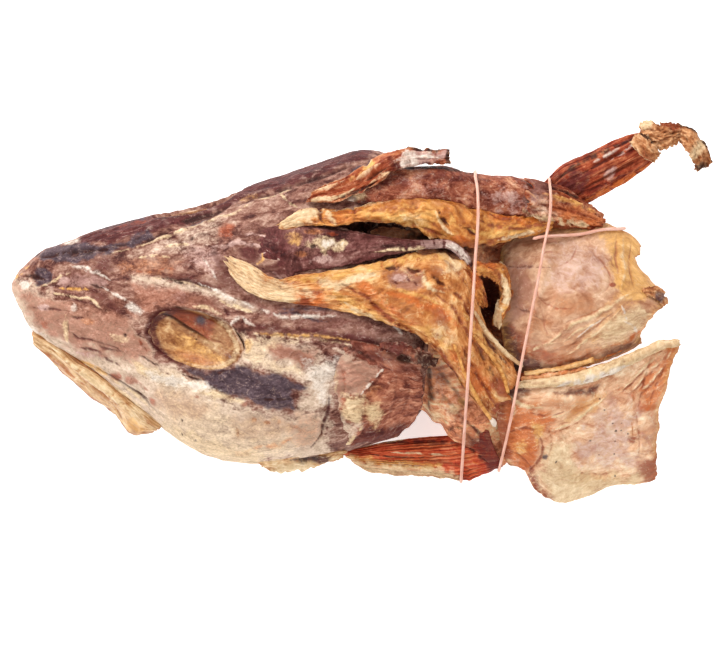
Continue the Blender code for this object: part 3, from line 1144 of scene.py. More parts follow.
@dataclass(frozen=True)
class Weave:
    """The noises that all layers of a tissue's finish share, and the piece's relief."""

    streaks: Value
    blotches: Value
    grains: Value
    fray: Value
    relief: Value


@dataclass(frozen=True)
class Tissue:
    """A finish for skin, flesh or membrane: clouds, fibre streaks, veins, flecks, tones, painted highlights
    and painted shade.
    """

    name: str
    slot: str
    stops: tuple[tuple[float, Colour], ...]
    streak: Triple = (11.0, 5.0, 5.0)
    blush: Colour = paint(150, 92, 78)
    blush_size: float = 15.0
    blush_share: float = 0.5
    vein: Colour = paint(226, 196, 168)
    vein_share: float = 0.35
    speckle: float = 0.25
    speckle_size: float = 1.0
    fleck: float = 0.12
    # hollow and hollow_colour paint shade into the relief's hollows; crest and crest_colour paint
    # highlights on its crests. crest_colour also colours the flecks, and hollow_colour the cracks.
    hollow: float = 0.5
    crest: float = 0.25
    crack: float = 0.3
    hollow_colour: Colour = paint(84, 36, 26)
    crest_colour: Colour = paint(226, 192, 162)
    ragged: float = 1.05
    roughness: tuple[float, float] = (0.42, 0.70)
    coat: float = 0.0
    gloss: float = 0.10
    bump: float = 0.0005

    def weave(self, shader: Shader) -> Weave:
        """The noises along the piece's grain, and its relief.

        Args:
            shader: the material being made.

        Returns:
            The shared values.
        """
        grain = shader.vector("grain")
        size, wide = self.speckle_size, self.blush_size
        return Weave(
            streaks=shader.noise(grain, self.streak, 5.0, 1.0),
            blotches=shader.noise(grain, (wide * 1.4, wide, wide), 4.0, 1.0),
            grains=shader.noise(grain, (size * 1.2, size, size), 3.0),
            fray=shader.noise(grain, (4.2, 2.8, 2.8), 5.0, 0.8),
            relief=shader.number("relief"))

    def ground(self, shader: Shader, weave: Weave) -> bpy.types.NodeSocket:
        """The clouds and streaks of the bare tissue, with its blush.

        Args:
            shader: the material being made.
            weave: the shared noises.

        Returns:
            The colour.
        """
        cloud = weave.streaks * 0.7 + weave.blotches * 0.3 + (weave.fray - 0.5) * 0.25
        colour = shader.ramp(cloud, list(self.stops))
        blushes = weave.blotches.smooth(0.68 - 0.3 * self.blush_share, 0.82)
        return shader.mix(colour, self.blush, blushes * 0.7)

    def toned(self, shader: Shader, weave: Weave, colour: bpy.types.NodeSocket,
              piece: bpy.types.Object) -> bpy.types.NodeSocket:
        """The colour under each tone that the piece has, whose mask noise frays at its edge.

        Args:
            shader: the material being made.
            weave: the shared noises.
            colour: what lies under the tones.
            piece: the piece, with its tones as attributes.

        Returns:
            The colour.
        """
        ragged = (weave.fray - 0.5) * self.ragged + (weave.grains - 0.5) * 0.6
        for tone in Tone:
            label = f"tone_{tone.name.lower()}"
            if label in piece.data.attributes:
                mask = shader.number(label)
                factor = (mask + ragged * mask.smooth(0.0, 0.25)).smooth(0.05, 0.95) * 0.92
                colour = shader.mix(colour, tone.value, factor)
        return colour

    def lined(self, shader: Shader, weave: Weave, colour: bpy.types.NodeSocket) -> bpy.types.NodeSocket:
        """The colour with veins and cracks, which follow where two noises are equal.

        Args:
            shader: the material being made.
            weave: the shared noises.
            colour: what lies under the lines.

        Returns:
            The colour.
        """
        apart = weave.blotches - weave.streaks
        veins = apart.math("ABSOLUTE", apart).smooth(0.02, 0.0) * weave.fray.smooth(0.40, 0.60)
        colour = shader.mix(colour, self.vein, veins * self.vein_share)
        apart = weave.fray - weave.blotches
        cracks = apart.math("ABSOLUTE", apart).smooth(0.022, 0.0) * weave.streaks.smooth(0.56, 0.44)
        return shader.mix(colour, self.hollow_colour, cracks * self.crack)

    def worn_and_shaded(self, shader: Shader, weave: Weave, colour: bpy.types.NodeSocket) -> bpy.types.NodeSocket:
        """The colour with painted highlights on the relief's crests, pale flecks and painted shade in its
        hollows, then made uneven in light and depth.

        Args:
            shader: the material being made.
            weave: the shared noises and the relief.
            colour: what gets the highlights, flecks and shade.

        Returns:
            The colour.
        """
        fray, relief = weave.fray, weave.relief
        # Painted highlight: the crest colour laid on the relief's crests.
        crests = (relief + (fray - 0.5) * 1.8).smooth(0.25, 1.2) * self.crest
        colour = shader.mix(colour, self.crest_colour, crests)
        flecks = (weave.grains + relief * 0.06).smooth(0.64, 0.78) * self.fleck
        colour = shader.mix(colour, self.crest_colour, flecks)
        # Painted shade: the hollow colour laid in the relief's hollows.
        hollows = (relief * -1.0 + (fray - 0.5) * 0.8).smooth(0.1, 1.1) * self.hollow
        colour = shader.mix(colour, self.hollow_colour, hollows)
        speckles = (weave.grains - 0.5) * (1.6 * self.speckle)
        light = (weave.streaks - 0.5) * 0.5 + speckles + (fray - 0.5) * 0.7
        depth = light * -0.9 + 1.0
        deepened = shader.node("ShaderNodeGamma", {}, {"Color": colour, "Gamma": depth})
        return shader.brighten(deepened.outputs[0], light + 1.0)

    def dress(self, piece: bpy.types.Object) -> bpy.types.Object:
        """Makes the piece's material from its attributes.

        Args:
            piece: the piece, with its grain, relief and tones as attributes.

        Returns:
            The same piece.
        """
        shader = Shader(f"{self.name}_{piece.name}")
        weave = self.weave(shader)
        colour = self.toned(shader, weave, self.ground(shader, weave), piece)
        colour = self.worn_and_shaded(shader, weave, self.lined(shader, weave, colour))
        low, high = self.roughness
        roughness = (weave.grains * 0.5 + weave.streaks * 0.5) * (high - low) + low
        height = weave.grains * 0.3 + weave.streaks * 0.6 + weave.fray * 0.8
        constants = {"Coat Weight": self.coat, "Coat Roughness": 0.25, "Specular IOR Level": self.gloss}
        piece.data.materials.append(shader.finish(colour, roughness, height, self.bump, constants))
        return piece


# ---------------------------------------------------------------- finishes

HEAD_SKIN = Tissue("head_skin", "skin", (
    (0.37, paint(99, 55, 48)), (0.46, paint(130, 82, 69)), (0.53, paint(153, 107, 90)),
    (0.63, paint(178, 138, 118))), blush=paint(120, 72, 63),
    blush_share=0.5, fleck=0.3, streak=(15.0, 6.5, 6.5), speckle=0.4, crest=0.32, vein_share=0.4, crack=0.5,
    crest_colour=paint(210, 175, 156), vein=paint(212, 175, 156), hollow_colour=paint(69, 28, 24))
GILL_SKIN = Tissue("gill_skin", "skin", (
    (0.38, paint(121, 61, 47)), (0.47, paint(154, 86, 65)), (0.55, paint(181, 110, 83)),
    (0.66, paint(211, 148, 114))), streak=(12.0, 6.0, 6.0), blush=paint(140, 78, 60), fleck=0.2)
SHOULDER_SKIN = Tissue("shoulder_skin", "skin", (
    (0.37, paint(166, 97, 72)), (0.46, paint(215, 134, 96)), (0.54, paint(250, 166, 117)),
    (0.64, paint(255, 225, 167))), streak=(13.0, 7.0, 7.0), blush=paint(178, 90, 65), fleck=0.2)
ROLL_SKIN = Tissue("roll_skin", "skin", (
    (0.36, paint(116, 53, 39)), (0.46, paint(151, 79, 58)), (0.54, paint(178, 105, 77)),
    (0.66, paint(215, 152, 114))), streak=(9.0, 6.0, 6.0), blush=paint(153, 88, 62), speckle=0.4,
    fleck=0.35,
    speckle_size=0.8)
AMBER_FLESH = Tissue("amber_flesh", "flesh", (
    (0.37, paint(176, 94, 42)), (0.46, paint(208, 129, 65)), (0.54, paint(225, 154, 89)),
    (0.64, paint(243, 194, 132))), streak=(18.0, 6.0, 6.0), blush=paint(211, 121, 62),
    vein=paint(249, 211, 152),
    vein_share=0.5, hollow_colour=paint(131, 55, 22), crest_colour=paint(251, 213, 156), fleck=0.15,
    speckle=0.2,
    roughness=(0.32, 0.6), coat=0.1, gloss=0.2)
GOLD_FLESH = Tissue("gold_flesh", "flesh", (
    (0.37, paint(166, 84, 30)), (0.46, paint(198, 117, 52)), (0.54, paint(218, 142, 67)),
    (0.64, paint(236, 172, 92))), streak=(18.0, 5.5, 5.5), blush=paint(198, 109, 46),
    vein=paint(242, 186, 114),
    hollow=0.4, hollow_colour=paint(98, 42, 17), crest_colour=paint(244, 188, 114), fleck=0.15,
    speckle=0.25,
    roughness=(0.34, 0.6), coat=0.1, gloss=0.2)
RIDGE_SKIN = Tissue("ridge_skin", "skin", (
    (0.37, paint(81, 41, 38)), (0.46, paint(104, 58, 53)), (0.54, paint(123, 75, 68)),
    (0.66, paint(154, 111, 100))), streak=(16.0, 6.0, 6.0), blush=paint(92, 45, 41),
    vein=paint(173, 131, 119),
    hollow_colour=paint(50, 22, 18), crest_colour=paint(173, 134, 121), fleck=0.45, speckle=0.45,
    speckle_size=0.8)
MEMBRANE = Tissue("membrane", "membrane", (
    (0.36, paint(190, 128, 80)), (0.46, paint(212, 160, 107)), (0.54, paint(230, 187, 135)),
    (0.64, paint(244, 217, 174))), streak=(20.0, 5.0, 5.0), blush=paint(218, 162, 103),
    vein=paint(248, 225, 183),
    hollow_colour=paint(150, 83, 45), crest_colour=paint(250, 227, 187), fleck=0.1, speckle=0.15,
    roughness=(0.32, 0.55), coat=0.1, gloss=0.25, bump=0.0004)
FLAP_UPPER_SKIN = Tissue("flap_upper", "membrane", (
    (0.36, paint(196, 135, 99)), (0.46, paint(213, 157, 120)), (0.54, paint(223, 173, 136)),
    (0.66, paint(237, 195, 159))), streak=(14.0, 9.0, 9.0), blush=paint(217, 157, 112), blush_size=20.0,
    vein=paint(241, 205, 166), vein_share=0.3, hollow_colour=paint(177, 108, 76),
    crest_colour=paint(245, 209, 169),
    fleck=0.1, speckle=0.16, roughness=(0.34, 0.55), coat=0.1, gloss=0.25, bump=0.0003, ragged=1.2)
FLAP_LOWER_SKIN = Tissue("flap_lower", "membrane", (
    (0.36, paint(225, 158, 117)), (0.46, paint(242, 186, 144)), (0.54, paint(253, 206, 165)),
    (0.66, paint(255, 233, 195))), streak=(14.0, 8.0, 8.0), blush=paint(244, 182, 136), blush_size=14.0,
    vein=paint(255, 239, 199), vein_share=0.4, hollow_colour=paint(184, 106, 74),
    crest_colour=paint(255, 243, 203),
    fleck=0.2, speckle=0.25, roughness=(0.36, 0.6), coat=0.1, gloss=0.2, bump=0.0005)
FIN_SKIN = Tissue("fin_skin", "fin", (
    (0.37, paint(157, 50, 32)), (0.46, paint(198, 74, 45)), (0.54, paint(225, 99, 59)),
    (0.66, paint(225, 143, 96))), streak=(40.0, 1.1, 1.1), blush=paint(169, 65, 41),
    vein=paint(225, 154, 108),
    hollow_colour=paint(100, 29, 20), crest_colour=paint(225, 129, 81), fleck=0.1, speckle=0.15, coat=0.0)
TUBE_SKIN = Tissue("tube_skin", "fin", (
    (0.37, paint(106, 35, 21)), (0.46, paint(140, 52, 31)), (0.54, paint(166, 70, 40)),
    (0.66, paint(207, 114, 72))), streak=(34.0, 1.8, 1.8), blush=paint(141, 60, 34),
    vein=paint(221, 158, 113),
    hollow_colour=paint(61, 20, 13), crest_colour=paint(221, 145, 97), fleck=0.15, speckle=0.2, coat=0.0)
TAN_FRAY = Tissue("tan_fray", "fin", (
    (0.37, paint(147, 82, 49)), (0.46, paint(189, 120, 74)), (0.54, paint(215, 153, 104)),
    (0.66, paint(240, 192, 144))), streak=(7.0, 2.2, 2.2), blush=paint(177, 102, 60),
    vein=paint(244, 202, 155),
    hollow_colour=paint(89, 45, 28), crest_colour=paint(246, 202, 154), fleck=0.25, speckle=0.4)
EYE_MEMBRANE = Tissue("eye_membrane", "membrane", (
    (0.37, paint(142, 83, 46)), (0.46, paint(164, 107, 65)), (0.54, paint(177, 126, 82)),
    (0.64, paint(192, 152, 108))), streak=(12.0, 6.0, 6.0), blush=paint(174, 112, 68),
    vein=paint(216, 183, 134),
    hollow_colour=paint(87, 38, 20), crest_colour=paint(220, 190, 143), fleck=0.1, speckle=0.2,
    roughness=(0.25, 0.5), coat=0.15, gloss=0.2)
TORN_SKIN = Tissue("torn_skin", "skin", (
    (0.37, paint(129, 50, 30)), (0.46, paint(158, 72, 40)), (0.54, paint(185, 100, 60)),
    (0.66, paint(214, 147, 103))), streak=(14.0, 1.8, 1.8), blush=paint(129, 52, 32),
    vein=paint(222, 166, 125),
    hollow_colour=paint(77, 25, 17), crest_colour=paint(226, 166, 121), fleck=0.2, speckle=0.25, crest=0.6)


@dataclass(frozen=True)
class Elastic:
    """The finish of the bands: dull salmon rubber, dusty in places, with a faint grain along it."""

    colour: Colour = paint(246, 178, 152)
    worn_and_shaded: Colour = paint(252, 206, 186)

    def dress(self, piece: bpy.types.Object) -> bpy.types.Object:
        """Makes the band's material.

        Args:
            piece: the band, with its grain as an attribute.

        Returns:
            The same piece.
        """
        shader = Shader(f"elastic_{piece.name}")
        grain = shader.vector("grain")
        dust = shader.noise(grain, (7.0, 1.2, 1.2), 4.0, 0.5)
        fine = shader.noise(grain, (0.8, 0.5, 0.5), 2.0)
        colour = shader.mix(self.colour, self.worn_and_shaded, dust.smooth(0.4, 0.66))
        colour = shader.brighten(colour, (dust - 0.5) * 0.5 + (fine - 0.5) * 0.3 + 1.0)
        roughness = dust * 0.3 + 0.4
        constants = {"IOR": 1.45}
        piece.data.materials.append(shader.finish(colour, roughness, fine * 0.5 + dust, 0.0001, constants))
        return piece


ELASTIC = Elastic()


# ---------------------------------------------------------------- the head


@dataclass
class Head:
    """The skull and cheeks under drawn skin, with a socket for each eye."""

    skin: Body = field(default_factory=lambda: Body(
        "head_skin",
        back=[(-165, 14), (-162, 18.5), (-157, 23), (-150, 29), (-140, 33), (-121, 40), (-95, 47),
              (-65, 55), (-40, 64), (-18, 71.5), (2, 77), (14, 74), (29, 62), (37, 52)],
        belly=[(-165, 10), (-162, 4), (-157, -5), (-150, -12), (-130, -24), (-110, -40), (-95, -53),
               (-76, -66), (-60, -70), (-30, -69.5), (-10, -66), (8, -61), (17, -58), (23, -52), (29, -46),
               (37, -34)],
        crown=[(-165, 27), (-157, 35), (-140, 45), (-110, 56), (-70, 65), (-20, 68), (10, 64), (29, 56),
               (37, 42)],
        edge=[(-165, 24), (-120, 25), (-40, 26), (29, 26), (37, 26)],
        keel=[(-165, 21), (-158, 11), (-146, 3), (-130, 0), (10, 0), (29, 4), (37, 12)],
        boxiness=2.35, cuts=(290, 215, 75), crowding=0.4))
    eye_size: tuple[float, float] = (45.0, 26.0)
    far_eye: tuple[float, float] = (-77.0, 31.0)
    far_size: tuple[float, float] = (42.0, 23.0)
    near_above: float = 40.0
    far_beyond: float = 20.0

    def marks(self) -> list[Laid]:
        """The zones, creases, lips and stains of the side that faces up, and the shade painted under the
        nape lip and the gill cover.

        Returns:
            What is laid, first to last.
        """
        zones = [
            Area(Tone.SAND, 1.0, [(-166, 18), (-150, 10), (-136, 3), (-122, -1), (-106, -5), (-100, -12),
                                  (-94, -22), (-80, -30), (-60, -40), (-40, -47), (-16, -46), (-15, -68),
                                  (-60, -74), (-95, -60), (-130, -30), (-150, -16), (-166, 0)], 3.0),
            Area(Tone.SAND, 0.9, [(-60, -12), (-36, -12), (-20, -18), (-12, -30), (-15, -46), (-30, -46),
                                  (-26, -33), (-40, -27), (-58, -24)], 2.2),
            Area(Tone.SAND, 0.4, [(-118, 26), (-104, 29), (-92, 34), (-78, 41), (-66, 44), (-58, 42),
                                  (-66, 33), (-74, 29), (-92, 28), (-104, 25)], 1.8),
            Area(Tone.SAND, 0.8, [(-108, 18), (-95, 17), (-84, 14), (-74, 13), (-62, 8), (-50, 3), (-46, 0),
                                  (-58, 2), (-70, 8), (-84, 10), (-94, 13), (-106, 14)], 1.2),
            Area(Tone.ROSE, 0.8, [(-166, 16), (-150, 8), (-136, 6), (-122, 3), (-106, -4), (-100, -14),
                                  (-94, -24), (-104, -24), (-116, -22), (-134, -18), (-148, -10),
                                  (-156, -3)], 2.6),
            Area(Tone.ROSE, 0.9, [(-107, 13), (-95, 12), (-83, 11), (-70, 6), (-64, 0), (-76, 1), (-90, 4),
                                  (-99, 0), (-106, 4)], 1.8),
            Area(Tone.ROSE, 0.8, [(-138, -2), (-126, 0), (-116, 2), (-108, -2), (-107, -7), (-118, -8),
                                  (-124, -13), (-132, -12), (-137, -9)], 1.6),
            Area(Tone.ROSE, 0.7, [(-159, 2), (-148, 4), (-140, 0), (-139, -12), (-147, -12), (-154, -6)],
                 1.8),
            Area(Tone.ROSE, 0.7, [(-127, -12), (-116, -12), (-111, -16), (-106, -20), (-112, -23),
                                  (-120, -19)], 1.4),
            Area(Tone.ROSE, 0.6, [(-128, 10), (-114, 7), (-106, 1), (-104, -3), (-112, -1), (-122, 5)],
                 1.4),
            Area(Tone.ROSE, 1.0, [(-44, -15), (-37, -13.5), (-28, -17), (-21, -18), (-21, -24), (-26, -27),
                                  (-32, -22.5), (-42, -20)], 1.6),
            Area(Tone.ROSE, 0.55, [(-96, -35), (-80, -38), (-70, -44), (-78, -52), (-92, -48), (-98, -41)],
                 2.2),
            Area(Tone.ROSE, 0.5, [(-60, -46), (-36, -48), (-26, -54), (-40, -60), (-60, -58)], 2.4),
            Area(Tone.LILAC, 0.5, [(-80, 33), (-70, 30), (-64, 25), (-68, 17), (-76, 20), (-82, 27)], 1.8),
            Area(Tone.LILAC, 0.7, [(-145, 12), (-135, 17), (-124, 18), (-117, 13), (-127, 12), (-137, 12)],
                 1.0),
            Area(Tone.MAUVE, 0.6, [(-145, 13), (-134, 18.5), (-124, 18.5), (-117, 14), (-127, 11.5),
                                   (-140, 10)], 1.4),
            Area(Tone.MAUVE, 0.55, [(-56, 12), (-46, 6), (-28, 4), (-6, 4), (8, 0), (20, -8), (28, -22),
                                    (8, -20), (-10, -10), (-40, -4), (-54, 4)], 1.8),
            Area(Tone.MAROON, 1.15, [(-133, 35), (-124, 39), (-112, 43), (-94, 48), (-80, 52), (-64, 57),
                                     (-60, 51), (-72, 46), (-87, 40.5), (-102, 37.5), (-117, 32),
                                     (-130, 31.5)], 1.1),
            Area(Tone.MAROON, 1.1, [(-62, 52), (-48, 54.5), (-30, 61), (-12, 67), (4, 72), (4, 80),
                                    (-20, 76), (-45, 66), (-62, 58)], 1.2),
            Area(Tone.MAROON, 0.55, [(-69, 26.5), (-64, 25.5), (-60, 18), (-54, 13), (-57, 9), (-64, 9.5),
                                     (-67, 14)], 1.2),
            Area(Tone.MAROON, 0.75, [(-58.5, 31), (-50, 31), (-46, 26), (-49, 23), (-58, 26)], 1.2),
            Area(Tone.MAROON, 0.6, [(-45, 23), (-33, 24), (-33, 16), (-40, 16)], 1.2),
            Area(Tone.MAROON, 0.8, [(-40, 38), (-28, 37), (-26, 20), (-38, 18)], 2.0),
            Area(Tone.MAROON, 0.7, [(-124, 26), (-117, 26), (-116, 19.5), (-124, 20)], 1.0),
            Area(Tone.MAROON, 0.6, [(-126, 11), (-117, 8.6), (-109, 1), (-106, -3), (-112, -1), (-119, 3),
                                    (-126, 7.6)], 0.8),
            Area(Tone.MAROON, 0.6, [(-94, 18), (-82, 18.5), (-70, 15), (-62, 11), (-70, 10), (-82, 14)],
                 0.9),
            Area(Tone.MAROON, 0.45, [(-80, 7), (-68, 6), (-64, 2), (-74, 2)], 1.2),
            Area(Tone.MAROON, 0.4, [(-41, -16), (-30, -17.5), (-23, -20), (-25, -24), (-34, -20)], 1.4),
            Area(Tone.MAROON, 0.75, [(-50, -4.5), (-37, -6.5), (-14, -8), (4, -11), (16, -16), (20, -20),
                                     (2, -16), (-14, -11), (-37, -9), (-49, -8)], 0.9),
            Area(Tone.AMBER, 0.42, [(-112, 24), (-96, 27), (-84, 25), (-86, 18), (-96, 17), (-112, 18)],
                 2.4),
            Area(Tone.AMBER, 0.4, [(-31, -46), (-19, -47), (-16, -58), (-24, -64), (-36, -61)], 2.0),
            Area(Tone.RUST, 0.75, [(-67, 39), (-63, 42.5), (-59, 41), (-59.5, 36), (-63, 34), (-67, 35.5)],
                 0.9),
            Area(Tone.GOLD, 0.3, [(-57, 54), (-48, 56.5), (-47, 53.5), (-56, 51.5)], 0.9),
            Area(Tone.CREAM, 0.7, [(-107, -22), (-97, -26), (-88, -28), (-74, -32), (-65, -36), (-55, -41),
                                   (-66, -41), (-78, -36.5), (-88, -34.5), (-96, -32), (-105, -26)], 1.2),
            Area(Tone.CREAM, 0.4, [(-96, -30), (-76, -38), (-56, -46), (-34, -50), (-30, -66), (-60, -74),
                                   (-96, -58)], 3.0),
            Area(Tone.CREAM, 0.65, [(-97, -50), (-80, -54), (-60, -60), (-44, -63), (-42, -70), (-60, -74),
                                    (-84, -67)], 2.4),
            Area(Tone.CREAM, 0.5, [(-56, -11), (-40, -11), (-28, -13.5), (-42, -16), (-44, -22), (-30, -25),
                                   (-22, -30), (-34, -28), (-50, -24), (-57, -18)], 1.6),
            Area(Tone.WHITE, 0.85, [(-99, -27), (-88, -29), (-74, -32), (-66, -36), (-78, -36),
                                    (-90, -33.5), (-98, -31)], 1.2),
            Area(Tone.WHITE, 0.75, [(-26, -22), (-11, -22), (-12, -28), (-15, -34), (-15.5, -44),
                                    (-19, -44), (-20, -34), (-26, -29)], 2.0, 0.5),
            Area(Tone.SLATE, 1.2, [(-152, 27), (-147, 30), (-140, 32), (-130, 32), (-117, 32), (-110, 33.5),
                                   (-100, 37.5), (-97, 35), (-104, 32.5), (-112, 30), (-124, 27),
                                   (-131, 24.5), (-139, 24), (-150, 25)], 1.3),
            Area(Tone.SLATE, 1.12, [(-73, -28), (-66, -26), (-60, -25.5), (-53, -25), (-46, -28.5),
                                    (-38, -28.8), (-31, -32), (-25.5, -35), (-31.5, -36.5), (-31, -41),
                                    (-31, -45), (-40, -44.3), (-48, -42.5), (-55, -38.7), (-63, -37.5),
                                    (-72, -34)], 1.0),
            Area(Tone.SLATE, 0.85, [(-84, -25), (-77, -25), (-71, -27.5), (-73, -30), (-80, -28)], 0.7),
            Area(Tone.SLATE, 1.2, [(-154, 19.5), (-150, 21), (-145.5, 20), (-146, 15), (-152, 13.5)], 0.9,
                 -1.3),
        ]
        snout = [
            Stain((-158, 13.5), (7, 4), Tone.WHITE, 0, 0.9),
            streak([(-163, 16), (-160, 19), (-156, 21.5)], 1.6, Tone.GOLD, 0.7),
            crease([(-158, 17.3), (-153, 17.3), (-149, 16)], 1.1, 0.9, Tone.UMBER, 1.1),
            ridge([(-155, 12.6), (-146, 14), (-141, 17), (-136, 19.2)], 0.9, 0.6, Tone.CREAM, 0.9),
            crease([(-152, 12.8), (-145, 12.9), (-140, 15.5)], 0.6, 0.5),
            ridge([(-137, 22.2), (-131, 21.2), (-125.5, 19.7), (-122, 18.2), (-117, 15)], 1.1, 0.8,
                  Tone.WHITE, 0.9),
            ridge([(-147, 9.6), (-139, 8.6), (-132, 7.1), (-127, 6.6), (-122, 3), (-118, 0.5)], 0.8, 0.6,
                  Tone.CREAM, 1.0),
            ridge([(-122, 12.6), (-117, 10), (-112, 7.6), (-107, 5), (-101, 1)], 0.7, 0.5, Tone.WHITE, 0.9),
            crease([(-127, 13.4), (-122, 12), (-118, 13.4)], 1.0, 0.8, Tone.UMBER, 1.0),
            streak([(-141, 11.6), (-134, 11.3), (-127, 11)], 1.1, Tone.GOLD, 0.9),
            Stain((-139, 15), (6, 4), Tone.LILAC, 20, 0.9, 0.3),
            Stain((-133.8, 2.3), (3.4, 4), Tone.WHITE, 0, 0.5, 0.3),
            Stain((-148.4, 3), (6, 3), Tone.LILAC, 10, 0.9),
            crease([(-158, 1.4), (-150, 2.2), (-142, 1.6), (-136, 0.6)], 0.8, 0.6, Tone.MAROON, 0.8),
            crease([(-140, 5), (-134, 5.6), (-127, 4.6), (-121, 1)], 0.8, 0.5, Tone.MAROON, 0.7),
            crease([(-136.6, -1.6), (-133, -2.4), (-129, -2)], 0.7, 0.6, Tone.MAROON, 1.0),
            crease([(-137.6, -2), (-137, -8), (-133, -12), (-125, -13.5), (-116, -16), (-110, -19)], 0.9,
                   0.7, Tone.MAROON, 0.7),
            lip([(-116, -12), (-122, -8), (-128, -6), (-134, -4)], 1.0, 0.5, Tone.ROSE),
            Stain((-128, -4), (8, 4.4), Tone.AMBER, -5, 0.4),
            Stain((-149, -5), (5, 4), Tone.RUST, -20, 0.5),
            streak([(-138, -1), (-138.6, -7), (-138, -14)], 1.6, Tone.CREAM, 0.7),
            ridge([(-162, 1), (-158, -4), (-154, -7.5), (-147, -11)], 1.4, 0.7, Tone.WHITE, 1.0),
            streak([(-132, -16), (-127, -16.8), (-121, -20), (-113, -24.7)], 1.1, Tone.MAROON, 0.9),
            crease([(-124.5, -14), (-121, -16.4), (-116.6, -17.4), (-112, -18.6)], 0.9, 0.6, Tone.MAROON,
                   0.8),
            streak([(-134, -18), (-127, -19.4), (-120, -21)], 1.3, Tone.LILAC, 0.9),
            crease([(-109.8, -9.6), (-109.2, -11.2)], 0.9, 0.8, Tone.UMBER, 1.3),
            crease([(-105, -10), (-103, -14), (-100, -18)], 0.8, 0.5, Tone.RUST, 0.8),
            Stain((-105, 2), (9, 5), Tone.WHITE, -30, 0.7),
            Stain((-112, -12), (10, 5), Tone.CREAM, -15, 0.5),
        ]
        jaw = [
            streak([(-134, -21), (-125, -25.4), (-118.8, -29)], 1.6, Tone.GOLD, 0.9),
            Stain((-115.6, -30), (7, 5), Tone.RUST, -20, 0.9),
            Stain((-108.6, -31.5), (6, 4), Tone.ROSE, -20, 0.9),
            streak([(-113, -27), (-105, -32), (-99, -37)], 1.6, Tone.ROSE, 0.8),
            crease([(-108, -36), (-104, -38.6), (-100, -41)], 0.9, 0.7, Tone.MAROON, 0.9),
            Stain((-97.4, -42), (4, 6), Tone.RUST, 30, 0.7),
            lip([(-94, -49), (-101, -42), (-109, -35), (-119, -29), (-131, -22)], 1.3, 0.9),
            ridge([(-118, -33), (-110, -38), (-101, -46)], 1.0, 0.6, Tone.CREAM, 1.0),
        ]
        dorsal = [
            streak([(-122, 36), (-112, 38), (-100, 41)], 1.2, Tone.ROSE, 0.8),
            streak([(-116, 40.5), (-106, 42.4), (-96, 45.4), (-84, 49)], 1.1, Tone.RUST, 0.7),
            streak([(-106, 39.4), (-92, 43.6), (-78, 48), (-66, 52)], 0.9, Tone.UMBER, 0.6),
            streak([(-132, 36.4), (-124, 38.8), (-112, 42.4), (-98, 46)], 0.9, Tone.SLATE, 0.8),
            crease([(-152, 26.2), (-140, 27.6), (-128, 28.6), (-117, 30.6), (-108, 32.4)], 1.5, 1.3,
                   Tone.UMBER, 1.0),
            crease([(-104, 32), (-96, 35.5), (-87, 39)], 0.8, 0.8, Tone.UMBER, 0.9),
            crease([(-88, 41.6), (-79, 43.6), (-71, 46), (-61, 50.6)], 1.9, 1.6, Tone.UMBER, 1.2),
            crease([(-82, 40.6), (-76, 41.6), (-70, 44)], 1.4, 0.8, Tone.SLATE, 0.9),
            crease([(-60, 49.5), (-48, 54), (-34, 58.5), (-18, 64), (-2, 69.5)], 1.2, 1.2, Tone.UMBER, 0.8),
            Stain((-135.4, 33), (8, 3), Tone.WHITE, 12, 0.6),
            streak([(-143, 28.6), (-139, 29.4), (-136, 30)], 0.8, Tone.LILAC, 1.0),
            Stain((-128, 27.4), (9, 3.4), Tone.LILAC, 14, 1.0, 0.4),
            streak([(-155, 25), (-151, 25.6), (-149, 25.4)], 1.0, Tone.ROSE, 0.9),
            ridge([(-101, 38), (-96, 40.4), (-89, 41.4)], 1.4, 0.5, Tone.LILAC, 1.0),
            ridge([(-118, 27.4), (-108, 29.6), (-97, 33.4), (-87, 37), (-77, 40.6), (-68, 43.6),
                   (-59, 46.4), (-53, 50), (-47, 53)], 0.9, 0.6, Tone.CREAM, 0.9),
            streak([(-47, 53), (-40, 55.6), (-33, 57.4)], 0.7, Tone.CREAM, 0.9),
            Stain((-78.6, 34.5), (2.4, 1.8), Tone.UMBER, 30, 1.0),
            streak([(-6, 64), (2, 68.6), (8, 72)], 2.6, Tone.SLATE, 0.9),
            streak([(-22, 67), (-12, 70.6), (0, 74.6)], 1.4, Tone.ROSE, 0.7),
        ]
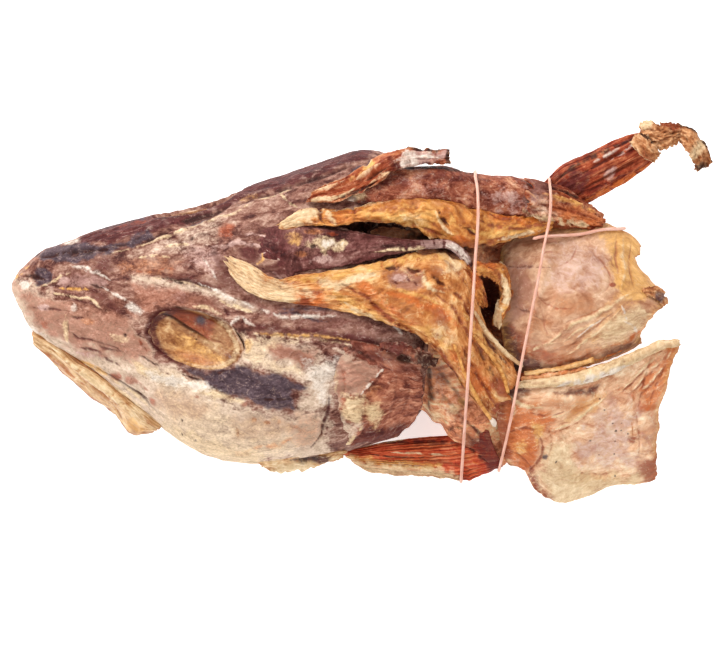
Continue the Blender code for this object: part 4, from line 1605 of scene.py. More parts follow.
        brow = [
            streak([(-110, 20.4), (-102, 19.4), (-92, 20.4), (-86, 20)], 1.1, Tone.RUST, 0.6),
            streak([(-104, 25.6), (-96, 26.4), (-88, 25.6)], 0.9, Tone.CREAM, 0.7),
            ridge([(-92, 30.4), (-84, 32), (-78, 31)], 0.9, 0.5, Tone.CREAM, 0.8),
            ridge([(-74, 26), (-70, 20.6), (-66.6, 14.4)], 0.6, 0.4, Tone.WHITE, 0.9),
            streak([(-93, 16.3), (-88, 15.4), (-82, 13.3)], 0.9, Tone.UMBER, 1.2),
            ridge([(-76, 13.8), (-70, 12), (-64, 8.4), (-54, 4.4), (-48.5, 2)], 0.8, 0.6, Tone.WHITE, 1.0),
            lip([(-62, 8), (-70, 11.4), (-80, 14), (-92, 16.6), (-104, 17)], 1.3, 0.8, Tone.CREAM, 0.6),
            Stain((-84, 7), (8, 6), Tone.MAUVE, -10, 0.6),
            crease([(-71, 30), (-64.6, 30), (-56, 31.2)], 0.6, 0.4, Tone.MAUVE, 0.6),
            ridge([(-71, 29.9), (-64.6, 30.6), (-55.5, 32.5), (-48.5, 30.6), (-42, 27.9)], 1.1, 0.6,
                  Tone.LILAC, 1.1),
            ridge([(-49, 24), (-45, 27.4), (-40, 27.6), (-37, 24)], 1.0, 0.6, Tone.LILAC, 0.9),
            streak([(-48, 22.6), (-45.4, 25), (-46, 28)], 0.9, Tone.GOLD, 0.8),
            ridge([(-58.5, 35.5), (-51.5, 36.8), (-43.4, 35)], 0.7, 0.4, Tone.LILAC, 0.9),
            crease([(-38.4, 56.2), (-34.6, 52.6), (-28.8, 48.4)], 0.5, 0.5, Tone.CREAM, 1.2),
            streak([(-42, 20), (-39, 17.4), (-36, 15.4)], 0.7, Tone.LILAC, 0.8),
            streak([(-66, 6), (-58, 2.6), (-50, 0.4)], 1.2, Tone.CREAM, 0.8),
            crease([(-64, 2.4), (-61, -1.6)], 1.2, 0.5, Tone.MAROON, 0.8),
            ridge([(-62, -5.6), (-56, -2.8), (-49, -6.4)], 1.1, 0.8, Tone.WHITE, 1.1),
            crease([(-61, -7.1), (-55, -8), (-49, -7.6)], 1.0, 0.9, Tone.UMBER, 0.9),
            ridge([(-48, 2), (-42, 0.2), (-36, -2.4), (-28, -1.4), (-20, -1.6), (-10, -1.4)], 1.1, 0.8,
                  Tone.WHITE, 1.0),
            crease([(-44, -1.8), (-38, -0.4), (-30, -0.2), (-20, -3.6), (-14, -3.4)], 0.9, 0.8, Tone.SLATE,
                   1.0),
            streak([(-40, 2.4), (-26, 1.6), (-12, 1.6), (0, 0)], 1.0, Tone.SLATE, 0.7),
            streak([(-50, -9.4), (-36, -10.4), (-20, -11), (-4, -13)], 1.2, Tone.GOLD, 0.8),
            lip([(6, -17), (-8, -14), (-22, -12), (-36, -10.8), (-50, -10)], 1.3, 0.8),
            crease([(-15.6, -13.6), (-9.5, -14), (-5.5, -18), (2.5, -20), (7, -24.6)], 1.3, 1.2,
                   Tone.MAROON, 1.0),
            ridge([(-14, -16.4), (-8, -18.4), (-1, -22), (6, -25)], 1.2, 0.8, Tone.SAND, 0.9),
            Stain((20, -20.6), (9, 5), Tone.UMBER, -15, 1.1, -1.0),
            Stain((30, -22), (16, 6), Tone.SAND, -10, 0.7, 0.5, 1.0),
            ridge([(12, -3), (16, -6), (19, -10)], 1.3, 0.6, Tone.WHITE, 0.9),
        ]
        cheek = [
            crease([(-105, -19.5), (-97.4, -23), (-93, -25.4)], 0.7, 0.6, Tone.UMBER, 0.9),
            crease([(-84, -28.8), (-79, -30), (-73.6, -31.4)], 0.7, 0.6, Tone.UMBER, 1.2),
            crease([(-90, 1.8), (-96, -2), (-97.4, -8), (-95, -14), (-90.4, -19.4), (-84, -23.4),
                    (-79, -25.2)], 1.6, 0.8, Tone.MAROON, 1.3),
            crease([(-100.4, -9), (-97.6, -7.6)], 0.9, 0.7, Tone.MAROON, 1.2),
            streak([(-91, 1.2), (-85, 1.8), (-78, 1.2)], 1.2, Tone.UMBER, 0.9),
            crease([(-61.4, -6.6), (-57, -9), (-55.6, -13.4), (-56, -17.6)], 1.1, 0.7, Tone.MAROON, 1.0),
            ridge([(-78, 3.2), (-72, 2.4), (-65, -0.6)], 1.1, 0.5, Tone.CREAM, 0.9),
            Stain((-52.4, -16), (5, 8), Tone.GOLD, 10, 0.7),
            crease([(-70, -27.6), (-66, -28), (-61.6, -25.8)], 0.8, 0.7, Tone.UMBER, 1.1),
            crease([(-49, -40), (-41, -40.6), (-32, -40.4)], 0.8, 0.7, Tone.UMBER, 1.1),
            ridge([(-65, -30.4), (-58, -30), (-52, -32)], 0.7, 0.4, Tone.LILAC, 0.9),
            Stain((-46, -34), (12, 5), Tone.MAUVE, 20, 0.8),
            Stain((-28, -34.6), (4, 4), Tone.MAUVE, 0, 1.0),
            streak([(-78, -38.6), (-73.6, -40)], 1.1, Tone.ROSE, 1.0),
            crease([(-84, -50), (-83.4, -50.8)], 0.8, 0.5, Tone.UMBER, 1.2),
            crease([(-84, -56), (-83.4, -56.8)], 0.8, 0.5, Tone.UMBER, 1.2),
            crease([(-77.5, -59), (-77, -60)], 0.8, 0.5, Tone.SLATE, 1.2),
            Stain((-54.6, -42.6), (4, 3), Tone.ROSE, 0, 0.9),
            crease([(-58.4, -53), (-57, -58.6)], 1.3, 0.4, Tone.AMBER, 0.8),
            Stain((-50, -50), (3, 4), Tone.AMBER, 0, 0.7),
            Stain((-44, -51), (4, 2), Tone.AMBER, 0, 0.7),
            Stain((-38, -50), (3, 3), Tone.AMBER, 0, 0.6),
            streak([(-54, -64.4), (-46.5, -62), (-37, -60.6), (-32, -58.6)], 1.5, Tone.ORANGE, 0.7),
            Stain((-55, -66), (9, 4), Tone.AMBER, 0, 0.6),
            ridge([(-60, -57), (-44, -58), (-30, -56)], 1.5, 0.5, Tone.CREAM, 0.5),
            crease([(-15.4, -34), (-15.6, -46), (-17.6, -52), (-19, -57), (-23.6, -64)], 1.0, 1.1,
                   Tone.MAROON, 1.0),
            ridge([(-17, -46), (-19.4, -53), (-22, -59), (-26, -64)], 1.3, 0.8, Tone.SAND, 0.8),
        ]
        # Dents under the nape lip and the gill cover; the umber and maroon laid in them are painted shade.
        shade_under_pieces = [
            Stain((24, 22), (62, 52), None, 8, 0.0, -4.0, 0.1),
            crease([(-8, 41), (8, 40.5), (20, 38.5), (34, 35)], 4.6, 13.0, Tone.UMBER, 1.6),
            Area(Tone.UMBER, 1.4, [(8, 45), (24, 47), (42, 42), (42, 27), (22, 31), (8, 36)], 1.5),
            Stain((10, -40), (44, 48), Tone.MAROON, 0, 0.5, -3.0, 0.1),
        ]
        return zones + snout + jaw + dorsal + brow + cheek + shade_under_pieces

    def sockets(self, rings: Array) -> Array:
        """How deep each point lies in an eye socket.

        Args:
            rings: the skin's points, of shape (rings, around, 3).

        Returns:
            For each point, 1 within the near or the far socket's ellipse and 0 outside.
        """
        turn = math.radians(NEAR_EYE_TURN)
        x, y = rings[..., 0] - NEAR_EYE[0], rings[..., 1] - NEAR_EYE[1]
        along = (x * math.cos(turn) + y * math.sin(turn)) / (self.eye_size[0] / 2)
        across = (y * math.cos(turn) - x * math.sin(turn)) / (self.eye_size[1] / 2)
        wobble = 0.07 * fractal(rings[..., :2], 11.0, 19, 3)
        near = smoothstep(1.1, 0.88, np.hypot(along, across) + wobble)
        near = np.where(rings[..., 2] > self.near_above, near, 0)
        x = (rings[..., 0] - self.far_eye[0]) / (self.far_size[0] / 2)
        z = (rings[..., 2] - self.far_eye[1]) / (self.far_size[1] / 2)
        far = np.where(rings[..., 1] > self.far_beyond, smoothstep(1.1, 0.86, np.hypot(x, z)), 0)
        return np.maximum(near, far)

    def build(self) -> list[bpy.types.Object]:
        """The skin over the skull.

        Returns:
            The skin, in a list of one.
        """
        rings, grain, above = self.skin.rings()
        sculpt = Sculpt(rings, 11, above)
        place = grain * np.array([1.0, 1.25, 1.25])
        sculpt.lay(self.marks())
        x, y = rings[..., 0], rings[..., 1]
        belly = smoothstep(24, -4, y) * smoothstep(0, -26, x)
        sculpt.tint(Tone.SAND, 0.9 * belly, 1 - above)
        calm = 1 - 0.7 * np.clip(sculpt.tones[Tone.SAND], 0, 1)
        warp = np.stack([fractal(grain, 22.0, 31 + k, 2) for k in range(3)], axis=-1) * 6.0
        sculpt.swell(0.8 * fractal(place, 24.0, 41, 3))
        sculpt.swell(0.45 * calm * crinkle(place + warp, (22.0, 10.0, 10.0), 42, 3))
        sculpt.swell(0.20 * calm * fractal(place + warp, (5.0, 3.4, 3.4), 43, 4))
        socket = self.sockets(rings)
        rim = np.exp(-(((socket - 0.3) / 0.3) ** 2)) * (socket > 0)
        left = smoothstep(NEAR_EYE[0] + 2, NEAR_EYE[0] - 16, x)
        for tone in list(sculpt.tones):
            sculpt.clear(tone, smoothstep(0.0, 0.5, socket))
        sculpt.tint(Tone.MAROON, rim * left * 1.1)
        sculpt.tint(Tone.SAND, rim * (1 - left) * 0.45)
        sculpt.sink(8.6 * socket)
        return [HEAD_SKIN.dress(loft_piece(self.skin.name, rings, grain, sculpt))]


@dataclass
class Eye:
    """A dried eye: a sunken membrane in the socket, a bowl of rings about its middle."""

    name: str
    centre: Triple
    size: tuple[float, float]
    turn: float
    facing: Triple
    depth: float
    cuts: tuple[int, int] = (50, 140)
    seed: int = 71

    def build(self) -> bpy.types.Object:
        """The bowl: it lies below its rim by the depth times 1 - r^2.2.

        A lid fold crosses it, and behind the fold is a deeper chamber.

        Returns:
            The finished piece.
        """
        rings, around = self.cuts
        radius = np.linspace(0.02, 1.0, rings)[:, None]
        angle = np.linspace(0, 2 * math.pi, around)[None, :]
        along, across = radius * np.cos(angle), radius * np.sin(angle)
        up = np.array(self.facing) / np.linalg.norm(self.facing)
        turn = math.radians(self.turn)
        axis = np.array([math.cos(turn), math.sin(turn), 0.0])
        axis -= up * (axis @ up)
        axis /= np.linalg.norm(axis)
        side = np.cross(up, axis)
        wobble = np.stack([np.cos(angle[0]) * 9, np.sin(angle[0]) * 9], axis=1)
        uneven = 1 + 0.09 * fractal(wobble, 7.0, self.seed + 5, 3) * smoothstep(0.5, 1.0, radius)
        flat = np.stack([along * uneven * self.size[0] / 2, across * uneven * self.size[1] / 2], axis=-1)
        bowl = -self.depth * (1 - radius**2.2) * (1 + 0.2 * across)
        lid = across - 0.15 + 0.45 * along
        chamber = smoothstep(-0.02, 0.10, lid) * smoothstep(0.94, 0.80, radius)
        chamber = chamber * smoothstep(0.42, 0.16, along)
        rim = smoothstep(0.74, 0.84, radius) * smoothstep(0.96, 0.88, radius)
        lid_fold = 0.7 * np.exp(-(((lid + 0.05) / 0.07) ** 2)) * smoothstep(0.9, 0.7, radius)
        bowl = bowl - 1.0 * chamber + lid_fold
        bowl = bowl + 0.5 * rim * smoothstep(-0.6, 0.1, along)
        points = np.array(self.centre) + flat[..., :1] * axis + flat[..., 1:] * side + bowl[..., None] * up
        sculpt = Sculpt(points, self.seed, wander=0.2)
        noise_at = np.stack([along * 23, across * 12.5, radius * 8 * np.ones_like(along)], axis=-1)
        sculpt.swell(0.32 * fractal(noise_at, (8.0, 4.0, 5.0), self.seed, 5))
        sway = 0.05 * fractal(noise_at, 5.0, self.seed + 3, 3)
        left = smoothstep(-0.1, -0.6, along)
        edge = smoothstep(0.86, 0.97, radius + sway)
        sculpt.tint(Tone.SAND, edge * (1 - left) * 0.4)
        sculpt.tint(Tone.GOLD, smoothstep(0.05, -0.3, lid + sway) * (1 - 0.7 * left) * (1 - edge) * 0.5)
        sculpt.tint(Tone.AMBER, np.exp(-(((along - 0.1) / 0.5) ** 2) - (((across + 0.62) / 0.2) ** 2))
                    * 0.9)
        sculpt.tint(Tone.RUST, chamber * 0.8)
        sculpt.tint(Tone.MAROON, chamber * smoothstep(0.1, -0.4, along) * 0.6
                    + left * np.exp(-(((radius + sway - 0.88) / 0.08) ** 2)) * 1.3)
        sculpt.tint(Tone.UMBER, np.exp(-(((lid + sway - 0.03) / 0.06) ** 2)) * smoothstep(0.45, -0.1, along)
                    * 0.8 * smoothstep(1.0, 0.9, radius) + chamber * smoothstep(0.70, 0.86, radius + sway)
                    * 0.6)
        sculpt.tint(Tone.SLATE, np.exp(-(((along + 0.02 + sway) / 0.12) ** 2)
                                       - (((across - 0.66) / 0.18) ** 2)) * 1.1)
        sculpt.tint(Tone.CREAM, rim * smoothstep(-0.2, 0.5, along + 3 * sway) * 0.6)
        grain = np.stack([flat[..., 0], flat[..., 1], np.full(along.shape, 5.0 * self.seed)], axis=-1)
        thickness = np.full(along.shape, 0.8)
        return EYE_MEMBRANE.dress(shell_piece(self.name, points, thickness, grain, sculpt))


@dataclass
class Eyes:
    """Both eyes: the near one looks up, the far one looks towards the back of the fish."""

    near: Eye = field(default_factory=lambda: Eye("eye_near", (*NEAR_EYE, 60.0), (48.0, 28.4),
                                                  NEAR_EYE_TURN, (-0.17, -0.03, 1.0), 3.2))
    far: Eye = field(default_factory=lambda: Eye("eye_far", (-76.0, 47.8, 31.0), (44.0, 24.6), 15.0,
                                                 (-0.2, 1.0, 0.1), 3.0, seed=73))

    def build(self) -> list[bpy.types.Object]:
        """The two membranes."""
        return [self.near.build(), self.far.build()]


# ---------------------------------------------------------------- gill cover and shoulder


@dataclass
class GillCover:
    """The rear plate of the gill cover, which overhangs the shoulder, and the torn skin at its hinge."""

    plate: Leaf = field(default_factory=lambda: Leaf("gill_cover", [
        [(-31, -12, 57), (-20, -12, 63.5), (-8, -12, 66), (8, -15, 66), (20, -18.5, 63.5),
         (28.5, -22.5, 59.5)],
        [(-28, -28, 54), (-18, -28, 61), (-6, -28, 64.6), (10, -28, 63), (21, -29.5, 59.5),
         (29.5, -30.5, 56)],
        [(-25, -40, 49), (-15, -40.5, 56.5), (-4, -41, 60), (10, -40.5, 57.5), (21, -38.5, 54.5),
         (29.8, -38.5, 51.5)],
        [(-23, -52, 40), (-13, -52.3, 48.5), (-4, -52.5, 52.5), (9, -50.5, 50), (19, -46.5, 48.5),
         (27.5, -45.5, 45)],
        [(-20, -65, 24), (-11, -63.5, 34), (-4, -62, 39.5), (8, -60.6, 38), (16, -58.6, 38),
         (23, -52.5, 39.5)]],
        (172, 152), 2.0, (0.0, 0.03, 0.0, 0.04), 8.0, 31, 0.3))

    def marks(self) -> list[Laid]:
        """The bony edge, the pale and golden patches and the dark lines of the plate.

        Returns:
            What is laid, first to last.
        """
        return [
            Area(Tone.SAND, 1.0, [(-36, -8), (-16, -8), (-8, -18), (2, -23), (6, -28), (0, -36), (-8, -40),
                                  (-13, -48), (-16, -56), (-22, -70), (-36, -70)], 2.0),
            Area(Tone.SAND, 0.8, [(-9, -46), (-6, -50), (0.5, -51), (-1.5, -55), (-7.5, -61), (-12, -66),
                                  (-10, -56)], 1.2),
            Area(Tone.ROSE, 0.8, [(-12, -20), (2, -22), (7, -28), (0, -36), (-6, -39), (-12, -42),
                                  (-13, -30)], 1.8),
            Area(Tone.MAUVE, 0.4, [(-16, -14), (-4, -13), (10, -17), (26, -21), (30, -27), (16, -27),
                                   (4, -24), (-6, -19)], 1.4),
            Area(Tone.MAROON, 0.9, [(-16, -43), (-10, -46), (-9, -55), (-10, -66), (-17, -66), (-18, -56)],
                 1.2),
            Area(Tone.MAROON, 0.75, [(3, -53), (12, -52), (20, -50), (24, -52), (14, -60), (2, -62),
                                     (-6, -64)], 1.4),
            Area(Tone.MAROON, 0.6, [(3, -16), (14, -18), (20, -22), (10, -24), (2, -21)], 1.2),
            Area(Tone.AMBER, 0.4, [(-1, -33), (8, -33), (11, -40), (8, -46), (2, -41)], 1.8),
            Area(Tone.GOLD, 0.45, [(1.5, -40), (8, -41), (9.4, -47), (7, -54), (3, -53), (0, -47)], 1.6),
            Area(Tone.CREAM, 0.8, [(-8, -37), (1, -39), (2, -45), (-1, -51), (-6, -51), (-8.4, -45)], 1.3),
            Area(Tone.CREAM, 0.7, [(2, -40), (8, -41), (9.4, -47), (7.4, -53), (3, -52), (1, -46)], 1.4),
            Area(Tone.WHITE, 0.75, [(-27, -21), (-11.5, -21), (-12.5, -30), (-15.6, -44), (-19, -44),
                                    (-20, -34), (-26, -29)], 2.0, 0.4),
            crease([(-15.4, -34), (-15.6, -47), (-18, -52), (-18.6, -56), (-23.6, -64)], 0.9, 1.0,
                   Tone.MAROON, 1.1),
            ridge([(9.1, -26.4), (4.6, -31.4), (-0.5, -37.6)], 0.7, 0.6, Tone.WHITE, 1.1),
            crease([(10.2, -27.6), (5.8, -32.4), (1.4, -37.6)], 0.8, 0.7, Tone.MAROON, 0.7),
            Stain((9.2, -26.2), (2.6, 2.4), Tone.WHITE, 0, 1.0, 0.6),
            ridge([(0.5, -51.3), (-1.5, -55.3), (-7.5, -61.4), (-11.5, -65.4)], 0.9, 0.7, Tone.CREAM, 1.0),
            crease([(2, -52.4), (0, -56.6), (-5.6, -62)], 0.9, 0.8, Tone.MAROON, 0.8),
            ridge([(-13, -22), (-11, -30), (-13, -40)], 1.0, 0.5, Tone.CREAM, 0.6),
            crease([(-10, -24), (-7, -32), (-9, -40)], 1.1, 0.6, Tone.RUST, 0.5),
            crease([(-9.5, -14), (-4, -17), (2.5, -20), (7, -24)], 1.1, 1.0, Tone.UMBER, 0.8),
            Stain((20, -21), (7, 4), Tone.UMBER, -12, 1.0, -0.8),
            Stain((27, -22), (12, 5), Tone.SAND, -8, 0.4, 0.3, 1.2),
            crease([(16, -28), (15.5, -38), (12, -50)], 1.1, 0.5, Tone.MAROON, 0.4),
            crease([(22, -28), (21.5, -38), (18, -49)], 0.9, 0.5, Tone.MAROON, 0.4),
            streak([(-14.6, -65.6), (2.5, -61.2), (12, -59.6), (19, -57)], 0.8, Tone.CREAM, 0.8),
            streak([(29.2, -26), (29.4, -36), (28.5, -44)], 0.9, Tone.UMBER, 1.0),
        ]

    def build(self) -> list[bpy.types.Object]:
        """The plate and the torn skin of its hinge.

        Returns:
            The finished pieces.
        """
        folds = [Fold(0.9, (26.0, 13.0)), Fold(0.35, (12.0, 3.4), True, sway=4.0), Fold(0.1, (3.0, 1.5))]
        torn = [Fold(1.2, (8.0, 4.0), True, sway=2.0), Fold(0.5, (4.0, 2.0), True)]
        hinge = strip("gill_hinge", [(8, -15.5, 67), (16, -16.5, 66.5), (24, -19, 64), (30, -21.5, 61),
                                     (35, -23, 57)], [(0, 2), (0.3, 7), (0.6, 9), (0.85, 8), (1, 3)], 1.4,
                      (110, 50), 1.6, 30, 0.3)
        return [self.plate.build(GILL_SKIN, folds, self.marks(), [(Tone.UMBER, 0.7, 0.5)]),
                hinge.build(GILL_SKIN, torn, [
                    Area(Tone.MAROON, 0.8, [(6, -12), (20, -13), (22, -22), (8, -20)], 1.6),
                    Stain((20, -21), (8, 5), Tone.UMBER, -12, 1.0, -0.8),
                    Stain((29, -21.5), (16, 7), Tone.UMBER, -15, 1.0),
                    Area(Tone.ROSE, 0.3, [(20, -17), (34, -20), (38, -26), (24, -26)], 1.4),
                ], [(Tone.MAROON, 0.5, 0.6)], 0.3)]


@dataclass
class Shoulder:
    """The neck and shoulder behind the gill cover, under the flesh and the flaps."""

    skin: Body = field(default_factory=lambda: Body(
        "shoulder_skin",
        back=[(-12, 56), (25, 60), (42, 60), (60, 58), (80, 57), (92, 56), (102, 50), (112, 42)],
        belly=[(-12, -50), (20, -48), (30.5, -46.3), (34, -51), (38, -52.8), (41, -57), (52, -65),
               (62, -71.5), (68, -71), (76, -58), (86, -40), (96, -14), (112, 22)],
        crown=[(-12, 56), (20, 55), (32, 52), (42, 49), (52, 44), (62, 36), (80, 30), (100, 28), (112, 25)],
        edge=[(-12, 25), (50, 23), (80, 20), (112, 20)],
        keel=[(-12, 4), (30, 6), (50, 8), (80, 9), (112, 14)],
        boxiness=2.3, cuts=(192, 172, 54)))

    def marks(self) -> list[Laid]:
        """The dark folds, the pale patches, the red streaks that run to the fin, and shade painted in the
        hollows and under the gill cover's edge.

        Returns:
            What is laid, first to last.
        """
        return [
            Stain((34, -27), (20, 14), Tone.SLATE, -20, 0.45),
            # Painted shade under the end of the skull ridge and the nape lip.
            Stain((38, 36), (34, 16), Tone.UMBER, -8, 1.4),
            # Painted shadow along the gill cover's overhanging rear edge.
            streak([(31, -22), (32, -34), (33, -46)], 2.0, Tone.UMBER, 0.75),
            Stain((36, -48), (9, 8), Tone.CREAM, -20, 0.6),
            Stain((44, -44.5), (9, 5), Tone.CREAM, 10, 0.75),
            Stain((48, -42), (7, 5), Tone.GOLD, -60, 0.6),
            crease([(34, -24), (40, -32), (47, -40), (54, -50)], 1.9, 0.8, Tone.UMBER, 0.4),
            crease([(33, -35), (40, -40), (46, -46)], 1.5, 0.6, Tone.MAROON, 0.4),
            ridge([(32, -40), (38, -44), (44, -49), (50, -54)], 1.8, 0.7, Tone.CREAM, 0.3),
            Stain((55, -63), (18, 13), Tone.MAROON, -45, 0.7),
            crease([(44, -51), (51, -58), (58, -66), (64, -70)], 1.6, 0.9, Tone.UMBER, 0.35),
            crease([(47, -49), (55, -56), (62, -64)], 1.2, 0.7, Tone.MAROON, 0.9),
            ridge([(45, -56), (52, -63), (60, -70)], 1.3, 0.6, Tone.RUST, 0.7),
            ridge([(54, -52), (60, -58), (66, -66)], 1.2, 0.6, Tone.ORANGE, 0.6),
            crease([(40.5, -56), (43, -54), (47, -54)], 0.9, 0.5, Tone.UMBER, 0.9),
            # Painted shade in the hollow between the flesh and the upper flap: umber in the dent and maroon
            # over it.
            Stain((61, 5), (18, 36), Tone.UMBER, 12, 0.6, -7.0, 0.2),
            Stain((61, 8), (14, 26), Tone.MAROON, 12, 1.2, 0.0, 0.4),
            Area(Tone.SAND, 0.25, [(28, -24), (40, -24), (52, -42), (50, -50), (40, -52), (30, -48)], 2.4),
            Stain((68, -18), (16, 12), Tone.MAROON, -35, 1.0),
            Stain((70, -32), (18, 10), Tone.RUST, 15, 1.0),
            Stain((72, -48), (16, 16), Tone.RUST, 0, 0.7),
        ]

    def build(self) -> list[bpy.types.Object]:
        """The skin of the neck and shoulder.

        Returns:
            The skin, in a list of one.
        """
        rings, grain, above = self.skin.rings()
        sculpt = Sculpt(rings, 13, above)
        folds = [Fold(1.1, (20.0, 11.0)), Fold(0.28, (9.0, 4.5), True, sway=5.0), Fold(0.14, (2.8, 1.9))]
        sculpt.fold(folds, grain, 131)
        sculpt.lay(self.marks())
        under = smoothstep(90, 40, rings[..., 0]) * smoothstep(-20, 30, rings[..., 1])
        sculpt.tint(Tone.MAUVE, 0.85 * under, 1 - above)
        return [SHOULDER_SKIN.dress(loft_piece(self.skin.name, rings, grain, sculpt))]


# ---------------------------------------------------------------- flesh, ridge and nape


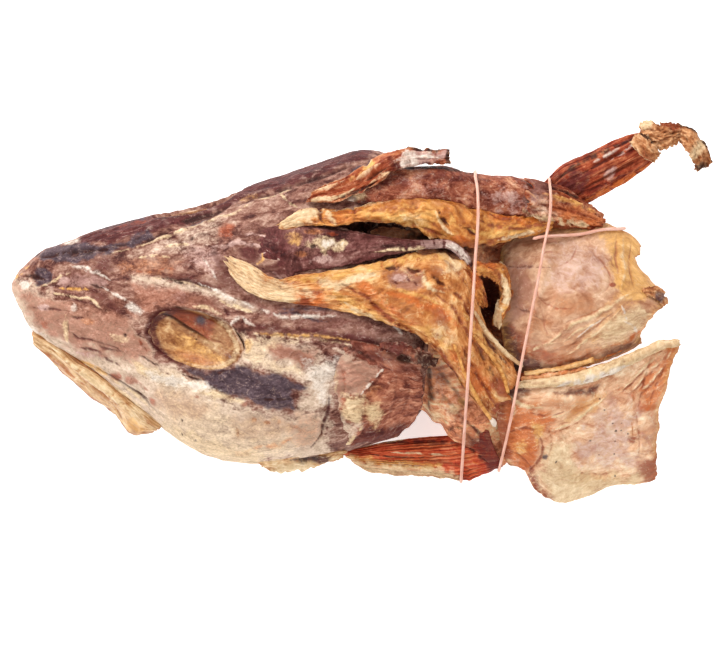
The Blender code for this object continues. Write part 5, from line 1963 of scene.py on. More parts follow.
@dataclass
class CollarFlesh:
    """The bared flesh of the collar, with the ribs, shards and knob that stand on it."""

    flesh: Leaf = field(default_factory=lambda: Leaf("collar_flesh", [
        [(-64.6, 27.2, 62.3), (-57, 24.8, 64.8), (-50.5, 22.4, 66.6), (-44, 17.8, 68), (-37, 15.4, 68.6),
         (-31, 17.4, 68.5), (-12, 19.6, 68), (8, 24, 66.8), (26, 28.5, 66), (40, 28.5, 64), (49, 23, 60.5),
         (53, 9, 56.5), (58, -5, 52.5), (65, -15, 48.5), (75, -25, 44.5)],
        [(-64.2, 26, 63.3), (-57, 21.5, 66.2), (-50, 18, 68.2), (-43.5, 14.2, 69.5), (-36, 12.4, 70),
         (-29, 12.8, 70.5), (-11, 13.5, 70.3), (8, 14.5, 69.3), (23, 14.5, 67.5), (37, 12.5, 66),
         (46, 5, 62), (52, -6, 57.5), (58, -17, 53), (65, -26, 48.5), (74, -34, 44)],
        [(-63.6, 24.2, 63.8), (-57, 17.6, 66.6), (-50, 12.8, 68.8), (-42.5, 9.8, 70), (-35, 8.6, 70.8),
         (-27, 8, 71), (-9, 7.5, 70.3), (6, 4.5, 69), (19, 1, 67), (31, -3.5, 65), (41, -11, 61.5),
         (49, -21, 56.5), (56, -32, 51), (62, -39, 47), (69, -43, 43.5)],
        [(-62.8, 22.2, 63.4), (-57.8, 14.4, 65.8), (-52, 9.6, 67.4), (-42, 6.2, 68.5), (-35, 4.9, 69),
         (-26, 3.6, 69), (-13, 1.5, 68.5), (0, -1.5, 67.5), (12, -5.5, 65.5), (23, -10, 63.5),
         (33, -17, 61), (41, -26, 57), (48, -36, 52), (55, -44.5, 47.5), (62.5, -50, 43)]],
        (290, 160), 2.4, (0.04, 0.03, 0.05, 0.05), 5.0, 33, 0.2))

    def marks(self) -> list[Laid]:
        """The pale leaf, the deep groove, the torn holes and the folds that run down to the flaps.

        Returns:
            What is laid, first to last.
        """
        return [
            Area(Tone.CREAM, 0.75, [(-68, 31), (-56, 27), (-49, 24), (-44, 18), (-38, 14), (-28, 11.4),
                                    (-20, 8), (-30, 6.6), (-40, 4), (-52, 7), (-60, 12), (-66, 20)], 1.8),
            streak([(-60, 20), (-53, 12.5), (-46, 8.4), (-38, 5.6)], 1.1, Tone.AMBER, 0.9),
            Area(Tone.CREAM, 0.8, [(-21, 15.7), (-12, 15), (-8, 13), (-12, 10.5), (-20, 12)], 1.0),
            crease([(-50, 19.5), (-42, 13), (-34, 13), (-28, 14)], 1.1, 0.8, Tone.RUST, 0.8),
            streak([(-33, 15), (-20, 15.5), (-4, 18.5), (12, 22.5), (28, 26)], 3.6, Tone.GOLD, 1.0),
            streak([(-18, 11.5), (-8, 13.5), (2, 16.5), (8, 17)], 2.4, Tone.CREAM, 0.95),
            Stain((-23, 6), (18, 10), Tone.ORANGE, -5, 1.0),
            Stain((-26, 5), (8, 6), Tone.RUST, 0, 0.8),
            Stain((-17, 4), (6, 4), Tone.RUST, 0, 0.6),
            crease([(-30, 10), (-22, 9.5), (-14, 10.5)], 0.9, 0.7, Tone.RUST, 0.8),
            crease([(-36, 4.5), (-26, 2.5), (-14, 1.5)], 0.8, 0.6, Tone.UMBER, 0.5),
            streak([(-13, 9), (-4, 3.5), (5, -2), (13, -6.5)], 3.8, Tone.GOLD, 1.0),
            streak([(-8, 5), (0, 1), (8, -4)], 1.5, Tone.CREAM, 0.8),
            crease([(-9, 13), (-1, 9.5), (6, 4), (13, -2), (22, -8.5), (30, -13)], 1.7, 1.5, Tone.RUST,
                   1.0),
            ridge([(-6, 14.5), (4, 10), (13, 3.5), (22, -3), (32, -10)], 2.2, 1.1, Tone.ORANGE, 0.9),
            Stain((2, 11), (16, 6), Tone.ORANGE, -35, 0.8),
            crease([(11, 20.2), (14, 20), (18, 20.6)], 1.1, 2.0, Tone.UMBER, 1.2),
            crease([(21.5, 20), (23.5, 19.4), (27, 19)], 0.9, 1.6, Tone.UMBER, 1.2),
            Area(Tone.ROSE, 0.9, [(11, 19), (20, 20), (28.5, 18), (29, 12), (22, 10.4), (13, 12)], 1.2,
                 -0.8),
            Stain((18, 16), (8, 4), Tone.LILAC, -8, 0.6, 0.3, 1.2),
            crease([(15, 14.6), (17, 13.4)], 0.6, 0.6, Tone.MAROON, 1.0),
            crease([(21, 16.6), (22.6, 14.4)], 0.6, 0.6, Tone.MAROON, 1.0),
            crease([(25, 15), (26, 12.6)], 0.6, 0.6, Tone.MAROON, 1.0),
            ridge([(28.5, 20), (29.5, 15), (32, 11.5), (38, 9.5)], 1.1, 1.0, Tone.CREAM, 1.0),
            crease([(33, 17.5), (35.5, 15), (38.5, 12.5)], 1.5, 2.2, Tone.UMBER, 1.2),
            Stain((35, 19), (10, 5), Tone.MAUVE, -30, 0.45),
            streak([(8, 23.5), (22, 26), (36, 26.5), (46, 23)], 3.2, Tone.GOLD, 1.0),
            Stain((42, 22), (14, 8), Tone.CREAM, -45, 0.6),
            crease([(38, 24), (44, 19), (50, 11)], 1.4, 0.9, Tone.RUST, 0.7),
            streak([(12, 9), (24, 6), (36, 1), (44, -6)], 3.4, Tone.ORANGE, 0.8),
            Stain((22, 0), (26, 9), Tone.AMBER, -35, 0.55),
            streak([(14, 11), (26, 8.5), (36, 4)], 1.4, Tone.GOLD, 0.8),
            crease([(34, 9), (41, 3), (47, -6), (53, -17)], 1.3, 0.9, Tone.RUST, 0.8),
            crease([(40, 12), (46, 6), (51, -3)], 1.2, 1.0, Tone.RUST, 0.8),
            ridge([(42, 8), (47, 1), (52, -8), (58, -17), (65, -25)], 1.5, 1.1, Tone.GOLD, 0.8),
            streak([(24, -6), (34, -9), (42, -16)], 3.6, Tone.GOLD, 0.9),
            Stain((38, -10), (9, 16), Tone.CREAM, 30, 0.45),
            Stain((36, -2), (10, 8), Tone.RUST, -30, 0.6),
            crease([(30, -13), (37, -18), (43, -27), (49, -36)], 1.3, 1.0, Tone.RUST, 0.9),
            ridge([(40, -14), (46, -24), (52, -34), (58, -43)], 2.2, 1.2, Tone.ORANGE, 0.9),
            Stain((54, -31), (20, 11), Tone.ORANGE, -60, 0.8),
            crease([(46, -15), (52, -26), (58, -36), (63, -44)], 1.3, 1.1, Tone.RUST, 0.9),
            crease([(51, -12), (58, -23), (64, -33)], 1.2, 1.1, Tone.UMBER, 0.7),
            crease([(55, -9), (62, -18), (69, -26)], 1.2, 1.1, Tone.MAROON, 0.9),
            Stain((64, -33), (14, 8), Tone.RUST, -60, 0.8),
            lip([(56, -44), (47, -34), (40, -24), (32, -15.5)], 1.4, 0.8, Tone.GOLD, 0.7),
            Stain((64, -44), (7, 7), Tone.RUST, 0, 0.9),
        ]

    def ribs(self) -> list[bpy.types.Object]:
        """The thin bones and cords that stand on the flesh, and the white knob at the end of one.

        Returns:
            The finished pieces.
        """
        bone = [Fold(0.25, (10.0, 2.0), True), Fold(0.1, (3.0, 1.0))]
        torn = [Fold(1.1, (9.0, 3.4), True, sway=2.0), Fold(0.4, (4.0, 1.6), True)]
        pale, gold = [(Tone.CREAM, 3.0, 0.7), (Tone.AMBER, 0.5, 0.8)], [(Tone.GOLD, 2.0, 0.9),
                                                                        (Tone.RUST, 0.4, 0.7)]
        even, long_taper = [(0, 1.6), (0.3, 2.6), (0.7, 1.9), (1, 0.8)], [(0, 0.6), (0.2, 1.3), (0.8, 1.2),
                                                                          (1, 0.5)]
        made = []
        for name, path, widths, thickness, finish, folds, rims in (
            ("rib_long", [(50.5, 8, 58.5), (53, 0, 57.5), (57, -7, 55), (63, -14, 52), (69, -20, 48.5),
                          (76, -25, 45)], even, 1.8, MEMBRANE, bone, pale),
            ("rib_low", [(43, -14, 61), (47, -25, 57), (51, -34, 53.5), (56, -43, 50), (61, -50, 46.5)],
             long_taper, 1.6, GOLD_FLESH, bone, gold),
            ("rib_middle", [(52, -10, 58), (58, -17, 54.5), (63, -23, 51.5), (67, -31, 48), (69, -38, 45)],
             long_taper, 1.6, GOLD_FLESH, bone, gold),
            ("shard_low", [(66, 6, 48.5), (64, -1, 49), (64.5, -8, 48)],
             [(0, 1.5), (0.5, 4), (1, 1)], 1.2, MEMBRANE, torn, pale),
        ):
            leaf = strip(name, path, widths, 1.6, (90, 20), thickness, 40 + len(made))
            made.append(leaf.build(finish, folds, [], rims, 0.2))
        for name, rails in (
            ("shard_wall", [
                [(52, 24.5, 59), (57, 24.2, 57), (62, 23.6, 54), (66, 24.6, 51.5), (68.6, 18, 50.5),
                 (70.6, 9, 50), (69.4, 3.5, 49.5), (66, -2.5, 48.5), (63.6, -7, 46.5)],
                [(52, 21, 60.5), (57, 20.4, 59), (62, 19.4, 56), (65.6, 16.6, 53.5), (67, 12.4, 52.5),
                 (68, 8, 52), (66.8, 2.6, 51), (64.4, -2, 49.5), (63.3, -6.6, 47)],
                [(52, 17, 59), (56, 17.2, 57.5), (60, 16.2, 54), (62.8, 13.6, 51), (64.8, 10.6, 50),
                 (65.4, 7, 49.5), (63.8, 2, 48.5), (62, -2, 47.5), (62.8, -6.4, 46)]]),
            ("shard_left", [
                [(47, 24, 61.5), (53.4, 19, 58.5), (56.6, 13, 56.5), (57.6, 8, 55.5), (58.4, 3, 53.5)],
                [(46, 20, 62), (51, 15, 60), (54, 10, 58.5), (55.8, 6.6, 56.8), (57.6, 3, 54)],
                [(45, 15, 61.5), (49, 10.6, 59.5), (51.6, 6.6, 58), (54, 4.4, 56), (57, 2.6, 53.6)]]),
        ):
            leaf = Leaf(name, rails, (110, 66), 1.1, (0.02, 0.05, 0.16, 0.16), 2.2, 40 + len(made), 0.4)
            made.append(leaf.build(GOLD_FLESH, torn, [
                streak([(65, 20), (66.6, 14), (68, 8), (66, 1)], 1.3, Tone.CREAM, 0.9),
                crease([(68.6, 17), (69.6, 9), (68, 2), (65, -4)], 0.9, 0.8, Tone.RUST, 0.9),
                crease([(58, 21.4), (63, 19), (65.6, 13), (66, 6)], 0.8, 0.7, Tone.RUST, 0.8),
                Stain((57, 23), (12, 5), Tone.ORANGE, -10, 0.9),
                Stain((53, 15), (8, 10), Tone.ORANGE, 0, 0.8),
                Stain((66, 24), (4, 5), Tone.CREAM, 0, 1.0)], [(Tone.RUST, 0.6, 0.9)], 0.3))
        knob = Sweep("rib_knob", [(60.2, -49, 47.5), (61.8, -50.8, 47.8), (62.6, -53, 46.5)],
                     [(0, 0.6), (0.25, 1.1), (0.65, 1.3), (0.9, 0.9), (1, 0.5)], 0.9, (26, 24))
        rings, grain, facing = knob.rings()
        sculpt = Sculpt(rings, 47, facing, 0.2)
        sculpt.tint(Tone.WHITE, np.ones(facing.shape))
        made.append(MEMBRANE.dress(loft_piece(knob.name, rings, grain, sculpt)))
        return made

    def build(self) -> list[bpy.types.Object]:
        """The flesh, then what stands on it.

        Returns:
            The finished pieces.
        """
        folds = [Fold(1.3, (34.0, 13.0), sway=4.0), Fold(0.7, (22.0, 5.0), True, sway=5.0),
                 Fold(0.3, (9.0, 2.6), True, sway=2.0), Fold(0.1, (3.0, 1.2))]
        flesh = self.flesh.build(AMBER_FLESH, folds, self.marks(), [(Tone.RUST, 0.8, 0.5)])
        return [flesh, *self.ribs()]


@dataclass
class SkullRidge:
    """The dark ridge of the skull, which ends in a thin hooked bone."""

    ridge: Leaf = field(default_factory=lambda: Leaf("skull_ridge", [
        [(-50, 40, 57.5), (-38, 41, 60), (-26, 40.5, 61.5), (-12, 39.3, 62), (0, 37.4, 61.5),
         (12, 35.4, 60.5), (24, 33.6, 60.5), (33, 33.2, 60.5), (41.5, 32.9, 60.5), (48, 28.2, 57),
         (52.6, 20.6, 53)],
        [(-50, 36, 59.5), (-38, 37.5, 62.5), (-26, 37.5, 65), (-12, 36.6, 66), (0, 35.4, 66.5),
         (12, 34, 66.8), (24, 32.9, 66.8), (33, 32.6, 66.5), (41, 32, 65.5), (47.4, 27.5, 62),
         (52, 20.3, 57)],
        [(-50, 27, 62.5), (-38, 27, 65.5), (-24, 28.5, 67.8), (-11, 29.2, 68.6), (2, 30.2, 68.8),
         (13, 30.6, 68.8), (24, 31, 68.5), (33, 31.4, 67.5), (40, 31.2, 66), (46.4, 26.6, 62.5),
         (51.2, 20, 57.5)],
        [(-48, 17, 65), (-36, 15.5, 66.5), (-24, 18.5, 67.5), (-12, 20.6, 67.8), (0, 23, 67.5),
         (12, 26.3, 67.2), (23, 29.2, 66.8), (33, 30.4, 66), (39.4, 30.3, 65), (45.6, 25.8, 61.5),
         (50.6, 19.7, 56.5)]],
        (206, 116), 2.2, (0.02, 0.03, 0.03, 0.06), 5.0, 35, 0.2))

    def marks(self) -> list[Laid]:
        """The granular pale spot, the golden patch, the darker rear and the pale hook.

        Returns:
            What is laid, first to last.
        """
        return [
            Area(Tone.MAROON, 0.6, [(-52, 42), (-34, 42), (-32, 30), (-33, 18), (-52, 14)], 2.0),
            Area(Tone.MAUVE, 0.7, [(-27, 35), (-22, 34), (-21, 27), (-27, 27)], 1.6),
            Area(Tone.MAROON, 0.55, [(0, 37), (14, 35), (36, 33), (36, 30.6), (14, 31), (2, 30), (-8, 32)],
                 1.4),
            Area(Tone.MAROON, 0.6, [(-30, 20.4), (-14, 22), (-3, 26), (13, 28), (26, 29.4), (13, 25),
                                    (-3, 22), (-20, 18.6), (-32, 16.6)], 1.0),
            Area(Tone.GOLD, 0.5, [(-34, 36), (-30.5, 38), (-28, 35.4), (-29, 31.8), (-33, 32.4)], 1.3),
            Stain((-22, 37), (12, 2.4), Tone.AMBER, -2, 0.5),
            Stain((-27.4, 27), (7.4, 3.4), Tone.AMBER, 5, 0.5),
            Stain((-13.2, 36), (6.4, 2), Tone.RUST, -6, 0.9),
            Stain((-16.5, 31), (15, 8), Tone.CREAM, -4, 0.75, 0.4, 1.4),
            Stain((-15, 31.4), (8, 5), Tone.WHITE, -4, 0.7, 0.2, 1.4),
            Stain((-17.4, 24.8), (12, 4.4), Tone.LILAC, 4, 0.7, 0.0, 1.4),
            Stain((-22, 30.6), (3, 2.4), Tone.UMBER, 0, 0.9),
            crease([(-24, 39), (-8, 38), (6, 36.2), (20, 34.2), (34, 32.8)], 1.3, 0.8, Tone.UMBER, 0.9),
            ridge([(-8, 31.6), (4, 32.6), (16, 32.8)], 0.9, 0.4, Tone.MAUVE, 0.8),
            ridge([(5.8, 28.4), (18.7, 30.1), (29.4, 31.2)], 0.6, 0.5, Tone.CREAM, 1.0),
            crease([(4, 29.8), (16, 31), (28, 31.8)], 0.7, 0.5, Tone.UMBER, 0.7),
            crease([(-36, 26), (-28, 24), (-18, 28)], 0.8, 0.5, Tone.MAROON, 0.6),
            streak([(28, 32), (34, 32), (40.2, 31.8), (45.6, 28), (49.3, 23.4), (51.9, 18.6)], 1.6,
                   Tone.LILAC, 1.0, 0.3),
            ridge([(38, 32.2), (43, 30.4), (47.4, 26.2), (50.8, 21)], 0.8, 0.5, Tone.WHITE, 0.8),
            crease([(35, 31), (40.6, 30), (45, 26.6), (49, 21)], 0.7, 0.6, Tone.SLATE, 1.1),
        ]

    def build(self) -> list[bpy.types.Object]:
        """The ridge."""
        folds = [Fold(0.7, (30.0, 8.0)), Fold(0.35, (20.0, 2.6), True, sway=2.0), Fold(0.1, (4.0, 1.0))]
        return [self.ridge.build(RIDGE_SKIN, folds, self.marks(), [(Tone.MAROON, 0.8, 0.6)], 0.5)]


@dataclass
class Nape:
    """The nape: a speckled roll, the golden lip under it, the torn frill over it and the shreds behind."""

    roll: Body = field(default_factory=lambda: Body(
        "nape_roll",
        back=[(-14, 58), (0, 62), (12, 66), (25, 68), (40, 68), (50, 65), (60, 64), (72, 63.5), (84, 61.3),
              (95, 59), (102, 55.5), (107, 49.5), (110.5, 45)],
        belly=[(-14, 53), (0, 50), (12, 50), (25, 50), (40, 49), (52, 45), (62, 42), (75, 41.5), (88, 40.5),
               (100, 38), (107, 39), (110.5, 41)],
        crown=[(-14, 60), (0, 63.5), (14, 66.5), (30, 67), (46, 64), (60, 60), (76, 54.5), (90, 49),
               (102, 43.5), (110.5, 38)],
        edge=[(-14, 56), (0, 57), (14, 57), (46, 53), (76, 44), (90, 39), (102, 35), (110.5, 33)],
        keel=[(-14, 52), (14, 45), (46, 40), (76, 32), (102, 26), (110.5, 26)],
        boxiness=2.1, cuts=(270, 132, 44)))
    lip: Leaf = field(default_factory=lambda: Leaf("nape_lip", [
        [(-39.5, 40, 61), (-34, 44.2, 60.5), (-28.5, 47.3, 59.5), (-20, 48, 59.8), (-13, 47.5, 60.2),
         (-4, 48, 60.5), (5, 50.6, 61), (20, 52.6, 62.5), (40, 52.5, 60.5), (57, 48, 57), (74, 45, 51),
         (93, 47, 43)],
        [(-39.5, 39.6, 61.5), (-33, 42.5, 62.5), (-27, 44.6, 62.8), (-20, 45.2, 63.2), (-12, 45, 64.2),
         (-3, 45.8, 65.2), (6, 47.6, 66), (21, 49, 67), (40, 47, 65.5), (57, 42.5, 61), (74, 41.5, 55.5),
         (92, 44, 47)],
        [(-39.5, 39.2, 62), (-33, 40.6, 63.5), (-26, 42, 64.5), (-19, 42.2, 64.8), (-11, 42.6, 65.5),
         (-2, 44, 66), (7, 44.8, 66.3), (19, 45, 66.5), (34, 41.5, 65), (50, 36.5, 62), (69, 37.5, 56),
         (91, 41.5, 47)],
        [(-39.5, 38.9, 61.5), (-32, 38.9, 63.5), (-25, 39.6, 64.5), (-18, 40, 65), (-10, 40.3, 65),
         (-2, 42.2, 64.8), (7, 42.8, 64.2), (17, 41.4, 63), (28, 36, 62), (44, 29.8, 59.5), (62, 31.5, 55),
         (90, 39.8, 46)]],
        (262, 116), 2.0, (0.02, 0.03, 0.03, 0.13), 5.0, 37, 0.3))
    frill: Leaf = field(default_factory=lambda: Leaf("torn_frill", [
        [(-27, 53, 57.5), (-16, 58.8, 59), (-6, 63, 60.5), (3, 68.6, 60), (12, 73.6, 58), (22, 75.6, 57),
         (32, 75.5, 55), (41, 74.6, 53)],
        [(-27, 52.4, 58.5), (-14, 56.4, 62), (-3, 60.6, 64), (6, 65.5, 65.5), (14, 70.4, 65),
         (23, 73.2, 64), (32, 73.2, 62), (41, 72.8, 59)],
        [(-26, 51.8, 59), (-13, 54, 63), (-1, 58, 66), (8, 63, 67.5), (15, 68, 67.5), (23, 70.4, 66),
         (32, 70.8, 64), (41, 71, 60.5)],
        [(-25, 50.6, 59), (-12, 51, 62.5), (0, 54.6, 66), (9, 60, 67.5), (16, 65, 67), (23, 68.4, 65),
         (32, 69, 63.5), (41, 69.8, 60)]],
        (200, 80), 1.4, (0.10, 0.0, 0.10, 0.20), 5.0, 39, 0.4))
    shreds: Leaf = field(default_factory=lambda: Leaf("nape_shreds", [
        [(74, 63, 50), (82, 61, 48.5), (90, 58.6, 46.5), (98, 55.6, 43.5), (105, 50.6, 40), (113, 45, 36)],
        [(76, 56, 54.8), (83, 54.6, 53.4), (90, 53, 50.8), (99, 50, 46.8), (106, 47, 42.8),
         (114, 43.4, 38)],
        [(75, 49, 54.8), (83, 48, 53.2), (90, 47, 50.8), (99, 45, 46.8), (106, 43.5, 42.8), (114, 42, 38)],
        [(79, 44, 51), (85, 43, 49), (91, 42.4, 46.6), (99, 40.6, 43.2), (106, 40, 39.6), (113, 40.6, 36)]],
        (160, 100), 1.5, (0.16, 0.04, 0.02, 0.06), 5.0, 43, 0.4))

    def roll_marks(self) -> list[Laid]:
        """The dark band at the top left, the pale granules, and the torn orange flesh at the right end.

        Returns:
            What is laid, first to last.
        """
        return [
            streak([(2, 57), (16, 61), (32, 64), (48, 62), (60, 61)], 4.2, Tone.MAROON, 0.6),
            streak([(16, 66.5), (30, 67.5), (44, 66.5), (54, 64)], 1.3, Tone.UMBER, 0.9),
            Area(Tone.MAROON, 0.25, [(38, 66), (52, 64), (60, 58), (50, 50), (38, 52)], 2.4),
            Stain((26, 60), (24, 10), Tone.LILAC, 0, 0.25, 0.0, 1.6),
            Stain((30, 55), (26, 7), Tone.MAUVE, -4, 0.3),
            Stain((66, 52), (30, 14), Tone.MAUVE, -8, 0.25),
            Stain((72, 53), (26, 13), Tone.LILAC, -8, 0.6, 0.0, 1.4),
            Stain((-6, 52), (16, 8), Tone.SLATE, 0, 0.6, 0.0, 1.2),
            Stain((-8, 50), (12, 5), Tone.WHITE, 0, 0.8, 0.0, 1.2),
            Stain((-2, 54), (10, 5), Tone.CREAM, 10, 0.8, 0.0, 1.0),
            crease([(46, 49), (58, 44.5), (72, 43), (84, 43.5)], 0.9, 0.6, Tone.UMBER, 0.8),
            Area(Tone.RUST, 0.7, [(80, 62), (94, 62), (104, 56), (114, 44), (110, 36), (94, 36), (82, 42),
                                  (90, 52)], 2.0),
            Area(Tone.AMBER, 0.9, [(88, 53), (98, 53), (108, 46), (114, 40), (104, 36), (90, 38), (82, 44)],
                 1.8),
            Area(Tone.CREAM, 0.7, [(76, 47), (86, 49), (96, 47), (102, 43), (90, 43), (80, 44)], 1.4),
            Area(Tone.MAROON, 0.9, [(86, 62), (96, 61), (104, 56), (107, 51), (98, 54.6), (90, 56)], 1.6),
            crease([(84, 57), (92, 54), (100, 53), (107, 47)], 1.2, 1.3, Tone.MAROON, 1.0),
            ridge([(84, 53), (93, 51), (101, 50), (108, 44)], 1.2, 1.2, Tone.GOLD, 0.8),
            crease([(82, 50), (92, 48.6), (101, 47), (108, 42)], 1.0, 1.2, Tone.RUST, 1.0),
            ridge([(80, 46.6), (90, 46), (100, 44)], 1.1, 1.0, Tone.CREAM, 0.9),
            crease([(84, 43.4), (94, 42), (104, 41)], 1.0, 1.0, Tone.RUST, 0.9),
            ridge([(88, 58.6), (96, 57), (103, 53)], 0.9, 0.9, Tone.ROSE, 0.9),
        ]

    def lip_marks(self) -> list[Laid]:
        """The cream tip, the notch, the golden folds and the dark recesses.

        Returns:
            What is laid, first to last.
        """
        return [
            Area(Tone.CREAM, 1.0, [(-40, 40), (-30, 46.6), (-22, 48.5), (-19, 46), (-24, 41.6),
                                   (-32, 40.4)], 1.2),
            streak([(-38.5, 39.4), (-30, 40.2), (-22, 41.6), (-16, 43.6)], 0.8, Tone.AMBER, 0.9),
            streak([(-36, 41.6), (-30, 43.4), (-24, 44.4)], 0.7, Tone.GOLD, 0.9),
            crease([(-20.4, 48.4), (-18.6, 46), (-18.8, 43), (-16.6, 41)], 0.9, 1.4, Tone.MAROON, 1.0),
            ridge([(-18, 47.6), (-14.6, 44.4), (-11, 41)], 1.5, 0.9, Tone.CREAM, 1.0),
            Area(Tone.ORANGE, 0.6, [(-14, 46), (-4, 46), (2, 43), (-6, 41), (-12, 42)], 1.4),
            crease([(-4, 48), (-2.6, 45), (-4.4, 42.6)], 0.8, 0.9, Tone.RUST, 0.9),
            Area(Tone.MAROON, 0.7, [(0, 44), (8, 44), (18, 43), (26, 40), (20, 39), (8, 41)], 1.1),
            streak([(-14, 46.8), (-4, 47.6), (6, 50), (18, 51.8), (30, 52.6)], 1.1, Tone.CREAM, 0.8),
            streak([(4, 48.6), (16, 50), (30, 50.5), (44, 49.2), (56, 45)], 1.8, Tone.AMBER, 0.7),
            crease([(0, 46.5), (10, 47.4), (22, 48), (34, 47.6)], 1.0, 0.8, Tone.RUST, 0.7),
            Area(Tone.GOLD, 0.8, [(10, 46.6), (22, 47.6), (34, 47), (36, 42), (28, 38), (20, 42), (12, 44)],
                 1.8),
            Stain((24, 44), (13, 5), Tone.CREAM, -14, 0.4),
            streak([(-8, 50.4), (0, 50), (8, 51)], 1.0, Tone.WHITE, 0.8),
            crease([(36.2, 47.2), (37.6, 44), (40.4, 40.4)], 1.3, 2.0, Tone.MAROON, 1.1),
            crease([(47.4, 39.6), (50, 38), (53.2, 36.6)], 0.9, 1.3, Tone.MAROON, 1.1),
            ridge([(34.4, 47.4), (35.6, 44), (38, 40), (43, 37)], 1.0, 0.9, Tone.CREAM, 0.8),
            ridge([(39.8, 47), (42, 43.6), (46, 41)], 1.0, 0.8, Tone.GOLD, 0.8),
            crease([(27, 41), (33, 38), (40, 35.4)], 0.9, 0.9, Tone.RUST, 0.9),
            ridge([(27.6, 35.8), (32, 35), (36, 34.2)], 0.9, 0.6, Tone.CREAM, 0.9),
            Area(Tone.RUST, 0.75, [(34, 36), (42, 34.4), (52, 33.4), (62, 34), (56, 30), (44, 29.6)], 1.2),
            Stain((46, 34.5), (14, 4), Tone.ORANGE, -16, 0.9),
            Area(Tone.ORANGE, 0.7, [(52, 48), (66, 45), (80, 44), (92, 46), (92, 43), (76, 41.4), (58, 43)],
                 1.4),
            crease([(52, 43), (62, 40.4), (74, 40), (88, 42.4)], 1.2, 1.0, Tone.RUST, 0.9),
            streak([(50, 38.5), (60, 37), (72, 38.4), (84, 40.4)], 1.8, Tone.GOLD, 0.9),
            ridge([(62, 34.4), (72, 36.8), (84, 39.5)], 0.9, 0.7, Tone.CREAM, 0.9),
            crease([(56, 34.6), (68, 36), (80, 38.4)], 0.9, 0.8, Tone.RUST, 0.9),
            crease([(55, 47), (64, 43.4), (74, 42.6)], 0.8, 0.7, Tone.RUST, 0.8),
        ]

    def frill_marks(self) -> list[Laid]:
        """The cream strands, the rust folds, the golden patches and the pale bone at the right end.

        Returns:
            What is laid, first to last.
        """
        return [
            ridge([(-27, 52), (-18, 53), (-10, 54), (-2, 57.6)], 0.8, 0.9, Tone.CREAM, 1.1),
            ridge([(-24, 54.6), (-14, 57.6), (-6, 61)], 0.7, 0.9, Tone.CREAM, 1.0),
            crease([(-22, 53.6), (-12, 56), (-2, 60), (8, 65)], 1.0, 1.4, Tone.RUST, 1.2),
            crease([(-12, 52.8), (-2, 55.8), (8, 61.4)], 0.9, 1.2, Tone.UMBER, 1.0),
            Area(Tone.RUST, 0.8, [(-14, 56), (-4, 60), (4, 66), (12, 71), (16, 66), (6, 60), (-4, 56)],
                 1.4),
            Area(Tone.MAROON, 0.9, [(10, 70), (17, 70), (20, 66), (14, 64), (10, 66)], 1.2),
            Stain((4, 67), (6, 3), Tone.GOLD, 30, 0.9),
            Stain((1, 63.4), (5, 2.6), Tone.GOLD, 30, 0.9),
            Stain((-3, 61), (4, 2.4), Tone.GOLD, 30, 0.8),
            ridge([(-2, 60.4), (4, 64.6), (10, 67.6)], 0.6, 0.9, Tone.CREAM, 0.9),
            crease([(2, 61), (8, 64.4), (13, 67)], 0.7, 1.0, Tone.UMBER, 0.9),
            ridge([(4, 59.6), (10, 63.6), (15, 66)], 0.7, 0.7, Tone.CREAM, 0.9),
            Stain((24, 70.4), (14, 6), Tone.WHITE, 10, 0.7, 0.4, 1.6),
            Area(Tone.LILAC, 0.9, [(22, 73.4), (32, 73.4), (39, 73), (38, 70.6), (28, 70), (22, 70)], 1.0),
            streak([(24, 72), (31, 71.6), (37, 71.6)], 0.7, Tone.WHITE, 0.9),
            crease([(24, 70.2), (32, 70), (38, 70.4)], 0.6, 0.6, Tone.MAROON, 0.9),
            streak([(13, 74.6), (20, 75.6), (28, 75.2), (40, 74.4)], 1.1, Tone.UMBER, 1.1),
            Stain((40.4, 72.3), (4, 7), Tone.UMBER, 0, 1.2),
            ridge([(17, 67.4), (24, 69), (32, 69.4)], 0.7, 0.6, Tone.WHITE, 0.8),
        ]

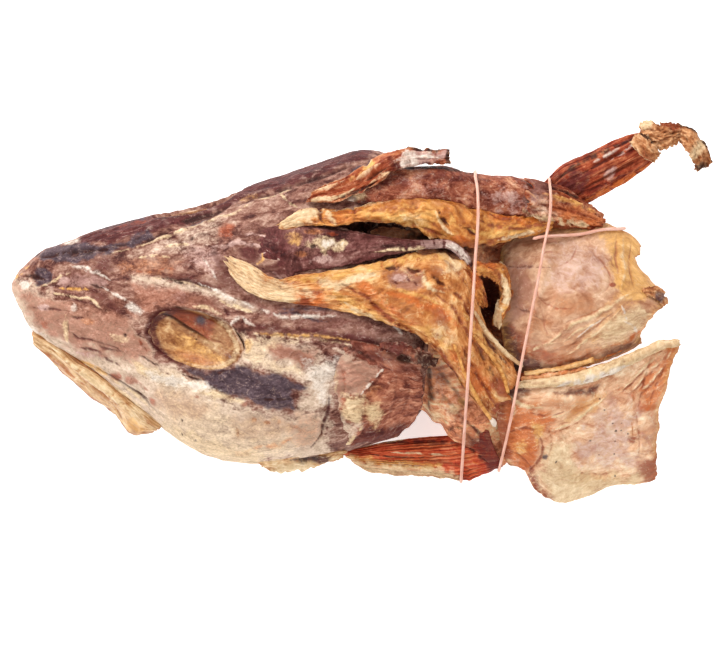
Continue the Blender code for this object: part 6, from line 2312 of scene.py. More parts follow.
    def build(self) -> list[bpy.types.Object]:
        """The roll, the lip, the frill and the shreds.

        Returns:
            The finished pieces.
        """
        rings, grain, above = self.roll.rings()
        sculpt = Sculpt(rings, 17, above)
        folds = [Fold(0.8, (22.0, 9.0)), Fold(0.3, (10.0, 4.0), True, sway=4.0), Fold(0.16, (2.4, 2.0))]
        sculpt.fold(folds, grain, 171)
        sculpt.lay(self.roll_marks())
        roll = ROLL_SKIN.dress(loft_piece(self.roll.name, rings, grain, sculpt))
        lip_folds = [Fold(1.2, (16.0, 7.0)), Fold(0.9, (14.0, 5.0), True, sway=5.0), Fold(0.25, (5.0, 2.4))]
        golden = self.lip.build(GOLD_FLESH, lip_folds, self.lip_marks(),
                                [(Tone.RUST, 0.7, 0.4), (Tone.GOLD, 2.0, 0.4)])
        frill_folds = [Fold(1.4, (22.0, 4.5), True, sway=2.0), Fold(0.4, (12.0, 2.4), True, sway=1.0)]
        frill = self.frill.build(TORN_SKIN, frill_folds, self.frill_marks(), [(Tone.CREAM, 0.5, 0.5)], 0.5)
        shred_folds = [Fold(1.3, (20.0, 6.0), True, sway=4.0), Fold(0.6, (10.0, 3.0), True, sway=2.0),
                       Fold(0.2, (4.0, 2.0))]
        shreds = self.shreds.build(TORN_SKIN, shred_folds, [
            Area(Tone.MAUVE, 0.9, [(70, 66), (84, 64), (92, 60), (86, 54), (70, 54)], 2.4),
            Area(Tone.MAROON, 0.7, [(84, 64), (98, 60), (108, 54), (104, 50), (94, 54), (86, 56)], 1.8),
            Area(Tone.SAND, 0.45, [(80, 56), (94, 53), (106, 50), (116, 45), (104, 42), (90, 42), (76, 46)],
                 2.4),
            Area(Tone.ORANGE, 0.75, [(88, 52), (102, 50), (114, 44), (106, 40), (90, 42)], 2.0),
            streak([(76, 46), (86, 45.4), (96, 43.6), (106, 42)], 2.2, Tone.CREAM, 0.9),
            ridge([(84, 55), (93, 52.4), (102, 49.4), (110, 45)], 1.1, 1.0, Tone.GOLD, 0.8),
            crease([(82, 51), (92, 49), (102, 46.4), (110, 43.6)], 1.0, 1.2, Tone.RUST, 1.0),
            crease([(86, 58), (95, 55.6), (103, 52)], 1.0, 1.0, Tone.UMBER, 0.8),
        ], [(Tone.RUST, 0.6, 0.7)], 0.3)
        return [roll, golden, frill, shreds]


# ---------------------------------------------------------------- flaps


@dataclass
class Flaps:
    """The two flaps of the opened collar, with the bone along the top of the lower one."""

    upper: Leaf = field(default_factory=lambda: Leaf("flap_upper", [
        [(66, 31, 41), (74, 37, 41), (84, 39.3, 40), (96, 40.5, 38.5), (112, 43.3, 35), (120, 40.8, 33.5),
         (127, 37.5, 32), (133.5, 30, 31)],
        [(65, 22, 44), (73, 26, 45), (84, 28, 46), (96, 28, 46), (109, 29, 44), (118, 28, 41),
         (124, 26, 37.5), (131, 21, 34)],
        [(65, 5, 44), (74, 8, 46.5), (84, 9, 48), (96, 9.5, 48.5), (110, 9, 47), (122, 8.5, 43.5),
         (132, 8, 39.5), (143.5, 6, 34.5)],
        [(66, -9, 42.5), (76, -7.5, 45), (86, -7.5, 46.5), (97, -7, 46.5), (110, -6.5, 45), (121, -5, 42),
         (130, -3, 38), (138, -1, 33.5)],
        [(68, -20, 40), (78, -20, 42.5), (88, -19.5, 43), (98, -18, 42.5), (109, -15.5, 41),
         (117, -13.5, 39), (125, -11, 36), (134, -5.5, 32.5)],
        [(69, -25, 37), (79, -29.5, 37), (90, -29, 36), (100, -27, 35.5), (108, -25, 34.5),
         (116, -22, 33.5), (124, -18.8, 31.5), (133, -14.5, 30.5)]],
        (220, 200), 2.0, (0.0, 0.045, 0.02, 0.03), 7.0, 51, 0.5))
    lower: Leaf = field(default_factory=lambda: Leaf("flap_lower", [
        [(64, -33, 42), (74, -32, 42.5), (86, -30.5, 42), (100, -27, 40.5), (118, -21.5, 38),
         (134, -15.5, 35), (143, -13, 33.5), (150.5, -13.5, 32)],
        [(64, -42, 40), (74, -42, 41), (86, -41, 41.5), (100, -39, 40), (116, -35.5, 37), (130, -32.5, 34),
         (139, -30.5, 31.5), (146.3, -30, 29)],
        [(64, -52, 37), (75, -52, 37.5), (86, -52, 36.5), (99, -51.5, 35), (114, -50.5, 32.5),
         (126, -49.5, 30), (134, -48, 28), (141, -46.5, 25)],
        [(66, -61, 33), (75, -62, 32.5), (85, -64, 30), (97, -64.5, 28), (112, -63.5, 26), (125, -62.5, 25),
         (133, -61.5, 23.5), (140.5, -60.5, 21)],
        [(68, -68, 28), (75, -69.5, 26.5), (83, -74, 22), (95, -77.5, 18), (111, -75, 17.5), (125, -73, 18),
         (133, -73, 18), (141, -72, 17.5)],
        [(70, -71, 25), (76, -71.8, 23), (83, -83.5, 12), (94, -90.8, 6), (108, -87, 8), (122, -81, 11),
         (130, -81.5, 12), (139.5, -79, 13)]],
        (220, 204), 2.0, (0.0, 0.03, 0.02, 0.025), 8.0, 53, 0.5))

    def upper_marks(self) -> list[Laid]:
        """The rosy middle, the golden border, and the cream veins that fan from the hinge.

        Returns:
            What is laid, first to last.
        """
        return [
            Area(Tone.LILAC, 0.5, [(88, 28), (98, 32), (108, 32.4), (115, 28), (117, 20), (114, 12),
                                   (103, 10), (92, 9), (86, 16)], 3.0),
            Area(Tone.ROSE, 0.75, [(62, 26), (78, 24), (82, 12), (79, -2), (70, -8), (60, -4)], 3.0),
            Area(Tone.MAROON, 0.8, [(58, 34), (68, 32), (69, 10), (67, -6), (58, -6)], 2.0),
            Area(Tone.AMBER, 0.5, [(90, 9), (108, 9), (110, 2), (98, -3), (88, 0)], 2.4),
            Area(Tone.AMBER, 0.55, [(79, -1), (88, -2), (88, -10), (80, -12)], 2.0),
            Area(Tone.AMBER, 0.5, [(90, -10), (100, -10), (104, -16), (98, -22), (90, -19)], 2.0),
            Area(Tone.MAROON, 0.9, [(62, -6), (69, -5), (75, -12), (78, -18), (87, -25), (92, -27),
                                    (78, -32), (62, -30)], 1.8),
            Area(Tone.RUST, 0.6, [(70, -6), (78, -8), (86, -17), (96, -22), (88, -25), (78, -18)], 1.8),
            Area(Tone.UMBER, 0.9, [(66, -22), (75, -23), (76, -28), (66, -30)], 1.4),
            Area(Tone.GOLD, 0.85, [(112, 38), (122, 42), (132, 35), (136, 28), (134, 20), (138, 12),
                                   (134, 6), (127, 5), (119, 8), (117, 16), (117, 25), (113, 32)], 2.0),
            Area(Tone.CREAM, 0.7, [(112, -7), (122, 1), (132, 4), (136, 0), (129, -8), (122, -13),
                                   (113, -16)], 2.0),
            Area(Tone.GOLD, 0.5, [(88, 40), (100, 41), (112, 43), (112, 36), (100, 36), (90, 36)], 1.6),
            Area(Tone.GOLD, 0.4, [(118, 26), (126, 22), (132, 10), (128, 2), (120, -10), (108, -16),
                                  (100, -10), (112, -2), (118, 8)], 3.0),
            Area(Tone.RUST, 0.5, [(66, 34), (78, 37), (92, 38.6), (90, 33), (78, 30), (66, 28)], 1.8),
            streak([(137, 1), (132.5, -6), (126, -11), (117, -15)], 2.0, Tone.ORANGE, 0.9),
            Area(Tone.ORANGE, 0.5, [(72, -12), (84, -16), (98, -19), (112, -15), (124, -11), (110, -21),
                                    (92, -25), (76, -20)], 2.0),
            # The maroon along the lower border is partly the maroon tissue between the flaps and partly
            # painted shade where the flap's edge overhangs.
            Area(Tone.MAROON, 0.75, [(92, -24), (104, -20.5), (114, -17), (124, -13.5), (134, -8),
                                     (138, -14), (124, -22), (108, -28), (92, -31)], 1.4),
            streak([(84, -26.6), (98, -24.6), (110, -21.4), (122, -17)], 0.9, Tone.ORANGE, 0.9),
            crease([(66, 21), (74, 21.5), (83, 21), (91, 21.6)], 0.6, 0.5, Tone.MAROON, 0.8),
            crease([(91, 21.6), (98, 25), (101, 31)], 0.5, 0.3, Tone.RUST, 0.6),
            crease([(74, 30), (80, 26), (88, 28), (97, 26.6)], 0.5, 0.3, Tone.RUST, 0.6),
            crease([(72, 4), (76, 1), (79, 0), (85, -4)], 0.6, 0.4, Tone.MAROON, 0.7),
            crease([(81, 14), (84, 6), (92, 2), (102, 3)], 0.5, 0.3, Tone.RUST, 0.7),
            crease([(104, 32), (109, 27), (115, 21), (116, 12), (110, 7)], 0.6, 0.4, Tone.RUST, 0.6),
            crease([(119, 36), (118.4, 28), (120, 18)], 0.8, 0.6, Tone.AMBER, 0.9),
            ridge([(121.4, 36), (121, 28), (122.6, 19), (121, 10)], 1.0, 0.7, Tone.CREAM, 0.6),
            crease([(126, 32), (125, 22), (127, 12)], 0.7, 0.5, Tone.AMBER, 0.8),
            Stain((117.7, 13), (2.4, 2.2), Tone.RUST, 0, 1.3),
            ridge([(126, 9), (120, 6.3), (111, -0.2), (103, -3.4), (95.4, -7.1), (90, -12), (86.8, -14.7)],
                  1.1, 0.8, Tone.CREAM, 1.0),
            ridge([(120.7, 2), (117, -3.4), (111, -8.2), (104, -13), (99.7, -17.3), (95.4, -19)], 0.9, 0.6,
                  Tone.CREAM, 0.9),
            ridge([(121.2, 4), (122.8, 0.4), (124.4, -3.4)], 0.7, 0.5, Tone.WHITE, 0.9),
            ridge([(78, -18), (86.8, -14.7), (91, -13.6)], 0.8, 0.5, Tone.CREAM, 0.9),
            ridge([(112, -2), (106, -6), (99, -9.4), (94, -13)], 0.6, 0.4, Tone.CREAM, 0.8),
            ridge([(116, -1), (108, -5.6), (101, -11.4)], 0.6, 0.4, Tone.WHITE, 0.8),
            crease([(122, 7.4), (112, 1.6), (103, -1.8), (95, -5)], 0.7, 0.5, Tone.AMBER, 0.8),
            crease([(118, 0.4), (110, -6), (102, -12), (96, -16)], 0.7, 0.5, Tone.RUST, 0.6),
            crease([(124, 2), (130, -1), (134, -2)], 0.7, 0.5, Tone.AMBER, 0.8),
            ridge([(123, -4), (127, -6), (129, -9)], 0.8, 0.6, Tone.WHITE, 0.8),
            crease([(84, 4), (85, -4), (88, -12)], 0.6, 0.4, Tone.RUST, 0.6),
        ]

    def lower_marks(self) -> list[Laid]:
        """The bone's foot, the orange lobe, the lavender middle and the folds to the corners.

        Returns:
            What is laid, first to last.
        """
        corner = [ridge([(121 + 4 * k, -37 - k), (128 + 4 * k, -30 - k), (135 + 3.4 * k, -23 - 0.5 * k),
                         (143 + 1.6 * k, -16)], 0.9, 0.8, Tone.CREAM, 0.7) for k in range(3)]
        furrows = [crease([(122.6 + 4 * k, -37 - k), (129.6 + 4 * k, -30 - k),
                           (136.6 + 3.4 * k, -23 - 0.5 * k)], 0.8, 0.7, Tone.RUST, 0.7) for k in range(3)]
        return [
            Area(Tone.LILAC, 0.6, [(109, -46), (115, -41), (126, -40), (129, -46), (128, -57), (131, -66),
                                   (130, -72), (115, -73), (103, -74), (97, -69), (100, -62), (106, -56)],
                 5.0),
            Area(Tone.ORANGE, 0.85, [(62, -40), (78, -42), (92, -48), (88, -60), (76, -56), (62, -58)],
                 2.8),
            Area(Tone.AMBER, 0.6, [(76, -38), (92, -38), (108, -38), (104, -46), (90, -46), (78, -44)],
                 2.0),
            Area(Tone.MAROON, 0.9, [(62, -30), (74, -32), (80, -36), (72, -42), (62, -42)], 1.8),
            Area(Tone.ORANGE, 1.0, [(66, -52), (73.6, -50), (80, -54), (83.5, -63), (82, -68), (79.4, -73),
                                    (73, -73), (68, -66)], 2.4, 0.7),
            Area(Tone.RUST, 0.8, [(58, -34), (67, -36), (68, -48), (68.6, -58), (71, -72), (58, -72)], 1.6),
            Area(Tone.GOLD, 0.6, [(72, -60), (77, -59), (78, -65), (74, -67)], 1.4),
            Area(Tone.ORANGE, 0.8, [(128, -36), (136, -24), (144, -16), (152, -14), (147, -30), (143, -42),
                                    (134, -46)], 2.6),
            Area(Tone.RUST, 0.3, [(131, -46), (143, -42), (142, -60), (141, -70), (131, -66)], 2.6),
            Area(Tone.ROSE, 0.45, [(132, -46), (143, -42), (143, -72), (134, -72)], 3.0),
            Area(Tone.RUST, 0.8, [(131, -67), (143, -66), (143, -80), (133, -80), (131, -73)], 1.6),
            Area(Tone.GOLD, 0.6, [(95, -73), (108, -74), (122, -75), (124, -79), (108, -83), (95, -82)],
                 2.0),
            Area(Tone.GOLD, 0.5, [(100, -40), (114, -38), (112, -44), (100, -50), (92, -52)], 1.6),
            Area(Tone.GOLD, 0.75, [(80, -51), (86, -52), (87, -58), (82, -60)], 1.2, 0.6),
            Area(Tone.CREAM, 0.8, [(86, -62), (98, -60), (102, -74), (124, -76), (134, -76), (132, -84),
                                   (96, -94), (84, -80)], 2.4),
            Area(Tone.ORANGE, 0.3, [(74, -38), (92, -37), (110, -36), (128, -30), (128, -38), (106, -46),
                                    (88, -50), (76, -48)], 2.6),
            Area(Tone.CREAM, 0.95, [(97, -92), (108, -89), (122, -83), (131, -82), (129, -78), (118, -80),
                                    (106, -85), (98, -88)], 1.4),
            streak([(80, -71), (82, -78), (85, -83), (89, -86), (95, -88)], 2.2, Tone.RUST, 1.1, 0.3),
            ridge([(78.5, -71), (80.6, -78), (84, -84), (90, -87)], 1.3, 1.0, Tone.ORANGE, 0.7),
            crease([(68, -57), (73, -54.6), (79, -53.6), (84, -58)], 0.9, 0.9, Tone.RUST, 0.9),
            crease([(84, -58), (85.6, -64), (83, -69), (80, -72)], 1.1, 1.1, Tone.RUST, 1.0),
            crease([(88, -54), (90, -60), (88, -68)], 0.9, 0.8, Tone.AMBER, 0.8),
            crease([(70, -64), (75, -66), (80, -71)], 0.7, 0.6, Tone.RUST, 0.7),
            Stain((86.4, -67), (3, 2.6), Tone.SLATE, 0, 0.9),
            ridge([(67.4, -36.2), (71.2, -40.3), (78.3, -42.7), (86, -44)], 1.0, 0.9, Tone.CREAM, 1.1),
            ridge([(71.2, -40.3), (72, -45), (71, -50)], 0.7, 0.7, Tone.CREAM, 0.9),
            ridge([(88.8, -55), (97, -51.5), (104.7, -46.8), (108.8, -43.2), (114.7, -39.7)], 0.9, 0.7,
                  Tone.CREAM, 1.0),
            ridge([(84, -49), (93, -47), (101, -43)], 0.7, 0.5, Tone.CREAM, 0.8),
            crease([(90, -56.4), (99, -52.6), (106, -48)], 0.7, 0.6, Tone.AMBER, 0.9),
            crease([(78, -46), (88, -48), (95, -45)], 0.8, 0.6, Tone.RUST, 0.8),
            Area(Tone.MAROON, 0.9, [(90, -37), (103, -35.4), (113, -33.6), (109, -38), (97, -39)], 0.9,
                 -0.8),
            Stain((102, -45), (9, 4), Tone.ORANGE, 10, 0.8),
            streak([(127.5, -34), (128.4, -44), (127.6, -52), (127.8, -59)], 0.8, Tone.AMBER, 0.9),
            Area(Tone.RUST, 1.0, [(126.4, -58), (129.4, -57.6), (129.8, -61.6), (126.4, -61.4)], 0.8),
            crease([(129, -47), (131, -56), (131, -66)], 0.8, 0.6, Tone.RUST, 0.6),
            crease([(136, -20), (133, -32), (130, -44)], 0.9, 0.7, Tone.RUST, 0.8),
            crease([(144, -18), (140, -30), (136, -42)], 0.9, 0.7, Tone.RUST, 0.7),
            crease([(100, -74), (112, -75.6), (124, -74)], 0.8, 0.6, Tone.AMBER, 0.7),
            ridge([(96, -77), (108, -79), (120, -76.4), (128, -76)], 0.9, 0.7, Tone.CREAM, 0.7),
            *[Stain(spot, (1.1, 1.0), Tone.UMBER, 0, 0.9, 0.0, 0.3) for spot in (
                (118, -51.5), (122, -51.5), (119.5, -55), (122.3, -55), (125.3, -56.5), (120, -60),
                (119.4, -66),
                (114, -45), (111.7, -40.3), (120.3, -76.1), (92, -69.7), (108, -60), (112, -66))],
            *corner, *furrows,
        ]

    def bones(self) -> list[bpy.types.Object]:
        """The pale bone, the gold strands above it and the tattered bit at the upper flap's corner.

        Returns:
            The finished pieces.
        """
        torn = [Fold(0.6, (12.0, 2.4), True, sway=2.0), Fold(0.3, (4.0, 1.2), True)]
        made = []
        for name, path, widths, thickness, folds, rims, bulge in (
            ("collar_bone", [(72, -34, 43.5), (86, -32.5, 44), (100, -31, 43), (116, -26, 40.5),
                             (132, -19, 37.5), (143, -14.5, 35), (150.5, -14, 33)],
             [(0, 1.4), (0.15, 3.6), (0.4, 6.6), (0.55, 6.2), (0.8, 4.6), (0.94, 3.4), (1, 1.2)], 2.0, torn,
             [(Tone.CREAM, 9.0, 0.8), (Tone.GOLD, 1.2, 1.1), (Tone.AMBER, 0.5, 0.9)], 1.4),
            ("strand_upper", [(76, -28.5, 43), (86, -27.3, 43), (98, -25, 42), (110, -21.5, 40.5)],
             [(0, 1), (0.3, 2.4), (0.7, 2.2), (1, 0.8)], 1.4, torn,
             [(Tone.GOLD, 2.0, 0.8), (Tone.RUST, 0.5, 0.9)], 0.8),
            ("strand_lower", [(74, -31, 43.5), (84, -29.8, 43.5), (94, -28.5, 43), (106, -26, 41.5)],
             [(0, 1), (0.3, 2.2), (0.7, 1.8), (1, 0.7)], 1.4, torn,
             [(Tone.ORANGE, 2.0, 0.7), (Tone.RUST, 0.5, 0.9)], 0.8),
        ):
            leaf = strip(name, path, widths, bulge, (130, 20), thickness, 60 + len(made), 0.12)
            made.append(leaf.build(MEMBRANE, folds, [
                Area(Tone.CREAM, 1.0, [(88, -36), (100, -35), (118, -31), (130, -22), (120, -23),
                                       (100, -29)], 1.2),
                streak([(92, -33.6), (104, -31.4), (116, -28), (126, -23.6)], 2.0, Tone.WHITE, 0.9),
                streak([(130, -20.6), (140, -16), (148, -13.6)], 2.6, Tone.ORANGE, 0.6),
            ], rims, 0.2))
        tatter = strip("flap_tatter", [(132, 11, 39), (136, 10, 39.5), (140, 8, 38.5), (143.3, 4, 36)],
                       [(0, 3), (0.4, 8), (0.8, 8), (1, 3)], 1.2, (60, 36), 1.4, 66, 0.35)
        made.append(tatter.build(TAN_FRAY, torn, [Stain((140, 8), (6, 6), Tone.SLATE, 0, 0.7)], (), 0.3))
        return made

    def build(self) -> list[bpy.types.Object]:
        """Both flaps and their bones.

        Returns:
            The finished pieces.
        """
        folds = [Fold(1.5, (40.0, 24.0)), Fold(0.35, (20.0, 8.0), True, sway=8.0), Fold(0.10, (5.0, 2.4))]
        upper = self.upper.build(FLAP_UPPER_SKIN, folds, self.upper_marks(),
                                 [(Tone.GOLD, 4.5, 0.6), (Tone.AMBER, 0.8, 0.8)])
        lower_folds = [Fold(1.7, (34.0, 22.0)), Fold(0.5, (16.0, 6.0), True, sway=7.0),
                       Fold(0.14, (4.0, 2.0))]
        lower = self.lower.build(FLAP_LOWER_SKIN, lower_folds, self.lower_marks(),
                                 [(Tone.GOLD, 3.0, 0.6), (Tone.AMBER, 0.8, 0.8)])
        return [upper, lower, *self.bones()]


# ---------------------------------------------------------------- fins, frills and membranes


@dataclass
class PectoralFin:
    """The breast fin, folded back along the belly: a sheet of fine rays."""

    rays: int = 14
    web: Leaf = field(default_factory=lambda: Leaf("pectoral_fin", [
        [(-11, -66, 16), (0, -63.4, 18), (10, -61, 19), (20, -59.4, 20), (32, -58.2, 22), (42, -57.4, 25),
         (50, -54, 31), (60, -55, 35)],
        [(-9, -66.8, 17), (2, -66.3, 19.5), (12, -65, 20.5), (22, -64.2, 21.5), (33, -63.4, 23),
         (43, -62.6, 26), (52, -61, 30.5), (62, -62, 33.5)],
        [(-7, -68, 15.5), (4, -69.5, 17.5), (14, -70.2, 18), (24, -70.6, 18.5), (35, -70.6, 20),
         (45, -70.4, 22.5), (54, -69, 26), (65, -68, 28.5)],
        [(-3.5, -70.4, 12), (4, -75, 11.5), (15, -76.8, 11.5), (28, -77.3, 12), (40, -78.2, 13),
         (50, -79.2, 15), (58, -76.5, 19), (67, -72.8, 23)]],
        (260, 140), 1.6, (0.03, 0.0, 0.02, 0.05), 4.0, 61, 0.0))

    def build(self) -> list[bpy.types.Object]:
        """The fin: each ray is the crest of a cosine across the sheet, which fades at the tip and the root.

        Returns:
            The fin, in a list of one.
        """
        points, grain, closeness = self.web.grid()
        sculpt = Sculpt(points, self.web.seed, wander=0.4)
        sway = 0.035 * fractal(grain, (70.0, 6.0, 6.0), 611, 3)
        across = np.linspace(0, 1, points.shape[0])[:, None] + sway
        along = np.linspace(0, 1, points.shape[1])[None, :]
        wave = np.cos(across * self.rays * 2 * math.pi)
        fade = smoothstep(0.0, 0.08, along) * smoothstep(1.0, 0.75, along)
        fade = fade * smoothstep(-0.5, 0.3, fractal(grain, (26.0, 2.6, 2.6), 613, 3))
        sculpt.swell(0.42 * wave * fade + 0.7 * fractal(grain, (40.0, 9.0, 9.0), 612, 2))
        sculpt.tint(Tone.RUST, smoothstep(0.1, -0.5, wave) * fade * 0.9)
        sculpt.tint(Tone.ORANGE, smoothstep(0.5, 1.0, wave) * fade * 0.55 * smoothstep(0.1, 0.4, along))
        sculpt.lay([
            Area(Tone.MAROON, 0.75, [(42, -56), (50, -52), (66, -53), (72, -66), (68, -76), (60, -74),
                                     (54, -66), (46, -61)], 1.6),
            Area(Tone.CREAM, 0.8, [(-8, -67), (6, -70.4), (20, -71.4), (34, -72.4), (44, -74), (50, -79),
                                   (30, -80), (4, -78)], 1.4),
            Area(Tone.GOLD, 0.9, [(-8, -67), (8, -68.4), (24, -69.4), (40, -71), (30, -74), (8, -72.6)],
                 1.0),
            streak([(12, -61.5), (24, -61), (36, -61), (46, -61)], 1.6, Tone.MAROON, 0.9),
            streak([(-11, -66), (0, -63.2), (10, -60.8), (20, -59.2), (32, -58)], 0.5, Tone.UMBER, 1.1),
            streak([(-8, -65.4), (4, -62.8), (16, -60.4), (30, -58.8)], 0.5, Tone.CREAM, 0.8),
            streak([(28, -68.6), (40, -70), (52, -73)], 1.2, Tone.RUST, 0.9),
            crease([(46, -58), (52, -64), (60, -70)], 1.1, 0.8, Tone.UMBER, 0.8),
            Area(Tone.UMBER, 0.3, [(46, -58), (54, -54), (64, -56), (68, -70), (60, -70), (52, -64)], 3.0),
            ridge([(44, -62), (50, -67), (58, -72)], 1.0, 0.6, Tone.ORANGE, 0.6),
            streak([(14, -65.6), (28, -66), (42, -66.4)], 0.6, Tone.CREAM, 0.9),
            streak([(4, -66.4), (16, -67.6), (30, -68)], 0.6, Tone.UMBER, 0.9),
            Stain((45, -77), (10, 4), Tone.RUST, 0, 0.8),
        ])
        thickness = self.web.thickness * (0.25 + 0.75 * np.sqrt(np.clip(closeness / 2.0, 0, 1)))
        return [FIN_SKIN.dress(shell_piece(self.web.name, points, thickness, grain, sculpt))]


@dataclass
class RolledFin:
    """The fin that dried in a roll and stands out at the back, with a frayed cuff, tip and curl."""

    tube: Sweep = field(default_factory=lambda: Sweep(
        "rolled_fin", [(90, 55, 31), (101, 61, 32.5), (112, 66.2, 33.5), (122, 71.6, 34.5), (131, 76.4, 35),
                       (136.5, 79, 35)],
        [(0, 6.5), (0.18, 9.6), (0.4, 9.6), (0.7, 9.0), (0.9, 7.6), (1, 5.5)], 0.85, (210, 146)))

    def roll(self) -> bpy.types.Object:
        """The roll, with long folds along it, painted shade along its top and painted light along its lower
        side.

        Returns:
            The finished piece.
        """
        rings, grain, facing = self.tube.rings()
        sculpt = Sculpt(rings, 63, facing, 0.4)
        folds = [Fold(0.9, (40.0, 5.0), True, sway=1.5), Fold(0.35, (24.0, 2.2), True),
                 Fold(0.1, (5.0, 1.0))]
        sculpt.fold(folds, grain, 631)
        sculpt.lay([
            # The umber streak along the top of the roll is painted shade.
            streak([(92, 62), (102, 69.5), (113, 74.5), (124, 80), (132, 83)], 1.4, Tone.UMBER, 0.9),
            Area(Tone.MAROON, 0.8, [(88, 52), (90, 62), (100, 68), (108, 66), (104, 58), (96, 52)], 2.0),
            crease([(98, 62), (108, 68), (118, 73), (128, 79)], 0.8, 1.2, Tone.MAROON, 0.8),
            crease([(104, 58), (114, 63), (124, 68.5), (132, 73)], 1.0, 1.2, Tone.RUST, 0.9),
            # The orange streak along the lower side is partly the fin's own orange and partly painted
            # light.
            streak([(104, 53), (112, 56.5), (122, 61.6), (132, 67.6), (138, 72)], 1.8, Tone.ORANGE, 1.0),
            crease([(106, 56.6), (116, 61.4), (128, 67.6)], 0.8, 0.8, Tone.MAROON, 0.7),
            ridge([(108, 70), (114, 73), (122, 77.4)], 0.6, 0.6, Tone.WHITE, 0.8),
            ridge([(116, 71), (122, 74.6), (128, 78)], 0.6, 0.5, Tone.LILAC, 0.8),
            ridge([(122, 75.4), (127, 78), (131, 80.6)], 0.6, 0.5, Tone.WHITE, 0.8),
            Stain((117, 65.5), (7.4, 4.6), Tone.LILAC, 45, 1.2, 0.3, 0.3),
            crease([(113, 63.6), (116, 68.4), (120, 69.4)], 0.5, 0.3, Tone.MAROON, 0.6),
        ])
        return TUBE_SKIN.dress(loft_piece(self.tube.name, rings, grain, sculpt))

    def tatters(self) -> list[bpy.types.Object]:
        """The cuff round the roll's mouth, the torn tip and the curl that hangs from it.

        Returns:
            The finished pieces.
        """
        cuff = Leaf("frayed_cuff", [
            [(126.5, 80, 40), (129, 76.5, 43), (132, 73.5, 43.5), (137, 70.3, 40.5)],
            [(128.3, 82.5, 41), (131.5, 79.5, 45.5), (134.5, 76, 45.5), (138.6, 72.5, 41.5)],
            [(131, 84.6, 39), (135.5, 82.2, 43.5), (137.6, 79, 43.5), (139.6, 75, 39.5)]],
            (90, 62), 1.2, (0.06, 0.06, 0.14, 0.14), 2.4, 64, 0.4)
        tip = Leaf("frayed_tip", [
            [(131, 84, 37), (132.5, 91, 38), (138, 88.3, 39), (142.5, 89.4, 38.5), (149, 87.6, 36.5),
             (153, 86.2, 35)],
            [(132, 81.5, 39), (135, 84.5, 42.5), (139.5, 84.5, 43), (143.5, 85, 42.5), (149, 85.2, 39),
             (153, 85, 36)],
            [(133, 79.5, 39), (137, 80, 42), (141.5, 80, 42.5), (145, 81.5, 42), (149.5, 83.4, 38.5),
             (153, 84, 36)],
            [(134.5, 78, 37), (139, 75.8, 38), (143.5, 76, 39), (146.8, 79, 39), (149.6, 81.6, 37),
             (153, 83, 35.5)]],
            (112, 76), 1.2, (0.08, 0.0, 0.14, 0.2), 2.0, 65, 0.5)
        curl = Leaf("frayed_curl", [
            [(148.5, 87.4, 36), (154.5, 85.6, 36), (159, 81.6, 34.5), (162.3, 76, 32.5), (164.8, 70.6, 30)],
            [(148.5, 85.5, 38), (153.5, 83.6, 39.5), (157.4, 79.6, 38.5), (160.6, 74.5, 36),
             (162, 69, 31.5)],
            [(148.5, 83.5, 38), (152, 81.4, 39.5), (155, 77.4, 39.5), (158, 72, 37), (159.4, 67.4, 32)],
            [(149, 82, 36), (151.4, 80, 37), (153.4, 76, 37.5), (155.8, 71.6, 35), (157, 68.2, 31.5)]],
            (104, 70), 1.3, (0.0, 0.05, 0.06, 0.2), 2.4, 67, 0.5)
        folds = [Fold(1.1, (7.0, 2.6), True, sway=2.0), Fold(0.5, (3.4, 1.4), True)]
        return [
            cuff.build(TAN_FRAY, folds, [
                crease([(131, 83.5), (134.5, 81.2), (137.5, 79)], 1.4, 1.4, Tone.UMBER, 1.3),
                Stain((134, 74), (8, 4), Tone.RUST, -30, 0.6)], [(Tone.CREAM, 0.7, 0.8)], 0.3),
            tip.build(TAN_FRAY, folds, [
                Stain((145, 87), (14, 4), Tone.RUST, -10, 1.0),
                Stain((143, 89), (12, 3), Tone.UMBER, 0, 0.9),
                Stain((134, 88), (5, 7), Tone.CREAM, 0, 0.9)], [(Tone.CREAM, 0.6, 0.5)], 0.3),
            curl.build(TAN_FRAY, folds, [
                streak([(150, 87), (156, 84.6), (160.5, 79.4), (164, 72)], 1.5, Tone.UMBER, 1.3, 0.2),
                Stain((157, 76), (5, 12), Tone.CREAM, -25, 0.7),
                Stain((159, 70), (6, 5), Tone.UMBER, 0, 0.9)], (), 0.3),
        ]

    def build(self) -> list[bpy.types.Object]:
        """The roll and its tatters."""
        return [self.roll(), *self.tatters()]


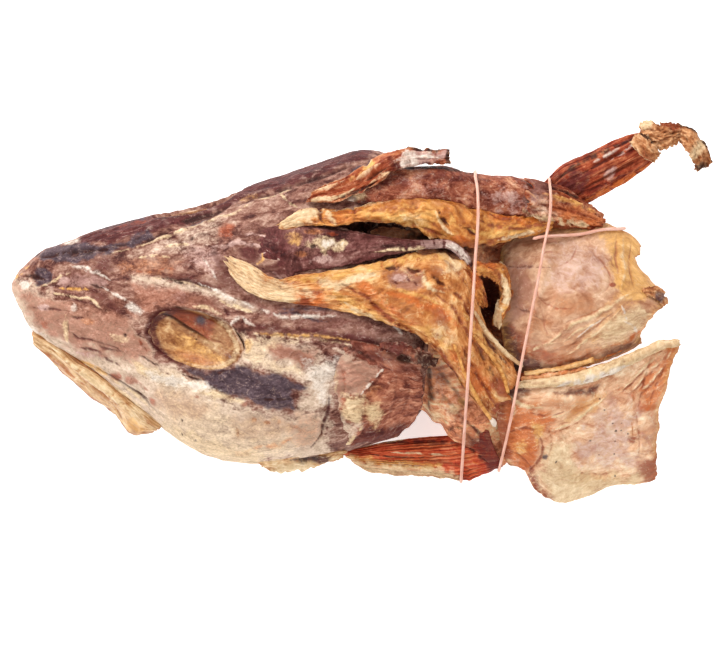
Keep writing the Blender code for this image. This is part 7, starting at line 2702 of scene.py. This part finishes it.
@dataclass
class JawAndThroat:
    """The golden membrane along the jaw and the frill at the throat."""

    jaw: Leaf = field(default_factory=lambda: Leaf("jaw_membrane", [
        [(-155, -8, 27), (-144, -14, 30), (-132, -22.5, 32), (-120, -31, 33), (-109, -39.5, 34),
         (-99, -47.5, 34), (-92, -53.5, 33)],
        [(-154.6, -11.5, 24), (-144.5, -17.5, 27), (-133, -27, 29), (-121.5, -35.8, 30.5),
         (-111, -44, 31.5), (-102.5, -50.5, 31), (-95, -54.5, 30.5)],
        [(-153.8, -14.5, 17), (-146, -22.6, 16), (-136.5, -32, 15.5), (-126, -40.6, 16),
         (-115.5, -47.6, 17), (-109, -57.4, 15), (-97, -54.8, 22)]],
        (190, 70), 1.6, (0.0, 0.02, 0.0, 0.05), 4.0, 55, 0.3))
    throat: Leaf = field(default_factory=lambda: Leaf("throat_frill", [
        [(-52, -63.5, 36), (-42, -64.5, 37), (-30, -64.8, 37), (-18, -64.5, 37), (-6, -63.5, 37)],
        [(-50, -67.5, 34), (-41, -68.6, 35.5), (-31, -69, 35.5), (-20, -67.6, 35.5), (-7, -65.4, 35)],
        [(-47.5, -71.6, 28), (-40, -74.4, 28), (-31, -75.4, 28), (-20, -70.6, 31), (-8, -67, 33)]],
        (150, 62), 1.4, (0.05, 0.03, 0.03, 0.14), 3.0, 57, 0.4))

    def build(self) -> list[bpy.types.Object]:
        """Both membranes.

        Returns:
            The finished pieces.
        """
        folds = [Fold(0.8, (26.0, 6.0)), Fold(0.7, (30.0, 3.2), True, sway=2.0), Fold(0.12, (5.0, 1.4))]
        jaw = self.jaw.build(MEMBRANE, folds, [
            streak([(-150, -19), (-140, -29), (-129, -38), (-118, -46), (-110, -56)], 1.3, Tone.RUST, 1.2,
                   0.2),
            streak([(-150, -16), (-140, -25), (-130, -33)], 1.2, Tone.AMBER, 0.9),
            ridge([(-140, -20), (-128, -29), (-117, -37.5), (-108, -45)], 1.5, 0.9, Tone.CREAM, 1.1),
            crease([(-134, -27), (-123, -36), (-114, -43)], 0.9, 0.8, Tone.AMBER, 0.9),
            crease([(-130, -21), (-118, -30.5), (-107, -39)], 0.9, 0.7, Tone.RUST, 0.8),
            Stain((-106, -52), (12, 8), Tone.GOLD, -20, 0.8),
            Stain((-104, -48), (10, 5), Tone.CREAM, -45, 0.7),
        ], [(Tone.AMBER, 0.8, 0.7)], 0.5)
        frill_folds = [Fold(1.0, (16.0, 4.0), True, sway=3.0), Fold(0.4, (8.0, 2.0), True)]
        throat = self.throat.build(MEMBRANE, frill_folds, [
            Stain((-30, -72.5), (26, 5), Tone.CREAM, 0, 1.0),
            crease([(-34, -68.6), (-27, -68.8), (-19, -67.4)], 1.6, 1.6, Tone.UMBER, 1.0),
            Stain((-22, -67.5), (16, 3.4), Tone.MAROON, 4, 1.1),
            streak([(-46, -66), (-34, -66.5), (-22, -65.5)], 1.1, Tone.RUST, 0.7),
            ridge([(-44, -68), (-34, -67), (-24, -66)], 0.8, 0.8, Tone.CREAM, 1.0),
        ], [(Tone.AMBER, 0.7, 0.6)], 0.4)
        return [jaw, throat]


# ---------------------------------------------------------------- elastic bands


@dataclass
class Band:
    """A thin elastic stretched over the fish in an upright plane: the hull of what it spans, as a cord.

    bow is how far the cord strays to the right of a straight line, in millimetres, by share of its length.
    """

    name: str
    node: str
    start: tuple[float, float]
    end: tuple[float, float]
    bow: Points
    diameter: float
    tail: float | None = None
    reach: float = 1.5
    floor: float = 28.0
    sides: int = 12
    step: float = 0.5

    def path(self, cloud: Array) -> Array:
        """The cord's middle line.

        The points near the plane are flattened to (distance along, height). Their convex hull, grown by the
        cord's radius, is the line that a stretched elastic takes.

        Args:
            cloud: points on the fish, in design millimetres.

        Returns:
            The line's points: closed, or the upper stretch only for a tail.
        """
        start, end = np.array(self.start), np.array(self.end)
        length = np.linalg.norm(end - start)
        along = (end - start) / length
        aside = np.array([-along[1], along[0]])
        run = (cloud[:, :2] - start) @ along
        offset = (cloud[:, :2] - start) @ aside + table(self.bow, np.clip(run / length, 0, 1))
        close = (np.abs(offset) < self.reach) & (run > -1.5) & (run < length + 1.5)
        if self.tail is not None:
            close &= (run > 0) & (run < length) & (cloud[:, 2] > self.floor)
        near = np.stack([run, cloud[:, 2]], axis=1)[close]
        near = near[convex_hull_2d(near.tolist())]
        turns = np.linspace(0, 2 * math.pi, 24, endpoint=False)
        round_it = (self.diameter / 2 + 0.15) * np.stack([np.cos(turns), np.sin(turns)], axis=1)
        grown = (near[:, None] + round_it).reshape(-1, 2)
        hull = grown[convex_hull_2d(grown.tolist())]
        if self.tail is not None:
            hull = self.upper_stretch(hull, length)
        else:
            hull = np.concatenate([hull, hull[:1]])
        steps = np.concatenate([[0.0], np.cumsum(np.linalg.norm(np.diff(hull, axis=0), axis=1))])
        even = np.linspace(0, steps[-1], int(steps[-1] / self.step))
        line = np.stack([np.interp(even, steps, hull[:, 0]), np.interp(even, steps, hull[:, 1])], axis=1)
        bow = table(self.bow, np.clip(line[:, 0] / length, 0, 1))
        plan = start + line[:, :1] * along - bow[:, None] * aside
        return np.concatenate([plan, line[:, 1:]], axis=1)

    def upper_stretch(self, hull: Array, length: float) -> Array:
        """The part of a hull above its ends, from the start to the end, then down by the tail's length.

        Args:
            hull: the grown hull, as (distance along, height).
            length: how far apart the ends lie, in millimetres.

        Returns:
            The stretch's points, in order.
        """
        order = np.argsort(hull[:, 0])
        hull = hull[order]
        chord = np.interp(hull[:, 0], [hull[0, 0], hull[-1, 0]], [hull[0, 1], hull[-1, 1]])
        upper = hull[(hull[:, 1] >= chord) & (hull[:, 0] >= 0) & (hull[:, 0] <= length + 2)]
        last = upper[-1]
        return np.concatenate([upper, [last + (0.9, -0.5 * self.tail), last + (0.2, -self.tail)]])

    def build(self, cloud: Array) -> bpy.types.Object:
        """The cord: rings of an even radius along its path, closed on itself or rounded at its ends.

        Args:
            cloud: points on the fish, in design millimetres.

        Returns:
            The finished cord.
        """
        line = self.path(cloud)
        closed = self.tail is None
        if closed:
            line = line[:-1]
            before, after = np.roll(line, 3, axis=0), np.roll(line, -3, axis=0)
            line = (np.roll(line, 1, axis=0) + 2 * line + np.roll(line, -1, axis=0)) / 4
            tangent = after - before
        else:
            tangent = np.gradient(line, axis=0)
        tangent /= np.linalg.norm(tangent, axis=1, keepdims=True)
        ends = np.array(self.end) - np.array(self.start)
        level = np.array([-ends[1], ends[0], 0.0]) / np.linalg.norm(ends)
        side = np.cross(tangent, np.cross(level, tangent))
        side /= np.linalg.norm(side, axis=1, keepdims=True)
        up = np.cross(side, tangent)
        run = np.arange(len(line)) * self.step
        radius = self.diameter / 2 * (1 + 0.05 * fractal(np.stack([run, run * 0], axis=1), 9.0, 81, 3))
        if not closed:
            radius = radius * np.sqrt(np.clip(np.minimum(run + 0.1, run[-1] - run + 0.1) / 0.9, 0.05, 1))
        angle = np.linspace(0, 2 * math.pi, self.sides, endpoint=False)
        ring = side[:, None] * np.cos(angle)[:, None] + up[:, None] * np.sin(angle)[:, None]
        rings = line[:, None] + ring * radius[:, None, None]
        grain = np.stack([np.broadcast_to(run[:, None], rings.shape[:2]),
                          np.broadcast_to(np.cos(angle), rings.shape[:2]),
                          np.broadcast_to(np.sin(angle), rings.shape[:2])], axis=2)
        if closed:
            return ELASTIC.dress(ring_piece(self.name, rings, grain))
        return ELASTIC.dress(loft_piece(self.name, rings, grain, Sculpt(rings, 83)))


@dataclass
class Bands:
    """The two elastics round the fish and the loose strand over the upper flap."""

    cords: list[Band] = field(default_factory=lambda: [
        Band("elastic_front", "band_front", (53.1, 63.6), (47.4, -77.5),
             [(0, 0), (0.04, -1.1), (0.09, -1.7), (0.3, -1.4), (0.5, -0.8), (0.75, -0.3), (1, 0)], 1.45),
        Band("elastic_rear", "band_rear", (88, 61), (65.4, -72.5),
             [(0, 0), (0.03, -1.0), (0.11, -2.6), (0.23, -2.3), (0.31, -2.3), (0.47, -1.7), (0.65, -1.1),
              (0.85, -0.8), (1, 0)], 1.35),
        Band("elastic_tail", "band_tail", (76.6, 33.2), (122.3, 39.6),
             [(0, 0), (0.14, -1.2), (0.3, -0.9), (0.57, 0), (0.8, -0.7), (1, 0)], 1.5, tail=3.0),
    ])

    def build(self, pieces: Sequence[bpy.types.Object]) -> list[bpy.types.Object]:
        """The cords, stretched over the finished pieces.

        Args:
            pieces: the fish's finished pieces.

        Returns:
            The finished cords.
        """
        cloud = np.concatenate([PLACE.design(vertices_of(piece)) for piece in pieces])
        made = []
        for cord in self.cords:
            made.append(cord.build(cloud))
            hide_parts(cord.node)
        return made


# ---------------------------------------------------------------- studio


@dataclass
class Studio:
    """A pale floor, a sky of even light, soft lamps and the camera, which looks straight down."""

    frame_width: float = 0.337
    centre: tuple[float, float] = (-0.0012, -0.0089)
    distance: float = 2.4
    level: float = 0.035
    sensor: float = 36.0
    floor_half: float = 6.0
    floor_drop: float = 0.0002
    floor_glow: float = 0.55
    sky: float = 0.38
    far_clip: float = 20.0
    lamps: tuple[tuple[str, Triple, float, float], ...] = (
        ("key", (-0.75, 1.05, 0.95), 26.0, 0.8),
        ("left", (-1.2, -0.6, 1.1), 12.0, 1.2),
        ("right", (1.2, 0.7, 1.1), 12.0, 1.2),
        ("front", (0.4, -1.3, 1.1), 12.0, 1.2))

    def floor(self) -> None:
        """A wide flat floor under the object, lit a little from below like a product table."""
        half = self.floor_half
        mesh = bpy.data.meshes.new("studio_floor")
        corners = [(-half, -half, 0), (half, -half, 0), (half, half, 0), (-half, half, 0)]
        mesh.from_pydata(corners, [], [(0, 1, 2, 3)])
        shader = Shader("floor_white")
        glow = {"Specular IOR Level": 0.0, "Emission Color": (1.0, 1.0, 1.0),
                "Emission Strength": self.floor_glow}
        mesh.materials.append(shader.finish((0.9, 0.9, 0.9), 0.9, None, 0.0, glow))
        floor = bpy.data.objects.new("studio_floor", mesh)
        floor.location.z = CAD_BOUNDS[0][2] - self.floor_drop
        bpy.context.scene.collection.objects.link(floor)

    def lamp(self, name: str, place: Triple, power: float, size: float) -> None:
        """A square soft lamp that shines at the object's middle.

        Args:
            name: the lamp's name.
            place: where it hangs, in metres.
            power: in watts.
            size: the side of its square, in metres.
        """
        data = bpy.data.lights.new(name, "AREA")
        data.energy = power
        data.size = size
        lamp = bpy.data.objects.new(name, data)
        lamp.location = place
        lamp.rotation_euler = (Vector((0, 0, self.level))
                               - lamp.location).to_track_quat("-Z", "Y").to_euler()
        lamp.visible_camera = False
        bpy.context.scene.collection.objects.link(lamp)

    def camera(self) -> None:
        """A long lens straight above the object, with the fish's back to the top of the picture."""
        data = bpy.data.cameras.new("camera")
        data.sensor_width = self.sensor
        data.lens = self.sensor * self.distance / self.frame_width
        data.clip_end = self.far_clip
        camera = bpy.data.objects.new("camera", data)
        camera.location = (*self.centre, self.level + self.distance)
        bpy.context.scene.collection.objects.link(camera)
        bpy.context.scene.camera = camera

    def build(self) -> None:
        """Sets the world, the floor, the lamps and the camera."""
        scene = bpy.context.scene
        world = bpy.data.worlds.new("studio_sky")
        scene.world = world
        world.use_nodes = True
        background = world.node_tree.nodes["Background"]
        background.inputs["Color"].default_value = (1.0, 0.99, 0.98, 1.0)
        background.inputs["Strength"].default_value = self.sky
        scene.view_settings.view_transform = "Standard"
        scene.view_settings.look = "None"
        self.floor()
        for lamp in self.lamps:
            self.lamp(*lamp)
        self.camera()


def main() -> None:
    """Builds the studio and the fish, and reports each piece."""
    logging.basicConfig(level=logging.INFO, format="%(name)s: %(message)s")
    Studio().build()
    fish: list[bpy.types.Object] = []
    for maker in (Head(), Eyes(), GillCover(), Shoulder(), CollarFlesh(), SkullRidge(), Nape(), Flaps(),
                  PectoralFin(), RolledFin(), JawAndThroat()):
        fish += maker.build()
    for piece in fish:
        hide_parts(FISH)
    pieces = fish + Bands().build(fish)
    for piece in pieces:
        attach(piece, "root")
        LOG.info("%s: %d faces", piece.name, len(piece.data.polygons))


if __name__ == "__main__":
    main()
